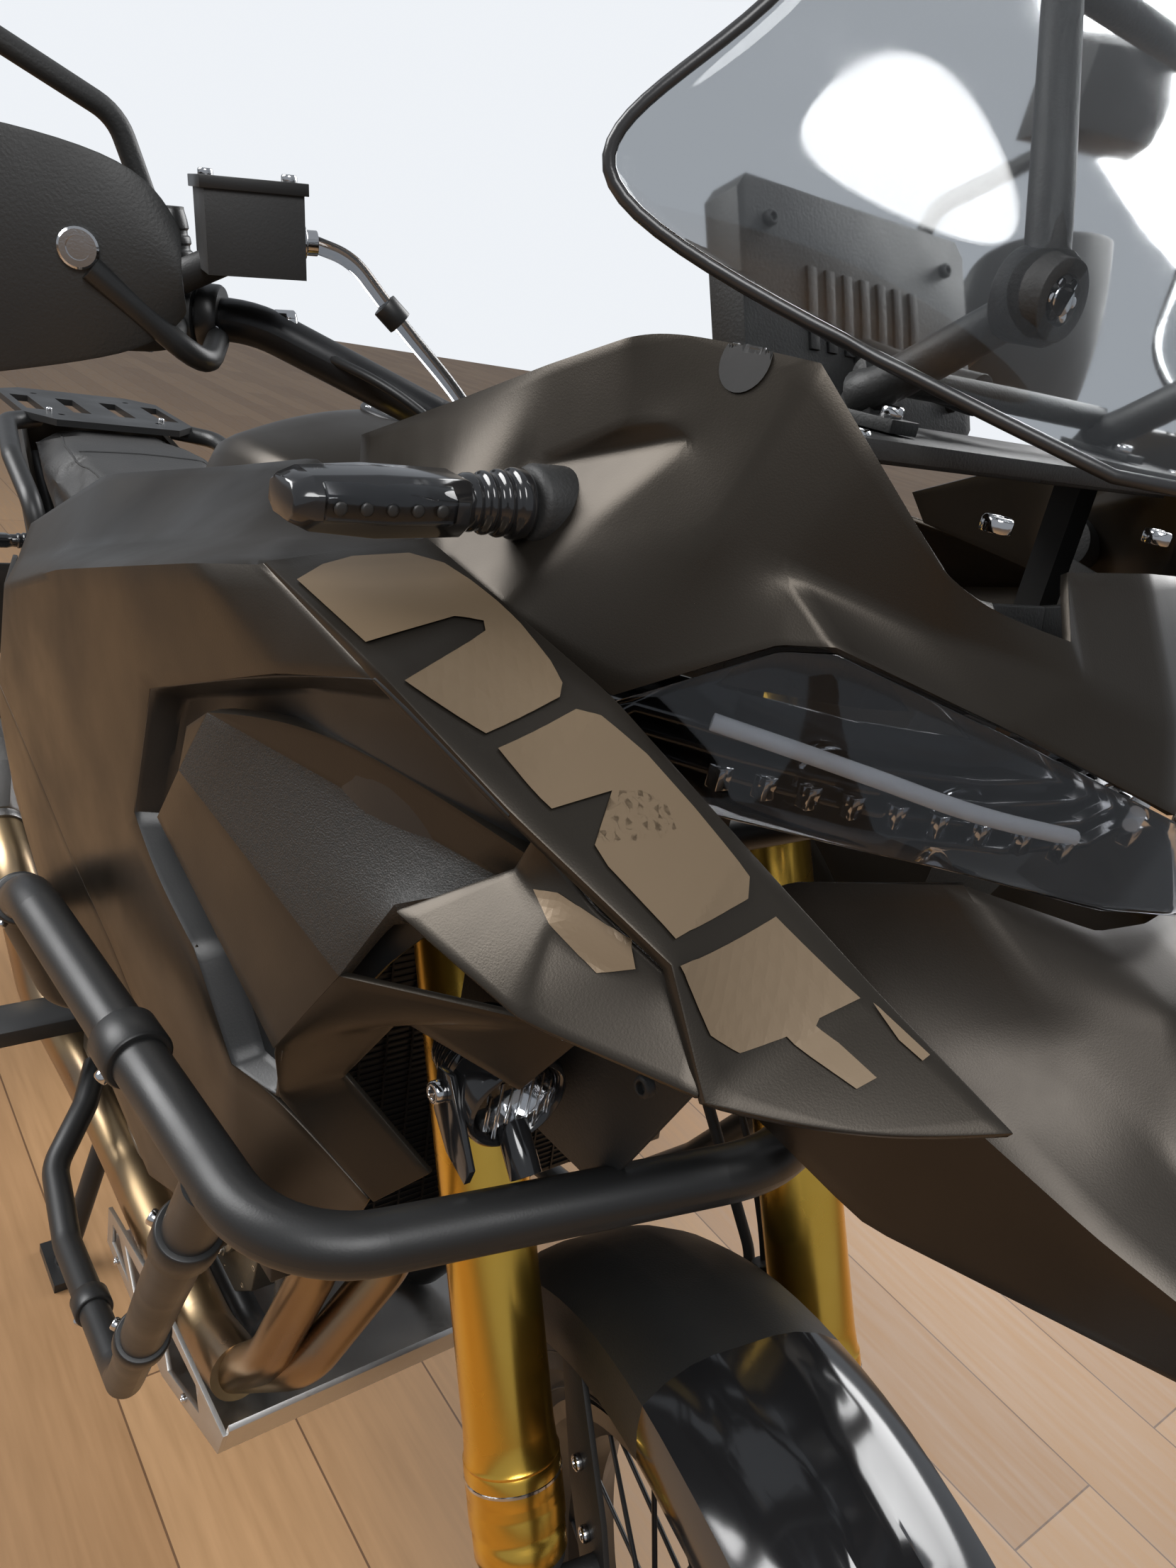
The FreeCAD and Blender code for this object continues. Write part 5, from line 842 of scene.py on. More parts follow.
def fenderPiece():
    mesh = bmesh.new()
    rows = []
    for step in range(fender["steps"] + 1):
        angle = fender["start"] + (fender["end"] - fender["start"]) * step / fender["steps"]
        half = between(fender["half"], angle)
        ridge = 14 * half / 64
        front = min(max((angle - 18) / 14, 0), 1)
        drop = 50 * half / 64
        crown = fender["crown"] - 4.5
        side = [(half, crown - drop), (half * 0.99, crown - drop * 0.62),
                (half * 0.94, crown - drop * 0.34),
                (half * 0.74, crown - 8.0), (half * 0.5, crown - 2.0), (ridge + 4.5, crown),
                (ridge + 0.8, crown + 4.2 * front), (ridge * 0.5, crown + 4.4 * front)]
        profile = side + [(0, crown + 4.5 * front)] + [(-y, r) for y, r in side[::-1]]
        turn = radians(angle)
        rows.append([Vector((r * sin(turn), y, r * cos(turn))) / 1000 for y, r in profile])
    newFaces(mesh, rows, closedRings=False)
    for face in mesh.faces:
        centre = face.calc_center_median()
        angle = atan2(centre.x, centre.z)
        face.material_index = 0 if angle > radians(13) else 1
    bmesh.ops.recalc_face_normals(mesh, faces=mesh.faces[:])
    if sum(face.normal.dot(Vector((face.calc_center_median().x, 0, face.calc_center_median().z)))
           for face in mesh.faces) < 0:
        bmesh.ops.reverse_faces(mesh, faces=mesh.faces[:])
    bmesh.ops.transform(mesh, matrix=forkFrame, verts=mesh.verts[:])
    thing = meshObject("fenderSource", mesh)
    thickened(thing, fender["wall"], 0.7)
    return finished(thing, "front_fender_shell", [glossBlack, grainedBlack], "steering")


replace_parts(fenderPiece(), "front_fender")


def fenderFeet():
    mesh = bmesh.new()
    for side in (1, -1):
        inner = forkLegY - 20.5 - 0.3
        for x in (-16, 16):
            addTurned(mesh, (forkLegX + x * 0.6, side * 60, 190 + x * 0.8), (0, side, 0),
                      [(0, 8), (inner - 60, 8)], 20)
        addPrism(mesh, [(forkLegX - 20, side * 59, 168), (forkLegX + 20, side * 59, 168),
                        (forkLegX + 26, side * 59, 236),
                        (forkLegX + 14, side * 59, 342), (forkLegX - 14, side * 59, 342),
                        (forkLegX - 26, side * 59, 236)],
                 (0, side * 4, 0))
        for z in (186, 218, 262):
            addBolt(mesh, (forkLegX, side * 62.8, z), (0, side, 0), 10, 1)
    return made("fender_brackets", mesh, [grainedBlack, polishedSteel], "steering", 0.8, forkFrame)


fenderFeet()


def forkCables():
    # a cable down behind each leg, held by three clips
    mesh = bmesh.new()
    behind = forkLegX - 36
    for side in (-1, 1):
        path = roundedPath([(behind + 4, side * 66, 612), (behind - 16, side * 70, 520),
                            (behind - 6, side * 92, 430),
                            (behind - 2, side * 96, 330), (behind - 16, side * 90, 250),
                            (behind - 12, side * 84, 205)], 60)
        addTube(mesh, path, 2.6, 10, 0)
        for height in (318, 392, 470):
            addTurned(mesh, (behind - 2, side * 93, height), (0, 0, 1),
                      [(0, 7.5), (1, 8.4), (11, 8.4), (12, 7.5)], 20, 1)
    return made("fork_cables", mesh, [softRubber, satinBlack], "steering", place=forkFrame)


forkCables()
print("front fork made")

# Fairing tray, indicator bosses, standoffs: what carries the pieces behind the panels

fairingCarriers = {
    "tray": [(566, 170), (580, 166), (644, 128)],
    "low": 1160.3, "thick": 7.0,
    "standoffs": [(190, 290, 968), (232, 292, 982)],
}


def carriers():
    mesh = bmesh.new()
    half = fairingCarriers["tray"]
    outline = half + [(x, -y) for x, y in half[::-1]]
    addPrism(mesh, [(x, y, fairingCarriers["low"]) for x, y in outline], (0, 0, fairingCarriers["thick"]),
             0)
    for side in (1, -1):
        for x, rib in ((590, 140), (612, 120), (632, 104)):
            addPrism(mesh, [(x, 0, 1158), (x, side * rib, 1158), (x, side * rib, 1161), (x, 0, 1161)],
                     (3, 0, 0), 0)
        addTurned(mesh, (556, side * 172, 1119), (0, side, 0), [(0, 15), (22, 15), (24, 14), (24.9, 12.5)],
                  36, 0)
        for x, y, z in fairingCarriers["standoffs"]:
            addTurned(mesh, (x, side * 168, z), (0, side, 0), [(0, 8), (y - 171, 8), (y - 168, 6.5)], 20, 0)
            addTurned(mesh, (x, side * 172, z), (0, side, 0), [(0, 11), (6, 11), (8, 9)], 20, 0)
        addTurned(mesh, (345, side * 176.6, 700), (0, side, 0), [(0, 10), (4, 10), (5, 7), (86, 7)], 20, 0)
        # dark inner wall behind the nose and over the headlight
        for (x0, y0), (x1, y1) in (((600, 172), (645, 134)), ((645, 134), (676, 88)),
                                   ((676, 88), (690, 40)), ((690, 40), (694, 0))):
            addPrism(mesh, [(x0 - 30, side * y0, 1068), (x1 - 30, side * y1, 1068),
                            (x1 - 38, side * y1, 1112),
                            (x0 - 38, side * y0, 1112)], (-3, 0, 0), 0)
        for x, y, z in ((632, 118, 1171), (660, 60, 1150)):
            addBolt(mesh, (x, side * y, z - 8), (0, 0, 1), 12, 1)
    return made("fairing_carriers", mesh, [grainedBlack, polishedSteel], "root", 0.6)


carriers()

innerShield = [(540, -176, 858), (640, -158, 846), (690, -158, 960), (600, -170, 1000), (545, -180, 950)]
shieldMesh = bmesh.new()
for turn in (1, -1):
    addPrism(shieldMesh, [(x, turn * y, z) for x, y, z in innerShield], (0, turn * 3, 0))
    for x, z in ((566, 884), (560, 936), (668, 930)):
        addBolt(shieldMesh, (x, turn * -176, z), (0, -turn, 0), 9)
made("fairing_inner_shields", shieldMesh, [grainedBlack], "root", 0.8)

# Front indicators: ringed stalk and smoked wedge lens


def indicatorPiece():
    mesh = bmesh.new()
    root, out = Vector((556, 197.6, 1119)), Vector((-7, 92, -4)).normalized()
    addTurned(mesh, root, out, [(0, 12), (2, 13), (6, 13), (7, 11.2), (9, 11.2), (10, 12.2), (12, 12.2),
                                (13, 10.4),
                                (15, 10.4), (16, 11.4), (18, 11.4), (19, 9.6), (21, 9.6), (22, 10.6),
                                (25, 10.2), (27, 9.2)], 36, 0)
    rings = []
    for reach, long, tall, shift in ((24, 9, 8, 0), (30, 14, 10.4, 1), (62, 15, 11, 2), (84, 13, 9.4, 1.5),
                                     (91, 10.4, 6.4, 1)):
        centre = root + out * reach
        rings.append([(centre + Vector((long * a + shift, 0, tall * b))) / 1000 for a, b in
                      ((1.0, -0.45), (1.0, 0.35), (0.6, 0.95), (-0.55, 1.0), (-1.0, 0.5), (-1.0, -0.5),
                       (-0.5, -1.0), (0.6, -1.0))])
    newFaces(mesh, rings, slot=0)
    lens = []
    for reach, long, tall in ((36, 12.0, 8.0), (60, 13.0, 8.8), (82, 11.6, 7.6)):
        centre = root + out * reach + Vector((6.4, 0, 0.6))
        lens.append([(centre + Vector((long * a * 0.92, 0, tall * b))) / 1000 for a, b in
                     ((1.0, -0.5), (1.0, 0.4), (0.5, 0.9), (-0.2, 0.9), (-0.2, -0.9), (0.5, -0.95))])
    newFaces(mesh, lens, slot=1)
    # five dark dots on the front of the lens: painted shade of its holes
    for k in range(5):
        centre = root + out * (42 + 9 * k) + Vector((17.2, 0, 0.4))
        addTurned(mesh, centre, (1, 0, 0), [(0, 2.6), (1.2, 2.2)], 12, 2)
    addMirrored(mesh)
    return made("front_indicators", mesh, [glossBlack, smokedLens, paintedHoleShade], "root", 0.9)


def rearIndicatorPiece():
    mesh = bmesh.new()
    root, out = Vector((-930, 46.4, 706)), Vector((0, 1, 0))
    addTurned(mesh, root, out, [(0, 11), (3, 12), (6, 12), (7, 10.4), (10, 10.4), (11, 11.4), (14, 11.4),
                                (15, 9.6), (24, 9.2)], 32, 0)
    rings = []
    for reach, long, tall in ((22, 9, 8), (30, 12, 10), (60, 12, 10.4), (82, 11, 9), (89, 8, 6)):
        centre = root + out * reach
        rings.append([(centre + Vector((long * a, 0, tall * b))) / 1000 for a, b in
                      ((1.0, -0.5), (1.0, 0.5), (0.5, 1.0), (-0.5, 1.0), (-1.0, 0.5), (-1.0, -0.5),
                       (-0.5, -1.0), (0.5, -1.0))])
    newFaces(mesh, rings, slot=0)
    lens = []
    for reach, tall in ((34, 7.6), (60, 8.2), (80, 7.2)):
        centre = root + out * reach + Vector((-7.4, 0, 0))
        lens.append([(centre + Vector((5.6 * a, 0, tall * b))) / 1000
                     for a, b in ((-1, -0.6), (-1, 0.6), (0.4, 1), (0.4, -1))])
    newFaces(mesh, lens, slot=1)
    addMirrored(mesh)
    return made("rear_indicators", mesh, [glossBlack, amberLens], "root", 0.9)


frontIndicators = indicatorPiece()
rearIndicatorPiece()
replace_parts(frontIndicators, "indicators")
print("indicators made")

# Repeated parts: one source mesh set out along a line or round a wheel


def repeatTree():
    tree = bpy.data.node_groups.new("repeat", "GeometryNodeTree")
    face = tree.interface
    face.new_socket("Geometry", in_out="INPUT", socket_type="NodeSocketGeometry")
    for label, kind in (("Source", "NodeSocketObject"), ("Count", "NodeSocketInt"),
                        ("Offset", "NodeSocketVector"),
                        ("Turn", "NodeSocketVector"), ("Material", "NodeSocketMaterial")):
        face.new_socket(label, in_out="INPUT", socket_type=kind)
    face.new_socket("Geometry", in_out="OUTPUT", socket_type="NodeSocketGeometry")
    nodesIn = tree.nodes.new("NodeGroupInput")
    nodesOut = tree.nodes.new("NodeGroupOutput")
    line = tree.nodes.new("GeometryNodeMeshLine")
    source = tree.nodes.new("GeometryNodeObjectInfo")
    onPoints = tree.nodes.new("GeometryNodeInstanceOnPoints")
    index = tree.nodes.new("GeometryNodeInputIndex")
    scale = tree.nodes.new("ShaderNodeVectorMath")
    scale.operation = "SCALE"
    realize = tree.nodes.new("GeometryNodeRealizeInstances")
    setMaterial = tree.nodes.new("GeometryNodeSetMaterial")
    link = tree.links.new
    link(nodesIn.outputs["Count"], line.inputs["Count"])
    link(nodesIn.outputs["Offset"], line.inputs["Offset"])
    link(nodesIn.outputs["Source"], source.inputs["Object"])
    link(nodesIn.outputs["Turn"], scale.inputs[0])
    link(index.outputs["Index"], scale.inputs["Scale"])
    link(line.outputs["Mesh"], onPoints.inputs["Points"])
    link(source.outputs["Geometry"], onPoints.inputs["Instance"])
    link(scale.outputs["Vector"], onPoints.inputs["Rotation"])
    link(onPoints.outputs["Instances"], realize.inputs["Geometry"])
    link(realize.outputs["Geometry"], setMaterial.inputs["Geometry"])
    link(nodesIn.outputs["Material"], setMaterial.inputs["Material"])
    link(setMaterial.outputs["Geometry"], nodesOut.inputs["Geometry"])
    return tree


repeatNodes = repeatTree()


def repeated(name, mesh, count, offset, turn, material, body, place=None, bevel=0.0):
    # offset in millimetres and turn in degrees from one copy to the next
    bmesh.ops.recalc_face_normals(mesh, faces=mesh.faces[:])
    source = meshObject(name + "One", mesh)
    if bevel:
        rim = source.modifiers.new("rim", "BEVEL")
        rim.width = bevel / 1000
        rim.segments = 1
    host = bpy.data.objects.new(name + "Host", bpy.data.meshes.new(name + "Host"))
    scene.collection.objects.link(host)
    modifier = host.modifiers.new("repeat", "NODES")
    modifier.node_group = repeatNodes
    values = {"Source": source, "Count": count, "Offset": Vector(offset) / 1000,
              "Turn": Vector([radians(angle) for angle in turn]), "Material": material}
    for item in repeatNodes.interface.items_tree:
        if item.in_out == "INPUT" and item.name in values:
            modifier[item.identifier] = values[item.name]
    host.update_tag()
    depsgraph = bpy.context.evaluated_depsgraph_get()
    result = bpy.data.meshes.new_from_object(host.evaluated_get(depsgraph))
    bpy.data.objects.remove(host, do_unlink=True)
    bpy.data.objects.remove(source, do_unlink=True)
    if place is not None:
        result.transform(place)
    piece = bpy.data.objects.new(name, result)
    scene.collection.objects.link(piece)
    paint(piece, material)
    smoothed(piece)
    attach(piece, body)
    return piece


# Tyres: knobs in rows round the crown, ribs on the side walls

tyreTread = {
    "front": {"radius": 347.5, "crown": [(0, 347.3), (20, 344.2), (38, 331.0)], "height": 5.5,
              "knobs": [(-8, 0, 15, 17), (10, 13, 11, 15), (10, -13, 11, 15), (-4, 27, 10, 17),
                        (-4, -27, 10, 17)]},
    "rear": {"radius": 327.0, "crown": [(0, 326.8), (34, 322.6), (60, 306.0)], "height": 6.0,
             "knobs": [(-10, 0, 22, 19), (14, 20, 15, 18), (14, -20, 15, 18), (-6, 42, 14, 20),
                       (-6, -42, 14, 20)]},
}


def treadPitch(tread):
    # raised blocks that stand on the carcass; their faces follow the crown
    mesh = bmesh.new()
    for shift, across, width, length in tread["knobs"]:
        rings = []
        for sink, shrink in ((tread["height"], 1.0), (0.0, 0.86)):
            ring = []
            for a, b in ((-1, -1), (1, -1), (1, 1), (-1, 1)):
                y = across + a * width * 0.5 * shrink
                radius = between(tread["crown"], abs(y)) - sink
                along = (shift + b * length * 0.5 * shrink) / tread["radius"]
                ring.append(Vector((radius * sin(along), y, radius * cos(along))) / 1000)
            rings.append(ring)
        newFaces(mesh, rings)
    return mesh


def tyreCarcass(name, tread, beadRadius, rimHalf, half, shoulder, body, place):
    top = tread["crown"]
    sink = tread["height"]
    side = [(rimHalf - 3, beadRadius + 1), (rimHalf, beadRadius + 3), (rimHalf + 1.5, beadRadius + 10),
            (half - 5, beadRadius + 24), (half - 0.6, (beadRadius + shoulder) / 2),
            (half - 0.8, shoulder - 12), (half - 4, shoulder - 2), (top[2][0] + 2, top[2][1] - sink - 1.5)]
    side += [(y, radius - sink) for y, radius in top[2:0:-1]]
    profile = side + [(0, top[0][1] - sink)] + [(-y, radius) for y, radius in side[::-1]]
    mesh = bmesh.new()
    sides = 120
    rings = []
    for k in range(sides):
        turn = 2 * pi * k / sides
        rings.append([Vector((radius * sin(turn), y, radius * cos(turn))) / 1000 for y, radius in profile])
    newFaces(mesh, rings, closedRings=False, closedAlong=True)
    bmesh.ops.recalc_face_normals(mesh, faces=mesh.faces[:])
    out = sum(face.normal.dot(Vector((face.calc_center_median().x, 0, face.calc_center_median().z)))
              for face in mesh.faces)
    if out < 0:
        bmesh.ops.reverse_faces(mesh, faces=mesh.faces[:])
    for radius in (beadRadius + 14, shoulder - 16):
        for way in (1, -1):
            reach = half - 1.2 if radius > beadRadius + 20 else half - 8
            addLoopRib(mesh, radius, way * reach, 1.0, sides)
    return made(name, mesh, [tyreRubber], body, place=place)


def addLoopRib(mesh, radius, across, size, sides):
    # a thin raised ring on the side wall
    path = [(radius * sin(2 * pi * k / sides), across, radius * cos(2 * pi * k / sides))
            for k in range(sides)]
    addTube(mesh, path, size, 6, closedAlong=True)


rearPlace = Matrix.Translation(rearHub)
frontTread, rearTread = tyreTread["front"], tyreTread["rear"]
repeated("front_tyre_knobs", treadPitch(frontTread), 60, (0, 0, 0), (0, 6, 0), tyreRubber, "front_wheel",
         forkFrame, 0.7)
repeated("rear_tyre_knobs", treadPitch(rearTread), 50, (0, 0, 0), (0, 7.2, 0), tyreRubber, "rear_wheel",
         rearPlace, 0.7)
frontCarcass = tyreCarcass("front_tyre_carcass", frontTread, 267.5, 30, 46, 322, "front_wheel", forkFrame)
rearCarcass = tyreCarcass("rear_tyre_carcass", rearTread, 229, 46, 70, 294, "rear_wheel", rearPlace)
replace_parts(frontCarcass, "front_tyre")
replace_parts(rearCarcass, "rear_tyre")
print("tyres made")

# Drive chain: rollers and link plates along the run round both sprockets

chainRun = {
    "front": (-108, 412, 38.18), "rear": (-755, 352, 106.21), "offset": 95, "pitch": 15.875,
    "plateHalf": (6.6, 4.6), "rollerRadius": 4.6,
}


def chainPiece():
    mesh = bmesh.new()
    (fx, fz, fr), (rx, rz, rr) = chainRun["front"], chainRun["rear"]
    front, rear = Vector((fx, fz)), Vector((rx, rz))
    axis = rear - front
    lean = atan2(axis.y, axis.x)
    spread = asin((rr - fr) / axis.length)
    line = []
    # tangent angles seen from the centres: the run goes round the rear sprocket, then round the front one
    first, last = lean + pi / 2 + spread, lean - pi / 2 - spread
    for step in range(41):
        angle = last + (first - last) * step / 40
        line.append(rear + Vector((cos(angle), sin(angle))) * rr)
    for step in range(41):
        angle = first + (last + 2 * pi - first) * step / 40
        line.append(front + Vector((cos(angle), sin(angle))) * fr)
    line.append(line[0])
    lengths = [0]
    for before, after in zip(line, line[1:]):
        lengths.append(lengths[-1] + (after - before).length)
    count = round(lengths[-1] / chainRun["pitch"] / 2) * 2
    pins = []
    for k in range(count):
        goal = lengths[-1] * k / count
        for index in range(len(line) - 1):
            if lengths[index + 1] >= goal:
                share = (goal - lengths[index]) / max(lengths[index + 1] - lengths[index], 1e-6)
                pins.append(line[index].lerp(line[index + 1], share))
                break
    tall, waist = chainRun["plateHalf"]
    offset, roller = chainRun["offset"], chainRun["rollerRadius"]
    for k, pin in enumerate(pins):
        ahead = pins[(k + 1) % count]
        along = (ahead - pin).normalized()
        across = Vector((-along.y, along.x))
        outerLink = k % 2
        gap = 7.4 if outerLink else 5.2
        outline = []
        for end, way in ((pin, -1), (ahead, 1)):
            for turn in (-80, -40, 0, 40, 80):
                angle = radians(turn)
                outline.append(end + (along * way * cos(angle) + across * sin(angle) * way) * tall)
            outline.append((pin + ahead) / 2 + across * way * waist)
        for side in (-1, 1):
            y = offset + side * gap
            addPrism(mesh, [(p.x, y, p.y) for p in outline], (0, side * 1.8, 0), 0)
        addTurned(mesh, (pin.x, offset - 9.8, pin.y), (0, 1, 0), [(0, 2.3), (19.6, 2.3)], 10, 0)
        addTurned(mesh, (pin.x, offset - 5, pin.y), (0, 1, 0), [(0, roller), (10, roller)], 12, 0)
    return made("drive_chain_links", mesh, [chainSteel], "root")


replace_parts(chainPiece(), "chain")
print("chain made")

# Seats: foam shapes swelled by a cloth simulation, with seams laid on after it


def seatPiece(name, nodeName, cap=7.0, shrink=2.5):
    source = nodes[nodeName]
    mesh = bmesh.new()
    mesh.from_mesh(source.data)
    bmesh.ops.transform(mesh, matrix=source.matrix_world, verts=mesh.verts[:])
    bmesh.ops.remove_doubles(mesh, verts=mesh.verts[:], dist=0.0001)
    thing = meshObject(name + "Foam", mesh)
    remesh = thing.modifiers.new("remesh", "REMESH")
    remesh.mode = "VOXEL"
    remesh.voxel_size = 0.006
    soften = thing.modifiers.new("soften", "SMOOTH")
    soften.factor = 0.5
    soften.iterations = 6
    depsgraph = bpy.context.evaluated_depsgraph_get()
    coarse = bpy.data.meshes.new_from_object(thing.evaluated_get(depsgraph))
    bpy.data.objects.remove(thing, do_unlink=True)
    for vert in coarse.vertices:
        vert.co -= vert.normal * shrink / 1000
    starts = [vert.co.copy() for vert in coarse.vertices]
    pad = bpy.data.objects.new(name + "Pad", coarse)
    scene.collection.objects.link(pad)
    # the underside is held where the seat pan is
    held = pad.vertex_groups.new(name="held")
    held.add([vert.index for vert in coarse.vertices if vert.normal.z < -0.6], 1.0, "REPLACE")
    cloth = pad.modifiers.new("cloth", "CLOTH")
    cloth.settings.quality = 5
    cloth.settings.use_pressure = True
    cloth.settings.uniform_pressure_force = 4
    cloth.settings.effector_weights.gravity = 0
    cloth.settings.vertex_group_mass = "held"
    cloth.point_cache.frame_start = 1
    cloth.point_cache.frame_end = 20
    for step in range(1, 21):
        scene.frame_set(step)
    depsgraph = bpy.context.evaluated_depsgraph_get()
    swelled = bpy.data.meshes.new_from_object(pad.evaluated_get(depsgraph))
    pad.modifiers.clear()
    pad.data = swelled
    for vert, start in zip(swelled.vertices, starts):
        way = vert.co - start
        if way.length > cap / 1000:
            vert.co = start + way.normalized() * cap / 1000
    scene.frame_set(1)
    fine = pad.modifiers.new("subdivision", "SUBSURF")
    fine.levels = fine.render_levels = 1
    piece = finished(pad, name, seatLeather, "root")
    smoothed(piece, 80)
    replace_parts(piece, nodeName)
    return piece


riderCushion = seatPiece("rider_seat_cushion", "rider_seat")
pillionCushion = seatPiece("pillion_seat_cushion", "pillion_seat")


def seamLine(mesh, tree, path, radius=1.1, slot=0):
    # a piping cord dropped on the cushion along a plan path
    fine = roundedPath([(x, y, 0) for x, y in path], 30, 8)
    spots = []
    for index in range(len(fine) - 1):
        for step in range(6):
            point = fine[index].lerp(fine[index + 1], step / 6)
            above = Vector((point.x / 1000, point.y / 1000, 1.3))
            place, normal = tree.ray_cast(above, Vector((0, 0, -1)))[:2]
            if place is not None:
                spots.append(place * 1000 + normal * radius * 0.3)
    addTube(mesh, spots, radius, 8, slot)


def seatSeams():
    mesh = bmesh.new()
    depsgraph = bpy.context.evaluated_depsgraph_get()
    riderTree = BVHTree.FromObject(riderCushion, depsgraph)
    pillionTree = BVHTree.FromObject(pillionCushion, depsgraph)
    for side in (1, -1):
        seamLine(mesh, riderTree, [(-46, side * 52), (-130, side * 70), (-280, side * 98),
                                   (-372, side * 84)])
        seamLine(mesh, pillionTree, [(-412, side * 66), (-560, side * 84), (-668, side * 64)])
    seamLine(mesh, riderTree, [(-250, 92), (-262, 0), (-250, -92)])
    seamLine(mesh, pillionTree, [(-540, 82), (-552, 0), (-540, -82)])
    return made("seat_seams", mesh, [softRubber], "root")


seatSeams()
print("seats made")

# Bodies kept from the solids, with their edges rounded


def refined(nodeName, width, materials, body, angle=32, name=None, segments=2):
    source = nodes[nodeName]
    mesh = bmesh.new()
    mesh.from_mesh(source.data)
    bmesh.ops.transform(mesh, matrix=source.matrix_world, verts=mesh.verts[:])
    bmesh.ops.remove_doubles(mesh, verts=mesh.verts[:], dist=0.00003)
    bmesh.ops.dissolve_limit(mesh, angle_limit=radians(1.5), verts=mesh.verts[:], edges=mesh.edges[:])
    thing = meshObject(nodeName + "Source", mesh)
    rim = thing.modifiers.new("rim", "BEVEL")
    rim.width = width / 1000
    rim.segments = segments
    rim.limit_method = "ANGLE"
    rim.angle_limit = radians(angle)
    piece = finished(thing, name or nodeName + "_body", materials, body)
    smoothed(piece, 44)
    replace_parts(piece, nodeName)
    return piece


refined("engine", 3.0, castBronze, "root")
refined("muffler", 4.0, brushedSteel, "root", 28)
refined("triple_clamps", 2.0, blackAluminium, "steering")
refined("front_calipers", 2.5, satinBlack, "steering")
refined("rear_caliper", 2.5, satinBlack, "root")
refined("swingarm", 3.0, blackAluminium, "root")
refined("tail_fairing", 3.5, fairingPaint, "root", 24)
refined("plate_holder", 2.0, grainedBlack, "root", 30)
refined("tail_light", 3.0, redLens, "root")
refined("rear_hugger", 1.5, grainedBlack, "root", 24)
refined("skid_plate", 0.9, brushedAluminium, "root", 40)
refined("radiator", 1.2, blackAluminium, "root", 40)
refined("footpegs", 1.5, satinBlack, "root", 40)
print("bodies rounded")

# Tank: a smooth shell over the solid's stations, with a filler cap

tankStations = [
    (252, [(40, 1062), (96, 1030), (104, 960), (70, 944)]),
    (190, [(52, 1088), (128, 1056), (150, 980), (96, 918)]),
    (135, [(57, 1091), (138, 1060), (160, 974), (100, 884)]),
    (80, [(60, 1092), (140, 1058), (164, 968), (100, 858)]),
    (20, [(56, 1050), (126, 1010), (154, 930), (100, 824)]),
    (-30, [(40, 900), (84, 880), (100, 856), (86, 828)]),
]


def tankPiece():
    mesh = bmesh.new()
    rings = []
    for x, half in tankStations:
        rings.append([Vector((x, y, z)) / 1000 for y, z in half] + [Vector((x, -y, z)) / 1000
                                                                    for y, z in half[::-1]])
    rows = newFaces(mesh, rings)
    creaseLayer = mesh.edges.layers.float.new("crease_edge")
    for row, weight in ((0, 0.9), (len(rows) - 1, 0.7)):
        count = len(rows[row])
        for k in range(count):
            edge = mesh.edges.get((rows[row][k], rows[row][(k + 1) % count]))
            edge[creaseLayer] = weight
    for first, second in zip(rows, rows[1:]):
        for k, weight in ((1, 0.62), (6, 0.62), (2, 0.35), (5, 0.35), (3, 0.8), (4, 0.8)):
            mesh.edges.get((first[k], second[k]))[creaseLayer] = weight
    return made("tank_shell", mesh, [fairingPaint], "root", levels=3)


tankShell = tankPiece()
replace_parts(tankShell, "fuel_tank")


def tankFittings():
    mesh = bmesh.new()
    cap, up = (118, 0, 1084), (0.06, 0, 1)
    addTurned(mesh, cap, up, [(0, 44), (4, 44), (5.5, 42.5), (5.5, 36), (4.4, 35.4), (4.4, 33), (6.4, 32),
                              (7.6, 28),
                              (7.8, 10), (7.2, 9), (7.2, 0.5)], 64, 0)
    for k in range(6):
        angle = k * pi / 3 + 0.3
        addBolt(mesh, (118 + 39.5 * cos(angle), 39.5 * sin(angle), 1088.4), up, 4.4, 1)
    addPrism(mesh, [(104, -7, 1090.5), (134, -7, 1091), (134, 7, 1091), (104, 7, 1090.5)], (0, 0, 2), 1)
    for side in (1, -1):
        addTurned(mesh, (120, side * 118, 859), (0, 0, 1), [(0, 12), (56, 12)], 24, 2)
    return made("tank_fittings", mesh, [blackAluminium, polishedSteel, softRubber], "root", 0.4)


tankFittings()

# Engine: round covers with bolts and a window, cylinder fins, head cover, casing ribs

engineCovers = {
    "right": [(-2, 398, 84, 44), (112, 372, 62, 34)],
    "left": [(104, 380, 78, 36), (20, 440, 48, 22)],
    "window": (-2, 398),
}


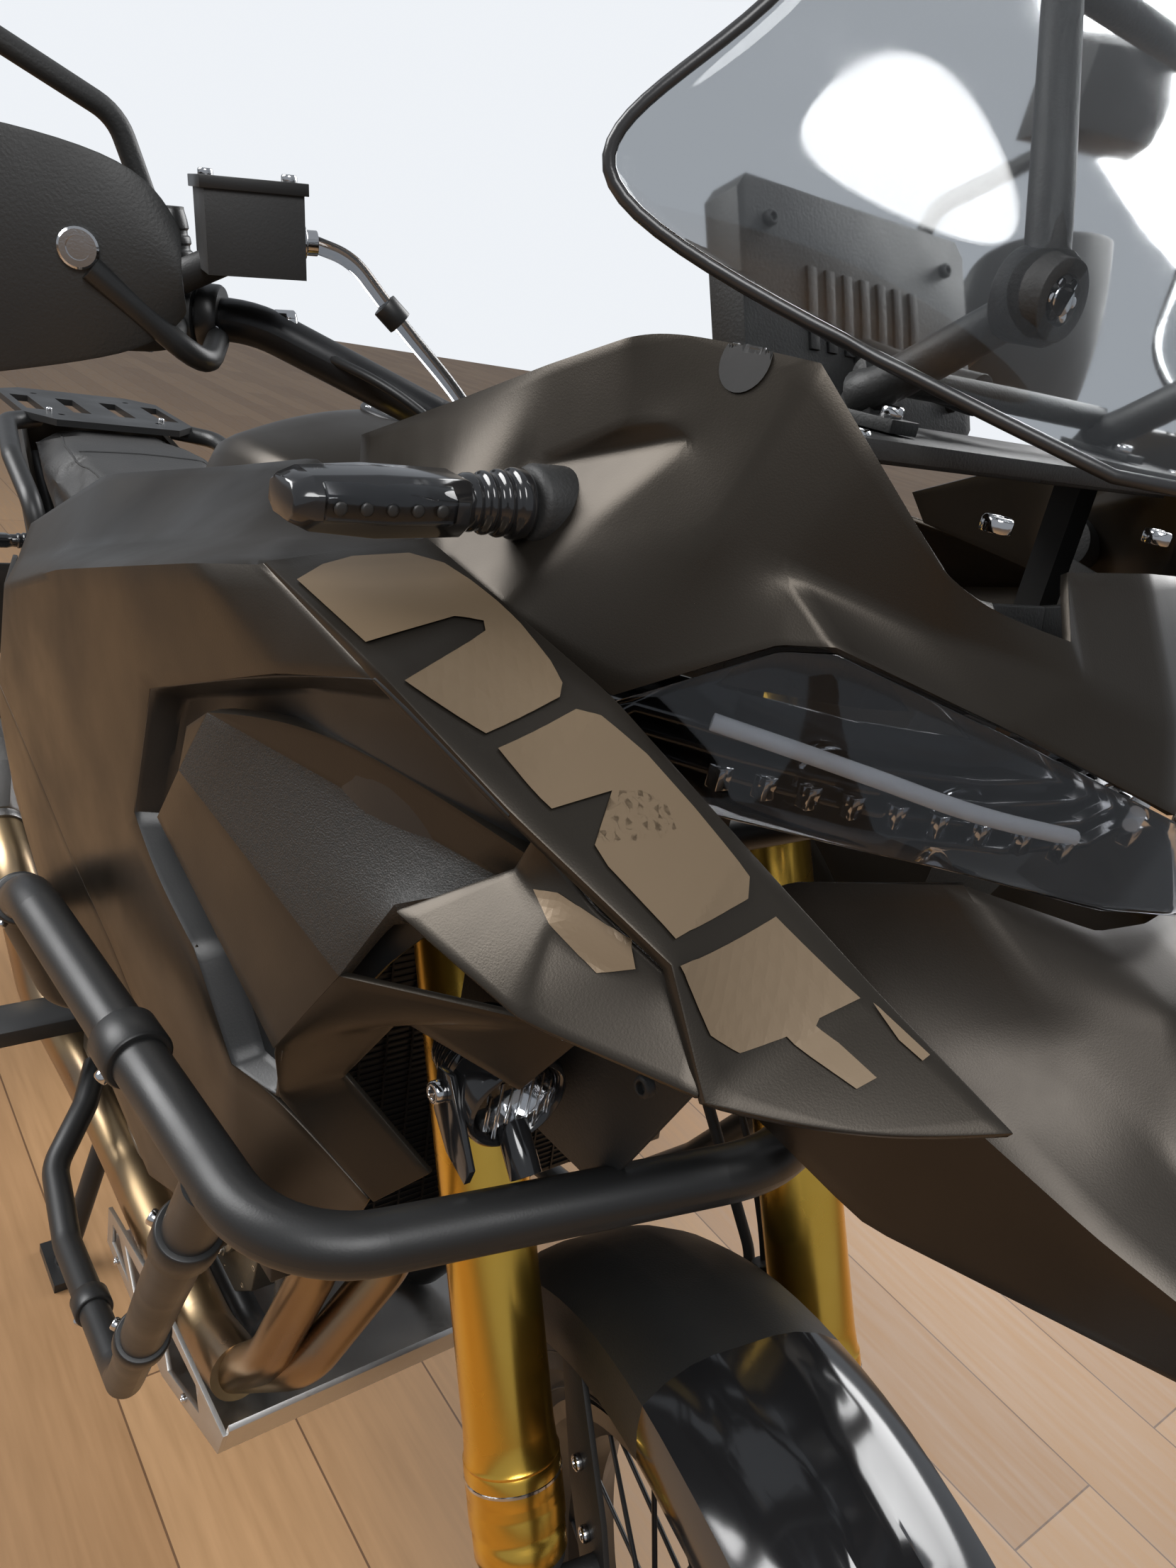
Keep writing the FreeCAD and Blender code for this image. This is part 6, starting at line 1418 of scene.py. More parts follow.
def engineDetails():
    mesh = bmesh.new()
    for side, covers in ((-1, engineCovers["right"]), (1, engineCovers["left"])):
        for index, (x, z, radius, depth) in enumerate(covers):
            y = 104.3
            crown = depth - 4
            profile = [(0, radius), (6, radius), (7.5, radius - 1.5), (8, radius - 7),
                       (depth * 0.6, radius - 8.5),
                       (depth * 0.72, radius - 11), (crown, radius - 17 - index * 3),
                       (depth - 1.2, radius - 22), (depth - 1.2, radius - 26), (depth - 3.2, radius - 27),
                       (depth - 3.2, 16), (depth - 0.8, 14), (depth - 0.8, 0.5)]
            addTurned(mesh, (x, side * y, z), (0, side, 0), profile, 72, 0)
            for k in range(9):
                angle = k * 2 * pi / 9 + 0.2 + index
                addTurned(mesh, (x + (radius - 4.2) * cos(angle), side * (y + 5),
                                 z + (radius - 4.2) * sin(angle)),
                          (0, side, 0), [(0, 6.4), (4, 6.0)], 16, 0)
                addBolt(mesh, (x + (radius - 4.2) * cos(angle), side * (y + 8.6),
                               z + (radius - 4.2) * sin(angle)),
                        (0, side, 0), 7.5, 1)
            for k in range(12):
                angle = k * pi / 6
                inner, outer = 18, radius - 28
                if outer - inner < 8:
                    continue
                p = Vector((x + inner * cos(angle), side * (y + depth - 3.4), z + inner * sin(angle)))
                q = Vector((x + outer * cos(angle), side * (y + depth - 3.4), z + outer * sin(angle)))
                across = Vector((-sin(angle), 0, cos(angle))) * 1.4
                addPrism(mesh, [p - across, q - across, q + across, p + across], (0, side * 2.0, 0), 0)
    wx, wz = engineCovers["window"]
    addTurned(mesh, (wx + 46, -128, wz - 52), (0, -1, 0),
              [(0, 15), (5, 15), (6, 13.5), (5, 11.5), (4.4, 11)], 40, 1)
    addTurned(mesh, (wx + 46, -128, wz - 52), (0, -1, 0), [(3, 11.2), (4.6, 11), (5, 9)], 40, 2)
    # oil filler cap with its grip
    addTurned(mesh, (60, -104, 452), (0, -1, 0), [(0, 19), (8, 19), (9, 17.5), (12, 17), (13, 15),
                                                  (13, 0.5)], 40, 3)
    addPrism(mesh, [(48, -116, 449), (72, -116, 449), (72, -116, 455), (48, -116, 455)], (0, -5, 0), 3)
    for side in (1, -1):
        # casing flange with bolts
        rim = [(-49, 290), (-49, 500), (20, 519), (206, 515), (209, 420), (196, 324), (163, 290)]
        closed = rim + rim[:1]
        for (x0, z0), (x1, z1) in zip(closed, closed[1:]):
            addTube(mesh, [(x0, side * 101.5, z0), (x1, side * 101.5, z1)], 2.6, 8, 0)
            steps = max(int(Vector((x1 - x0, z1 - z0)).length // 46), 1)
            for step in range(steps):
                t = (step + 0.5) / steps
                addBolt(mesh, (x0 + (x1 - x0) * t, side * 100.6, z0 + (z1 - z0) * t), (0, side, 0), 7, 1)
        for k in range(5):
            x = -136 + k * 18
            addPrism(mesh, [(x, side * 77, 345), (x + 3, side * 77, 345), (x + 3, side * 77, 458),
                            (x, side * 77, 458)],
                     (0, side * 4, 0), 0)
    # cooling ribs round the cylinders and a head cover with bolts
    for k in range(9):
        z = 536 + k * 12.4
        addPrism(mesh, [(31 + k * 1.4, -97, z), (206, -97, z - 1), (206, 97, z - 1), (31 + k * 1.4, 97, z)],
                 (0, 0, 3.2), 0)
    for side in (1, -1):
        for x, z in ((66, 748), (118, 776), (176, 768), (206, 700), (60, 690), (130, 668)):
            addTurned(mesh, (x, side * 98, z), (0, side, 0), [(0, 9), (3.4, 8)], 20, 0)
            addBolt(mesh, (x, side * 101, z), (0, side, 0), 8, 1)
        addTurned(mesh, (130, side * 99, 716), (0, side, 0),
                  [(0, 26), (2, 26), (3, 24), (3.6, 14), (4.4, 13), (4.4, 0.5)], 40, 0)
        for k in range(4):
            addPrism(mesh, [(76 + k * 30, side * 99.5, 694 + k * 2),
                            (94 + k * 30, side * 99.5, 692 + k * 2),
                            (94 + k * 30, side * 99.5, 695 + k * 2),
                            (76 + k * 30, side * 99.5, 697 + k * 2)], (0, side * 2.5, 0), 0)
    return made("engine_details", mesh, [coverBronze, polishedSteel, clearLens, satinBlack], "root", 0.5)


engineSet = engineDetails()
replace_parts(engineSet, "engine_covers")
print("tank and engine made")

# Radiator slats and hoses

radiatorPlace = Matrix.Translation(Vector((0.334, 0, 0.796))) @ Matrix.Rotation(radians(-6), 4, "Y")
slat = bmesh.new()
addPrism(slat, [(-16.2, -148, -246), (16.2, -148, -246), (16.2, 148, -246), (-16.2, 148, -246)],
         (0, 0, 1.2))
repeated("radiator_slats", slat, 49, (0, 0, 5), (0, 0, 0), blackAluminium, "root", radiatorPlace)
columns = bmesh.new()
addPrism(columns, [(-16.8, -140, -248), (16.8, -140, -248), (16.8, -138.4, -248), (-16.8, -138.4, -248)],
         (0, 0, 246))
repeated("radiator_columns", columns, 15, (0, 19.9, 0), (0, 0, 0), blackAluminium, "root", radiatorPlace)


def coolantHoses():
    mesh = bmesh.new()
    for side, top in ((1, 748), (-1, 572)):
        path = roundedPath([(318, side * 150, top), (286, side * 142, top + 4), (250, side * 118, top - 14),
                            (216, side * 92, top - 20 if top > 600 else 600)], 30, 8)
        addTube(mesh, path, 12, 18, 0)
        for point in (path[3], path[-4]):
            following = path[4] - path[3] if point is path[3] else path[-3] - path[-4]
            addTurned(mesh, point, following, [(-4, 12.2), (-4, 13.2), (4, 13.2), (4, 12.2)], 24, 1)
    return made("coolant_hoses", mesh, [softRubber, polishedSteel], "root")


coolantHoses()
print("radiator made")

# Windscreen: a clear curved sheet with a dark edge, its arms, and the display behind it

screenLevels = [
    # height, front x, half width, x of the side edge
    (1171, 721, 62, 700), (1190, 716, 116, 641), (1221, 702, 194, 557), (1250, 690, 189, 561),
    (1300, 664, 136, 592), (1360, 624, 118, 568), (1403, 588, 82, 563),
]


def screenSheet():
    mesh = bmesh.new()
    rows = []
    for height, frontX, half, edgeX in screenLevels:
        rows.append([Vector((frontX - (frontX - edgeX) * (k / 4) ** 2, half * k / 4, height)) / 1000
                     for k in range(-4, 5)])
    newFaces(mesh, rows, closedRings=False)
    cornerLayer = mesh.verts.layers.float.new("crease_vert")
    for vert in mesh.verts:
        if len(vert.link_edges) == 2:
            vert[cornerLayer] = 0.7
    bmesh.ops.recalc_face_normals(mesh, faces=mesh.faces[:])
    if sum(face.normal.x for face in mesh.faces) < 0:
        bmesh.ops.reverse_faces(mesh, faces=mesh.faces[:])
    thing = meshObject("screenSource", mesh)
    subdivision = thing.modifiers.new("subdivision", "SUBSURF")
    subdivision.levels = subdivision.render_levels = 3
    depsgraph = bpy.context.evaluated_depsgraph_get()
    sheet = bpy.data.meshes.new_from_object(thing.evaluated_get(depsgraph))
    bpy.data.objects.remove(thing, do_unlink=True)
    return sheet


def boundaryPath(sheet):
    mesh = bmesh.new()
    mesh.from_mesh(sheet)
    start = next(edge for edge in mesh.edges if edge.is_boundary)
    path, edge, vert = [start.verts[0].co * 1000], start, start.verts[1]
    while vert != start.verts[0]:
        path.append(vert.co * 1000)
        edge = next(other for other in vert.link_edges if other.is_boundary and other != edge)
        vert = edge.other_vert(vert)
    mesh.free()
    return path


def screenPieces():
    sheet = screenSheet()
    edgeMesh = bmesh.new()
    path = [point + Vector((-2, 0, 0)) for point in boundaryPath(sheet)]
    addTube(edgeMesh, path, 2.5, 10, closedAlong=True)
    made("windscreen_edge", edgeMesh, [screenEdge], "root")
    thing = bpy.data.objects.new("windscreenSource", sheet)
    scene.collection.objects.link(thing)
    thickened(thing, 4.0, 0.8)
    return finished(thing, "windscreen_sheet", screenClear, "root")


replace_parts(screenPieces(), "windscreen")


def screenArms():
    mesh = bmesh.new()
    for side in (1, -1):
        foot, boss, top = (600, side * 84, 1178), (662, side * 80, 1220), (618, side * 60, 1318)
        addTube(mesh, roundedPath([foot, (612, side * 84, 1184), boss], 14), [9, 8.6] + [8] * 6 + [7.4], 20,
                0)
        addTube(mesh, roundedPath([boss, (655, side * 78, 1240), top], 20), [9.4, 8.6] + [7.4] * 6 + [6.6],
                20, 0)
        addTurned(mesh, (650, side * 80, 1220), (1, 0, 0),
                  [(0, 12), (2, 15), (16, 15), (18, 13.6), (20, 13), (20, 8),
                   (17.5, 7.6), (17.5, 0.5)], 40, 0)
        for k in range(6):
            angle = k * pi / 3
            addTurned(mesh, (667.6, side * 80 + 5.6 * cos(angle), 1220 + 5.6 * sin(angle)), (1, 0, 0),
                      [(0, 1.9), (2.4, 1.9)], 10, 1)
        addTurned(mesh, (667.6, side * 80, 1220), (1, 0, 0), [(0, 5.4), (2.2, 5.4), (2.8, 4.6)], 24, 1)
        addTurned(mesh, top, (0.5, 0, 0.85), [(-8, 8), (6, 8), (8, 6.4)], 24, 0)
        addPrism(mesh, [(590, side * 76, 1168), (626, side * 76, 1168), (626, side * 92, 1168),
                        (590, side * 92, 1168)],
                 (0, 0, 5), 0)
        addPrism(mesh, [(593, side * 80, 1172), (612, side * 80, 1172), (602, side * 80, 1192)],
                 (0, side * 8, 0), 0)
        addBolt(mesh, (618, side * 84, 1172.8), (0, 0, 1), 9, 1)
    addTube(mesh, [(618, -60, 1318), (618, 60, 1318)], 6, 18, 0)
    addTube(mesh, [(600, -84, 1186), (600, 84, 1186)], 6, 18, 0)
    return made("windscreen_arms", mesh, [grainedBlack, polishedSteel], "root", 0.5)


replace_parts(screenArms(), "screen_bracket")


def displayPiece():
    # built upright about its foot, then leaned towards the rider
    mesh = bmesh.new()
    addPrism(mesh, [(2, -74, 2), (2, 74, 2), (2, 80, 10), (2, 80, 96), (2, 74, 103), (2, -74, 103),
                    (2, -80, 96),
                    (2, -80, 10)], (20, 0, 0), 0)
    addPrism(mesh, [(2.2, -76, 5), (2.2, 76, 5), (2.2, 76, 99), (2.2, -76, 99)], (-2.2, 0, 0), 0)
    addPrism(mesh, [(0.2, -71, 14), (0.2, 71, 14), (0.2, 71, 95), (0.2, -71, 95)], (-0.8, 0, 0), 1)
    for y in (-62, 62):
        addBolt(mesh, (22, y, 20), (1, 0, 0), 7, 2)
        addBolt(mesh, (22, y, 86), (1, 0, 0), 7, 2)
    for k in range(7):
        addPrism(mesh, [(21.5, -40 + k * 12, 34), (21.5, -34 + k * 12, 34), (21.5, -34 + k * 12, 70),
                        (21.5, -40 + k * 12, 70)],
                 (2, 0, 0), 0)
    for y in (-30, 0, 30):
        addTurned(mesh, (0, y, 9.5), (-1, 0, 0), [(0, 4), (1.4, 4), (1.8, 3.2)], 18, 2)
    place = Matrix.Translation(Vector((0.522, 0, 1.150))) @ Matrix.Rotation(radians(-24), 4, "Y")
    return made("display_housing", mesh, [grainedBlack, glossBlack, softRubber], "root", 1.2, place)


displayHousing = displayPiece()
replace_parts(displayHousing, "instrument_display")
armMesh = bmesh.new()
addTube(armMesh, [(512, 0, 1191), (560, 0, 1188), (593.4, 0, 1186)], [11, 8, 9], 20)
for armY in (-12, 12):
    addTurned(armMesh, (584, armY, 1186), (1, 0, 0), [(0, 5), (8, 5)], 14)
made("display_arm", armMesh, [grainedBlack], "root", 0.5)
print("windscreen and display made")

# Fog lamps: finned body, black bezel, reflector and clear lens


def fogLampPiece():
    mesh = bmesh.new()
    centre, ahead = (598, -192, 888), (1, -0.04, -0.1)
    profile = [(-26, 8), (-25, 15)]
    for k in range(5):
        profile += [(-24 + k * 4, 17 + k), (-24 + k * 4, 19.4 + k * 0.6), (-22 + k * 4, 19.4 + k * 0.6),
                    (-22 + k * 4, 17 + k)]
    profile += [(-2, 20.5), (-1, 23.6), (15, 24), (18.6, 23), (19.6, 21.4), (18, 20), (12, 18)]
    addTurned(mesh, centre, ahead, profile, 56, 0, caps=False)
    addTurned(mesh, centre, ahead, [(2, 5), (6, 10), (11, 15), (15.5, 18.6), (16, 19.6), (13, 19.9),
                                    (1, 12)], 56, 1)
    addTurned(mesh, centre, ahead, [(15, 19.8), (16.8, 18.5), (18.2, 12), (18.8, 5), (18.9, 0.5)], 56, 2)
    addTurned(mesh, centre, ahead, [(6, 5.2), (12, 5.0), (13, 3.5)], 24, 3)
    for k in range(-3, 4):
        half = (17.5 ** 2 - (k * 5) ** 2) ** 0.5
        addPrism(mesh, [(615.6, -192.6 + k * 5 - 0.7, 886 - half),
                        (615.6, -192.6 + k * 5 + 0.7, 886 - half),
                        (615.6, -192.6 + k * 5 + 0.7, 886 + half),
                        (615.6, -192.6 + k * 5 - 0.7, 886 + half)], (1.2, 0, -0.1), 2)
    along = Vector((0.733, 0, -0.681))
    start = Vector(centre) + along * 20
    addTube(mesh, [start, Vector(centre) + along * 43], 7, 18, 0)
    addPrism(mesh, [(594, -216, 876), (608, -216, 864), (624, -216, 860), (626, -216, 868),
                    (602, -216, 898), (592, -216, 896)],
             (0, -3, 0), 0)
    addBolt(mesh, (598, -219, 888), (0, -1, 0), 10, 4)
    addMirrored(mesh)
    return made("fog_lamp_bodies", mesh, [glossBlack, chrome, clearLens, lampWhite, polishedSteel], "root",
                0.3)


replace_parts(fogLampPiece(), "fog_lamps")
print("fog lamps made")

# Hand guards: bowed shells on struts; grip ribs, lid and hose on the bar

guardShape = {
    # y, lead ahead of the steering axis, lower and upper edge
    "rows": [(227, 119, 1178, 1214), (236, 118, 1168, 1232), (256, 116, 1158, 1244), (296, 109, 1150, 1252),
             (330, 102, 1144, 1255), (364, 88, 1140, 1255), (395, 70, 1138, 1252), (418, 42, 1140, 1246),
             (433, 18, 1144, 1238), (441, -30, 1148, 1228)],
    "axis": 263.1, "barRight": (237.7, 400, 1178), "gripWay": (-0.35, 0.936, 0.035),
}


def guardPieces():
    mesh = bmesh.new()
    for side in (1, -1):
        rows = []
        for y, lead, low, high in guardShape["rows"]:
            rows.append([Vector((guardShape["axis"] + lead - 7 * abs(t) ** 2.2 - 0.5,
                                 side * (y - 2 * abs(t)),
                                 (low + high) / 2 + t * (high - low) / 2)) / 1000
                         for t in (-1, -0.8, -0.4, 0, 0.4, 0.8, 1)])
        newFaces(mesh, rows, closedRings=False)
    creaseLayer = mesh.edges.layers.float.new("crease_edge")
    bmesh.ops.recalc_face_normals(mesh, faces=mesh.faces[:])
    for side in (1, -1):
        half = [face for face in mesh.faces if face.calc_center_median().y * side > 0]
        if sum(face.normal.x for face in half) < 0:
            bmesh.ops.reverse_faces(mesh, faces=half)
    for edge in mesh.edges:
        if edge.is_boundary:
            edge[creaseLayer] = 0.3
    bmesh.ops.transform(mesh, matrix=steerTurn, verts=mesh.verts[:])
    thing = meshObject("guardSource", mesh)
    subdivision = thing.modifiers.new("subdivision", "SUBSURF")
    subdivision.levels = subdivision.render_levels = 2
    thickened(thing, 4.0, 1.2)
    return finished(thing, "hand_guard_shells", grainedBlack, "steering")


guardShells = guardPieces()
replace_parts(guardShells, "hand_guards")


def guardStruts():
    mesh = bmesh.new()
    end, way, axis = Vector(guardShape["barRight"]), Vector(guardShape["gripWay"]), guardShape["axis"]
    for side in (1, -1):
        def flip(point):
            return Vector((point[0], side * point[1], point[2]))
        clampPoint = end - way * 206
        addTube(mesh, roundedPath([flip(clampPoint + Vector((17, 0, -9))),
                                   flip(clampPoint + Vector((60, 10, -18))),
                                   flip((axis + 113, 266, 1196))], 20), 6, 16, 0)
        ring = flip(end - way * 200)
        addTurned(mesh, ring, flip(way) * -1, [(0, 11.4), (0, 16), (1.5, 17), (9.5, 17), (11, 16),
                                               (11, 11.4)], 36, 0)
        addBolt(mesh, ring + flip((0, -5, 0)) + Vector((15, 0, -6)), (0.8, 0, -0.5), 8, 1)
        addTurned(mesh, flip(end + way * 5), flip((0, 1, 0)), [(0, 10), (39, 10), (40.5, 8.5)], 30, 0)
        addTurned(mesh, flip(end - way * 1), flip(way), [(0, 13.5), (12, 13.5), (14, 12), (14, 0.5)], 30, 0)
        addTurned(mesh, flip((axis + 110.5, 270, 1204)), Vector((1, 0.12 * side, 0)),
                  [(0, 9), (4, 9), (5, 8), (5, 5.2),
                   (3, 5), (3, 0.5)], 30, 1)
        # ribs of the grip
        for k in range(26):
            ringPlace = flip(end - way * (10 + k * 4.4))
            addTurned(mesh, ringPlace, flip(way) * -1, [(0, 16.4), (0.4, 17.1), (1.8, 17.1), (2.2, 16.4)],
                      28, 2)
    return made("hand_guard_struts", mesh, [satinBlack, polishedSteel, softRubber], "steering", 0.0,
                steerTurn)


guardStruts()
refined("bar_controls", 1.4, softRubber, "steering")
refined("mirrors", 3.0, grainedBlack, "steering", 30)


def barFittings():
    mesh = bmesh.new()
    # mirror faces towards the rider
    outline = [(-53, -27), (-42, 30), (46, 35), (56, 4), (40, -30)]
    for side in (1, -1):
        addPrism(mesh, [(308.9, side * (357 + y), 1333.1 + z) for y, z in outline], (-1.2, 0, 0), 1)
        # a ribbed boot at the foot of each stalk
        root = Vector((303.1, side * 225, 1189.1))
        addTurned(mesh, root, (0, 0, 1), [(0, 11), (6, 11), (7, 9.6), (9, 9.6), (10, 10.6), (13, 10.2),
                                          (14, 9), (16, 9),
                                          (17, 9.8), (20, 9.4), (21, 8.2), (23, 8.2), (24, 9), (28, 8.4),
                                          (34, 6.8)], 30, 0)
    # lid of the right reservoir with two screws, banjo and clear hose
    addPrism(mesh, [(314.5, -216, 1233), (376, -216, 1233), (376, -166, 1233), (314.5, -166, 1233)],
             (0, 0, 5.5), 0)
    for x, y in ((322, -208), (368, -174)):
        addBolt(mesh, (x, y, 1238), (0, 0, 1), 7.5, 2)
    addTurned(mesh, (345, -166.5, 1212), (0, 1, 0), [(0, 8), (3, 8), (3.5, 6), (9, 6)], 24, 2)
    addTube(mesh, roundedPath([(345, -160, 1212), (346, -140, 1206), (352, -116, 1176), (356, -84, 1142),
                               (340, -52, 1100)],
                              26, 8), 4.2, 14, 3)
    addTurned(mesh, (351, -120, 1181), (0.1, 0.7, -0.7), [(-6, 4.3), (-6, 7), (6, 7), (6, 4.3)], 24, 0)
    addTurned(mesh, (318, -176, 1170), (0, 1, 0), [(0, 7.5), (10, 7.5), (11, 6)], 20, 2)
    for side, lift in ((1, 0), (-1, -6)):
        addTube(mesh, roundedPath([(318, side * 168, 1168 + lift), (352, side * 120, 1150 + lift),
                                   (362, side * 80, 1118 + lift),
                                   (352, side * 58, 1068)], 40, 8), 2.8, 10, 0)
    # bar clamps with four bolts
    for side in (1, -1):
        addTurned(mesh, (333.7, side * 30, 1120), (0, side, 0),
                  [(0, 14.6), (0, 20), (1.5, 21), (24, 21), (25.5, 20),
                   (25.5, 14.6)], 40, 0)
        for shift in (-15, 15):
            for y in (36, 49):
                addBolt(mesh, (333.7 + shift, side * y, 1134), (0, 0, 1), 7.5, 2)
    return made("bar_fittings", mesh, [satinBlack, chrome, polishedSteel, smokedLens], "steering", 0.3,
                steerTurn)


barFittings()
print("bar made")

# Fittings of the sides and the rear: bands, clamps, and bolts dropped on to the piece that carries them

mufflerBands = {
    "start": (-402, -192, 510),
    "run": (-0.95, -0.02, 0.28),
    # bands: place, half width, half height, width
    "bands": [(120, 53, 64, 16), (300, 55.5, 68.5, 16), (346, 56, 70, 5)],
    "holes": 7,
}
barClamps = {
    "runs": [((612, 292, 840), (330, 316, 846)), ((330, 316, 846), (190, 296, 760)),
             ((560, 297, 838), (500, 292, 720)),
             ((500, 292, 720), (352, 262, 470)), ((246, 232, 338), (60, 226, 302))],
    "radius": 12.9,
    "wall": 3.1,
    "width": 22,
}


def mufflerFittings():
    mesh = bmesh.new()
    start, run = Vector(mufflerBands["start"]), Vector(mufflerBands["run"]).normalized()
    outline = [(-1, -0.4), (-1, 0.4), (-0.4, 1), (0.4, 1), (1, 0.4), (1, -0.4), (0.4, -1), (-0.4, -1)]
    up = Vector((0.28, 0, 0.95)).normalized()
    side = run.cross(up).normalized()
    for distance, half, tall, width in mufflerBands["bands"]:
        rings = []
        for shift, grow in ((0, 0), (0, 2.4), (width, 2.4), (width, 0)):
            centre = start + run * (distance + shift)
            rings.append([(centre + side * a * (half + grow) + up * b * (tall + grow)) / 1000
                          for a, b in outline])
        newFaces(mesh, rings, slot=0 if width > 10 else 1)
    addTurned(mesh, start + run * 396, run, [(0, 30), (4, 30), (6, 27), (6, 23.4)], 48, 0)
    for k in range(mufflerBands["holes"]):
        centre = start + run * (150 + k * 20) - Vector((0, 56.5, 0))
        addTurned(mesh, centre, (0, -1, 0), [(0, 7), (1.6, 7), (2, 6), (0.6, 4.4), (0.6, 0.5)], 18, 0)
    addTurned(mesh, start - run * 16, run, [(0, 25.3), (0, 28), (12, 28), (12, 25.3)], 40, 1)
    return made("muffler_fittings", mesh, [satinBlack, brushedSteel], "root", 0.4)


def crashBarClamps():
    mesh = bmesh.new()
    inner, wall, width = barClamps["radius"], barClamps["wall"], barClamps["width"]
    profile = [(0, inner), (0, inner + wall - 1), (1.5, inner + wall), (width - 1.5, inner + wall),
               (width, inner + wall - 1), (width, inner)]
    for side in (1, -1):
        for one, other in barClamps["runs"]:
            one, other = (Vector((x, side * y, z)) for x, y, z in (one, other))
            axis = (other - one).normalized()
            middle = (one + other) / 2
            addTurned(mesh, middle - axis * width / 2, axis, profile, 36, 0)
            out = axis.orthogonal().normalized()
            addBolt(mesh, middle + out * (inner + wall - 0.5), out, 7.5, 1)
    return made("crash_bar_clamps", mesh, [satinBlack, polishedSteel], "root", 0.3)


def boltOn(mesh, tree, start, way, size):
    # a bolt where a ray, in millimetres, meets its carrier
    way = Vector(way).normalized()
    place, normal = tree.ray_cast(Vector(start) / 1000, way)[:2]
    if place is not None:
        addBolt(mesh, tuple(place * 1000), tuple(-normal if normal.dot(way) > 0 else normal), size, 0)


boltRows = {
    "tail_fairing": [(x, 300, 735 - (x + 250) * 0.2, 0, -1, 0) for x in (-250, -390, -530, -670, -800)],
    "rear_rack": [(-700, 70, 1100, 0, 0, -1), (-880, 70, 1100, 0, 0, -1)],
    "plate_holder": [(-1400, 22, 560, 1, 0, 0), (-1400, 22, 690, 1, 0, 0)],
    "swingarm": [(-210, 400, 450, 0, -1, 0), (-420, 400, 424, 0, -1, 0), (-610, 400, 388, 0, -1, 0)],
    "skid_plate": [(30, 400, 226, 0, -1, 0), (120, 400, 226, 0, -1, 0), (230, 400, 256, 0, -1, 0)],
}


def sideBolts():
    for carrier, rows in boltRows.items():
        tree = BVHTree.FromObject(bpy.data.objects.get(carrier + "_body") or nodes[carrier],
                                  bpy.context.evaluated_depsgraph_get())
        mesh = bmesh.new()
        for side in (1, -1):
            for x, y, z, wayX, wayY, wayZ in rows:
                boltOn(mesh, tree, (x, side * y, z), (wayX, side * wayY, wayZ), 8)
        made(carrier + "_bolts", mesh, [polishedSteel], "root", 0.3)


mufflerFittings()
crashBarClamps()
sideBolts()
print("fittings made")

# Studio: floor, light, camera

studio = {
    "plankLight": (0.46, 0.27, 0.13),
    "plankDark": (0.36, 0.20, 0.09),
    "worldColour": (0.80, 0.85, 0.92),
    "worldStrength": 0.42,
    "lamps": [
        # place, aim, size, power
        ((-1.6, -2.6, 3.2), (0.4, -0.2, 0.9), 2.6, 170),
        ((2.4, -1.2, 3.2), (0.5, 0, 0.8), 1.6, 60),
        ((-0.4, 3.2, 2.8), (0.3, 0, 0.9), 3.0, 130),
    ],
    "cameraPlace": (0.9045, -0.4396, 1.1913),
    "cameraTurn": (66.9, -10.813, 53.812),
    "focalLength": 26.04,
}


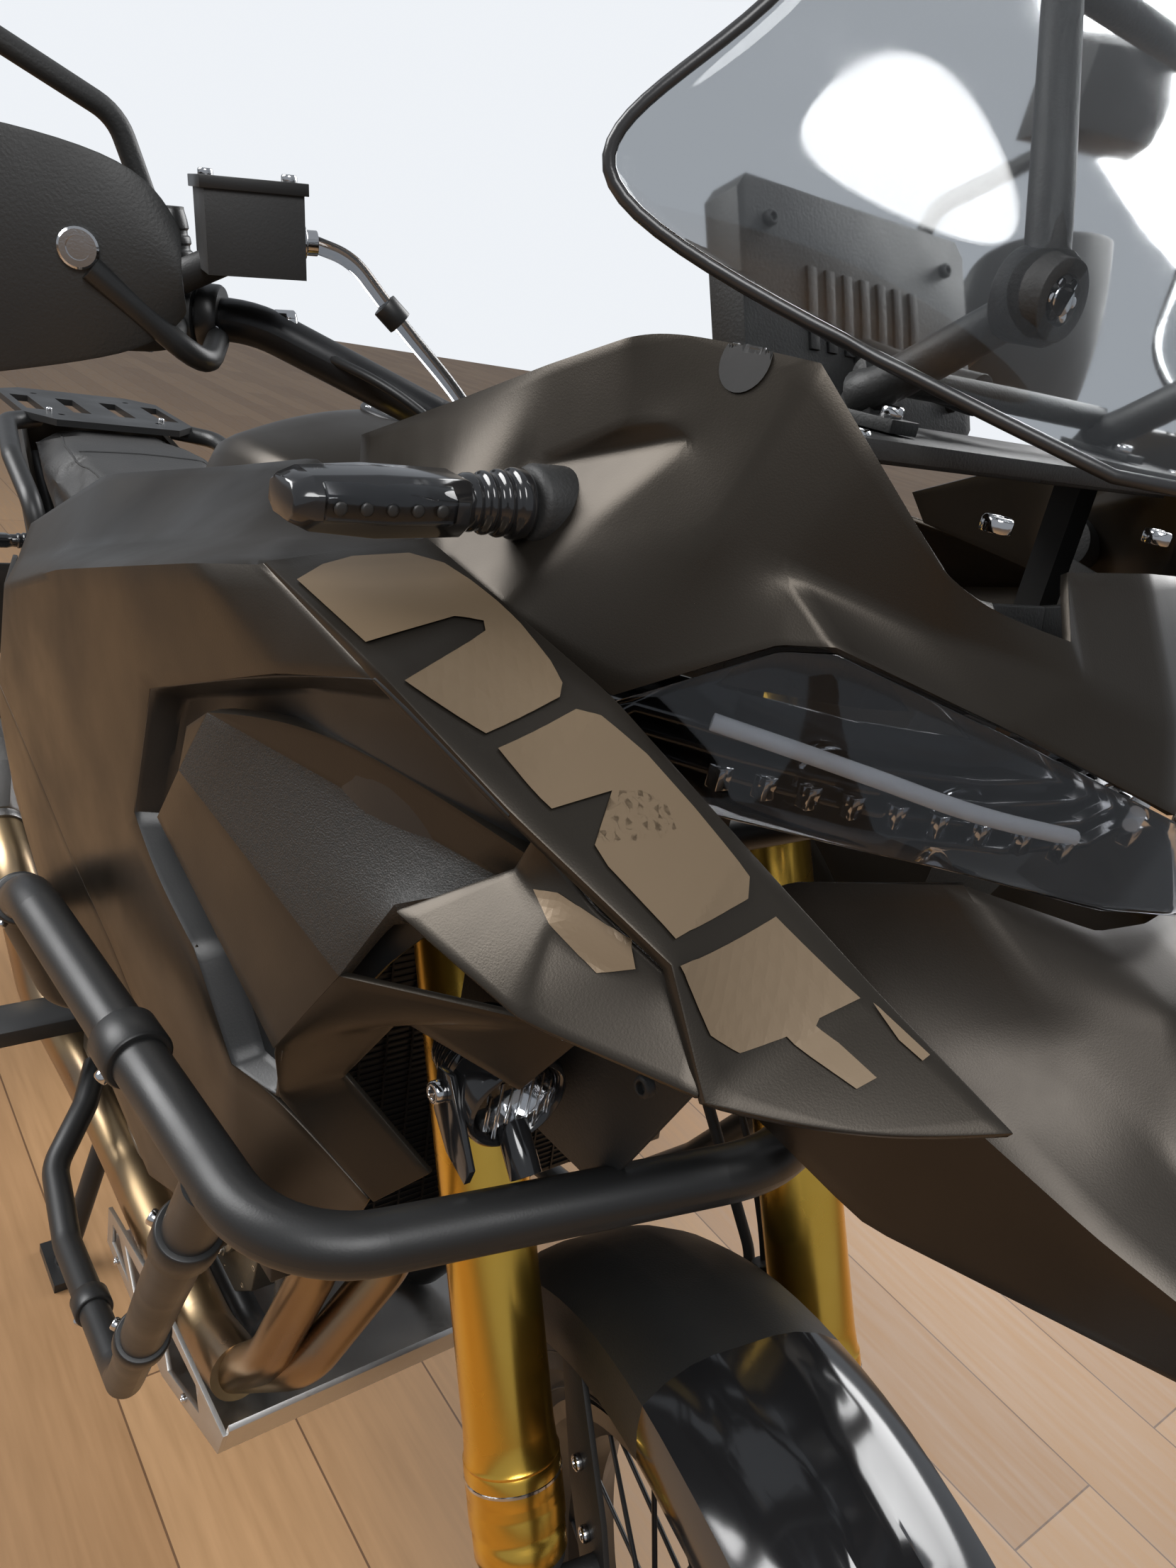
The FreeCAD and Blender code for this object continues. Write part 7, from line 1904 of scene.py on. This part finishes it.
def plankFloor():
    material, tree, shader = startMaterial("plank floor")
    coords = tree.nodes.new("ShaderNodeTexCoord")
    bricks = tree.nodes.new("ShaderNodeTexBrick")
    bricks.inputs["Scale"].default_value = 1.0
    bricks.inputs["Brick Width"].default_value = 1.3
    bricks.inputs["Row Height"].default_value = 0.16
    bricks.inputs["Mortar Size"].default_value = 0.0012
    bricks.inputs["Color1"].default_value = (*studio["plankLight"], 1)
    bricks.inputs["Color2"].default_value = (*studio["plankDark"], 1)
    bricks.inputs["Mortar"].default_value = (0.14, 0.07, 0.03, 1)
    tree.links.new(coords.outputs["Object"], bricks.inputs["Vector"])
    grain = noiseOn(tree, 7.0, 6.0, (1, 14, 1))
    mix = tree.nodes.new("ShaderNodeMix")
    mix.data_type = "RGBA"
    mix.blend_type = "MULTIPLY"
    mix.inputs[0].default_value = 0.35
    tree.links.new(bricks.outputs["Color"], mix.inputs[6])
    tree.links.new(grain.outputs["Fac"], mix.inputs[7])
    tree.links.new(mix.outputs[2], shader.inputs["Base Color"])
    tree.links.new(ramped(tree, grain.outputs["Fac"], 0.42, 0.56), shader.inputs["Roughness"])
    return material


def makeStudio():
    bpy.ops.mesh.primitive_plane_add(size=30)
    floor = bpy.context.object
    floor.name = "floor"
    paint(floor, plankFloor())
    world = bpy.data.worlds.new("studio world")
    scene.world = world
    world.use_nodes = True
    tree = world.node_tree
    background = tree.nodes["Background"]
    background.inputs["Color"].default_value = (*studio["worldColour"], 1)
    background.inputs["Strength"].default_value = studio["worldStrength"]
    white = tree.nodes.new("ShaderNodeBackground")
    white.inputs["Color"].default_value = (0.86, 0.89, 0.93, 1)
    rays = tree.nodes.new("ShaderNodeLightPath")
    mix = tree.nodes.new("ShaderNodeMixShader")
    tree.links.new(rays.outputs["Is Camera Ray"], mix.inputs["Fac"])
    tree.links.new(background.outputs["Background"], mix.inputs[1])
    tree.links.new(white.outputs["Background"], mix.inputs[2])
    tree.links.new(mix.outputs["Shader"], tree.nodes["World Output"].inputs["Surface"])
    for index, (place, aim, size, power) in enumerate(studio["lamps"]):
        light = bpy.data.lights.new(f"lamp {index}", "AREA")
        light.shape = "DISK"
        light.size = size
        light.energy = power
        lamp = bpy.data.objects.new(light.name, light)
        lamp.location = place
        lamp.rotation_euler = (Vector(aim) - Vector(place)).to_track_quat("-Z", "Y").to_euler()
        scene.collection.objects.link(lamp)


def makeCamera():
    lens = bpy.data.cameras.new("camera")
    lens.sensor_width = 36.0
    lens.sensor_fit = "AUTO"
    lens.lens = studio["focalLength"]
    lens.clip_start = 0.02
    camera = bpy.data.objects.new("camera", lens)
    camera.location = studio["cameraPlace"]
    camera.rotation_euler = Euler([radians(angle) for angle in studio["cameraTurn"]], "XYZ")
    scene.collection.objects.link(camera)
    scene.camera = camera


makeStudio()
makeCamera()
scene.view_settings.view_transform = "Standard"
print("studio ready")
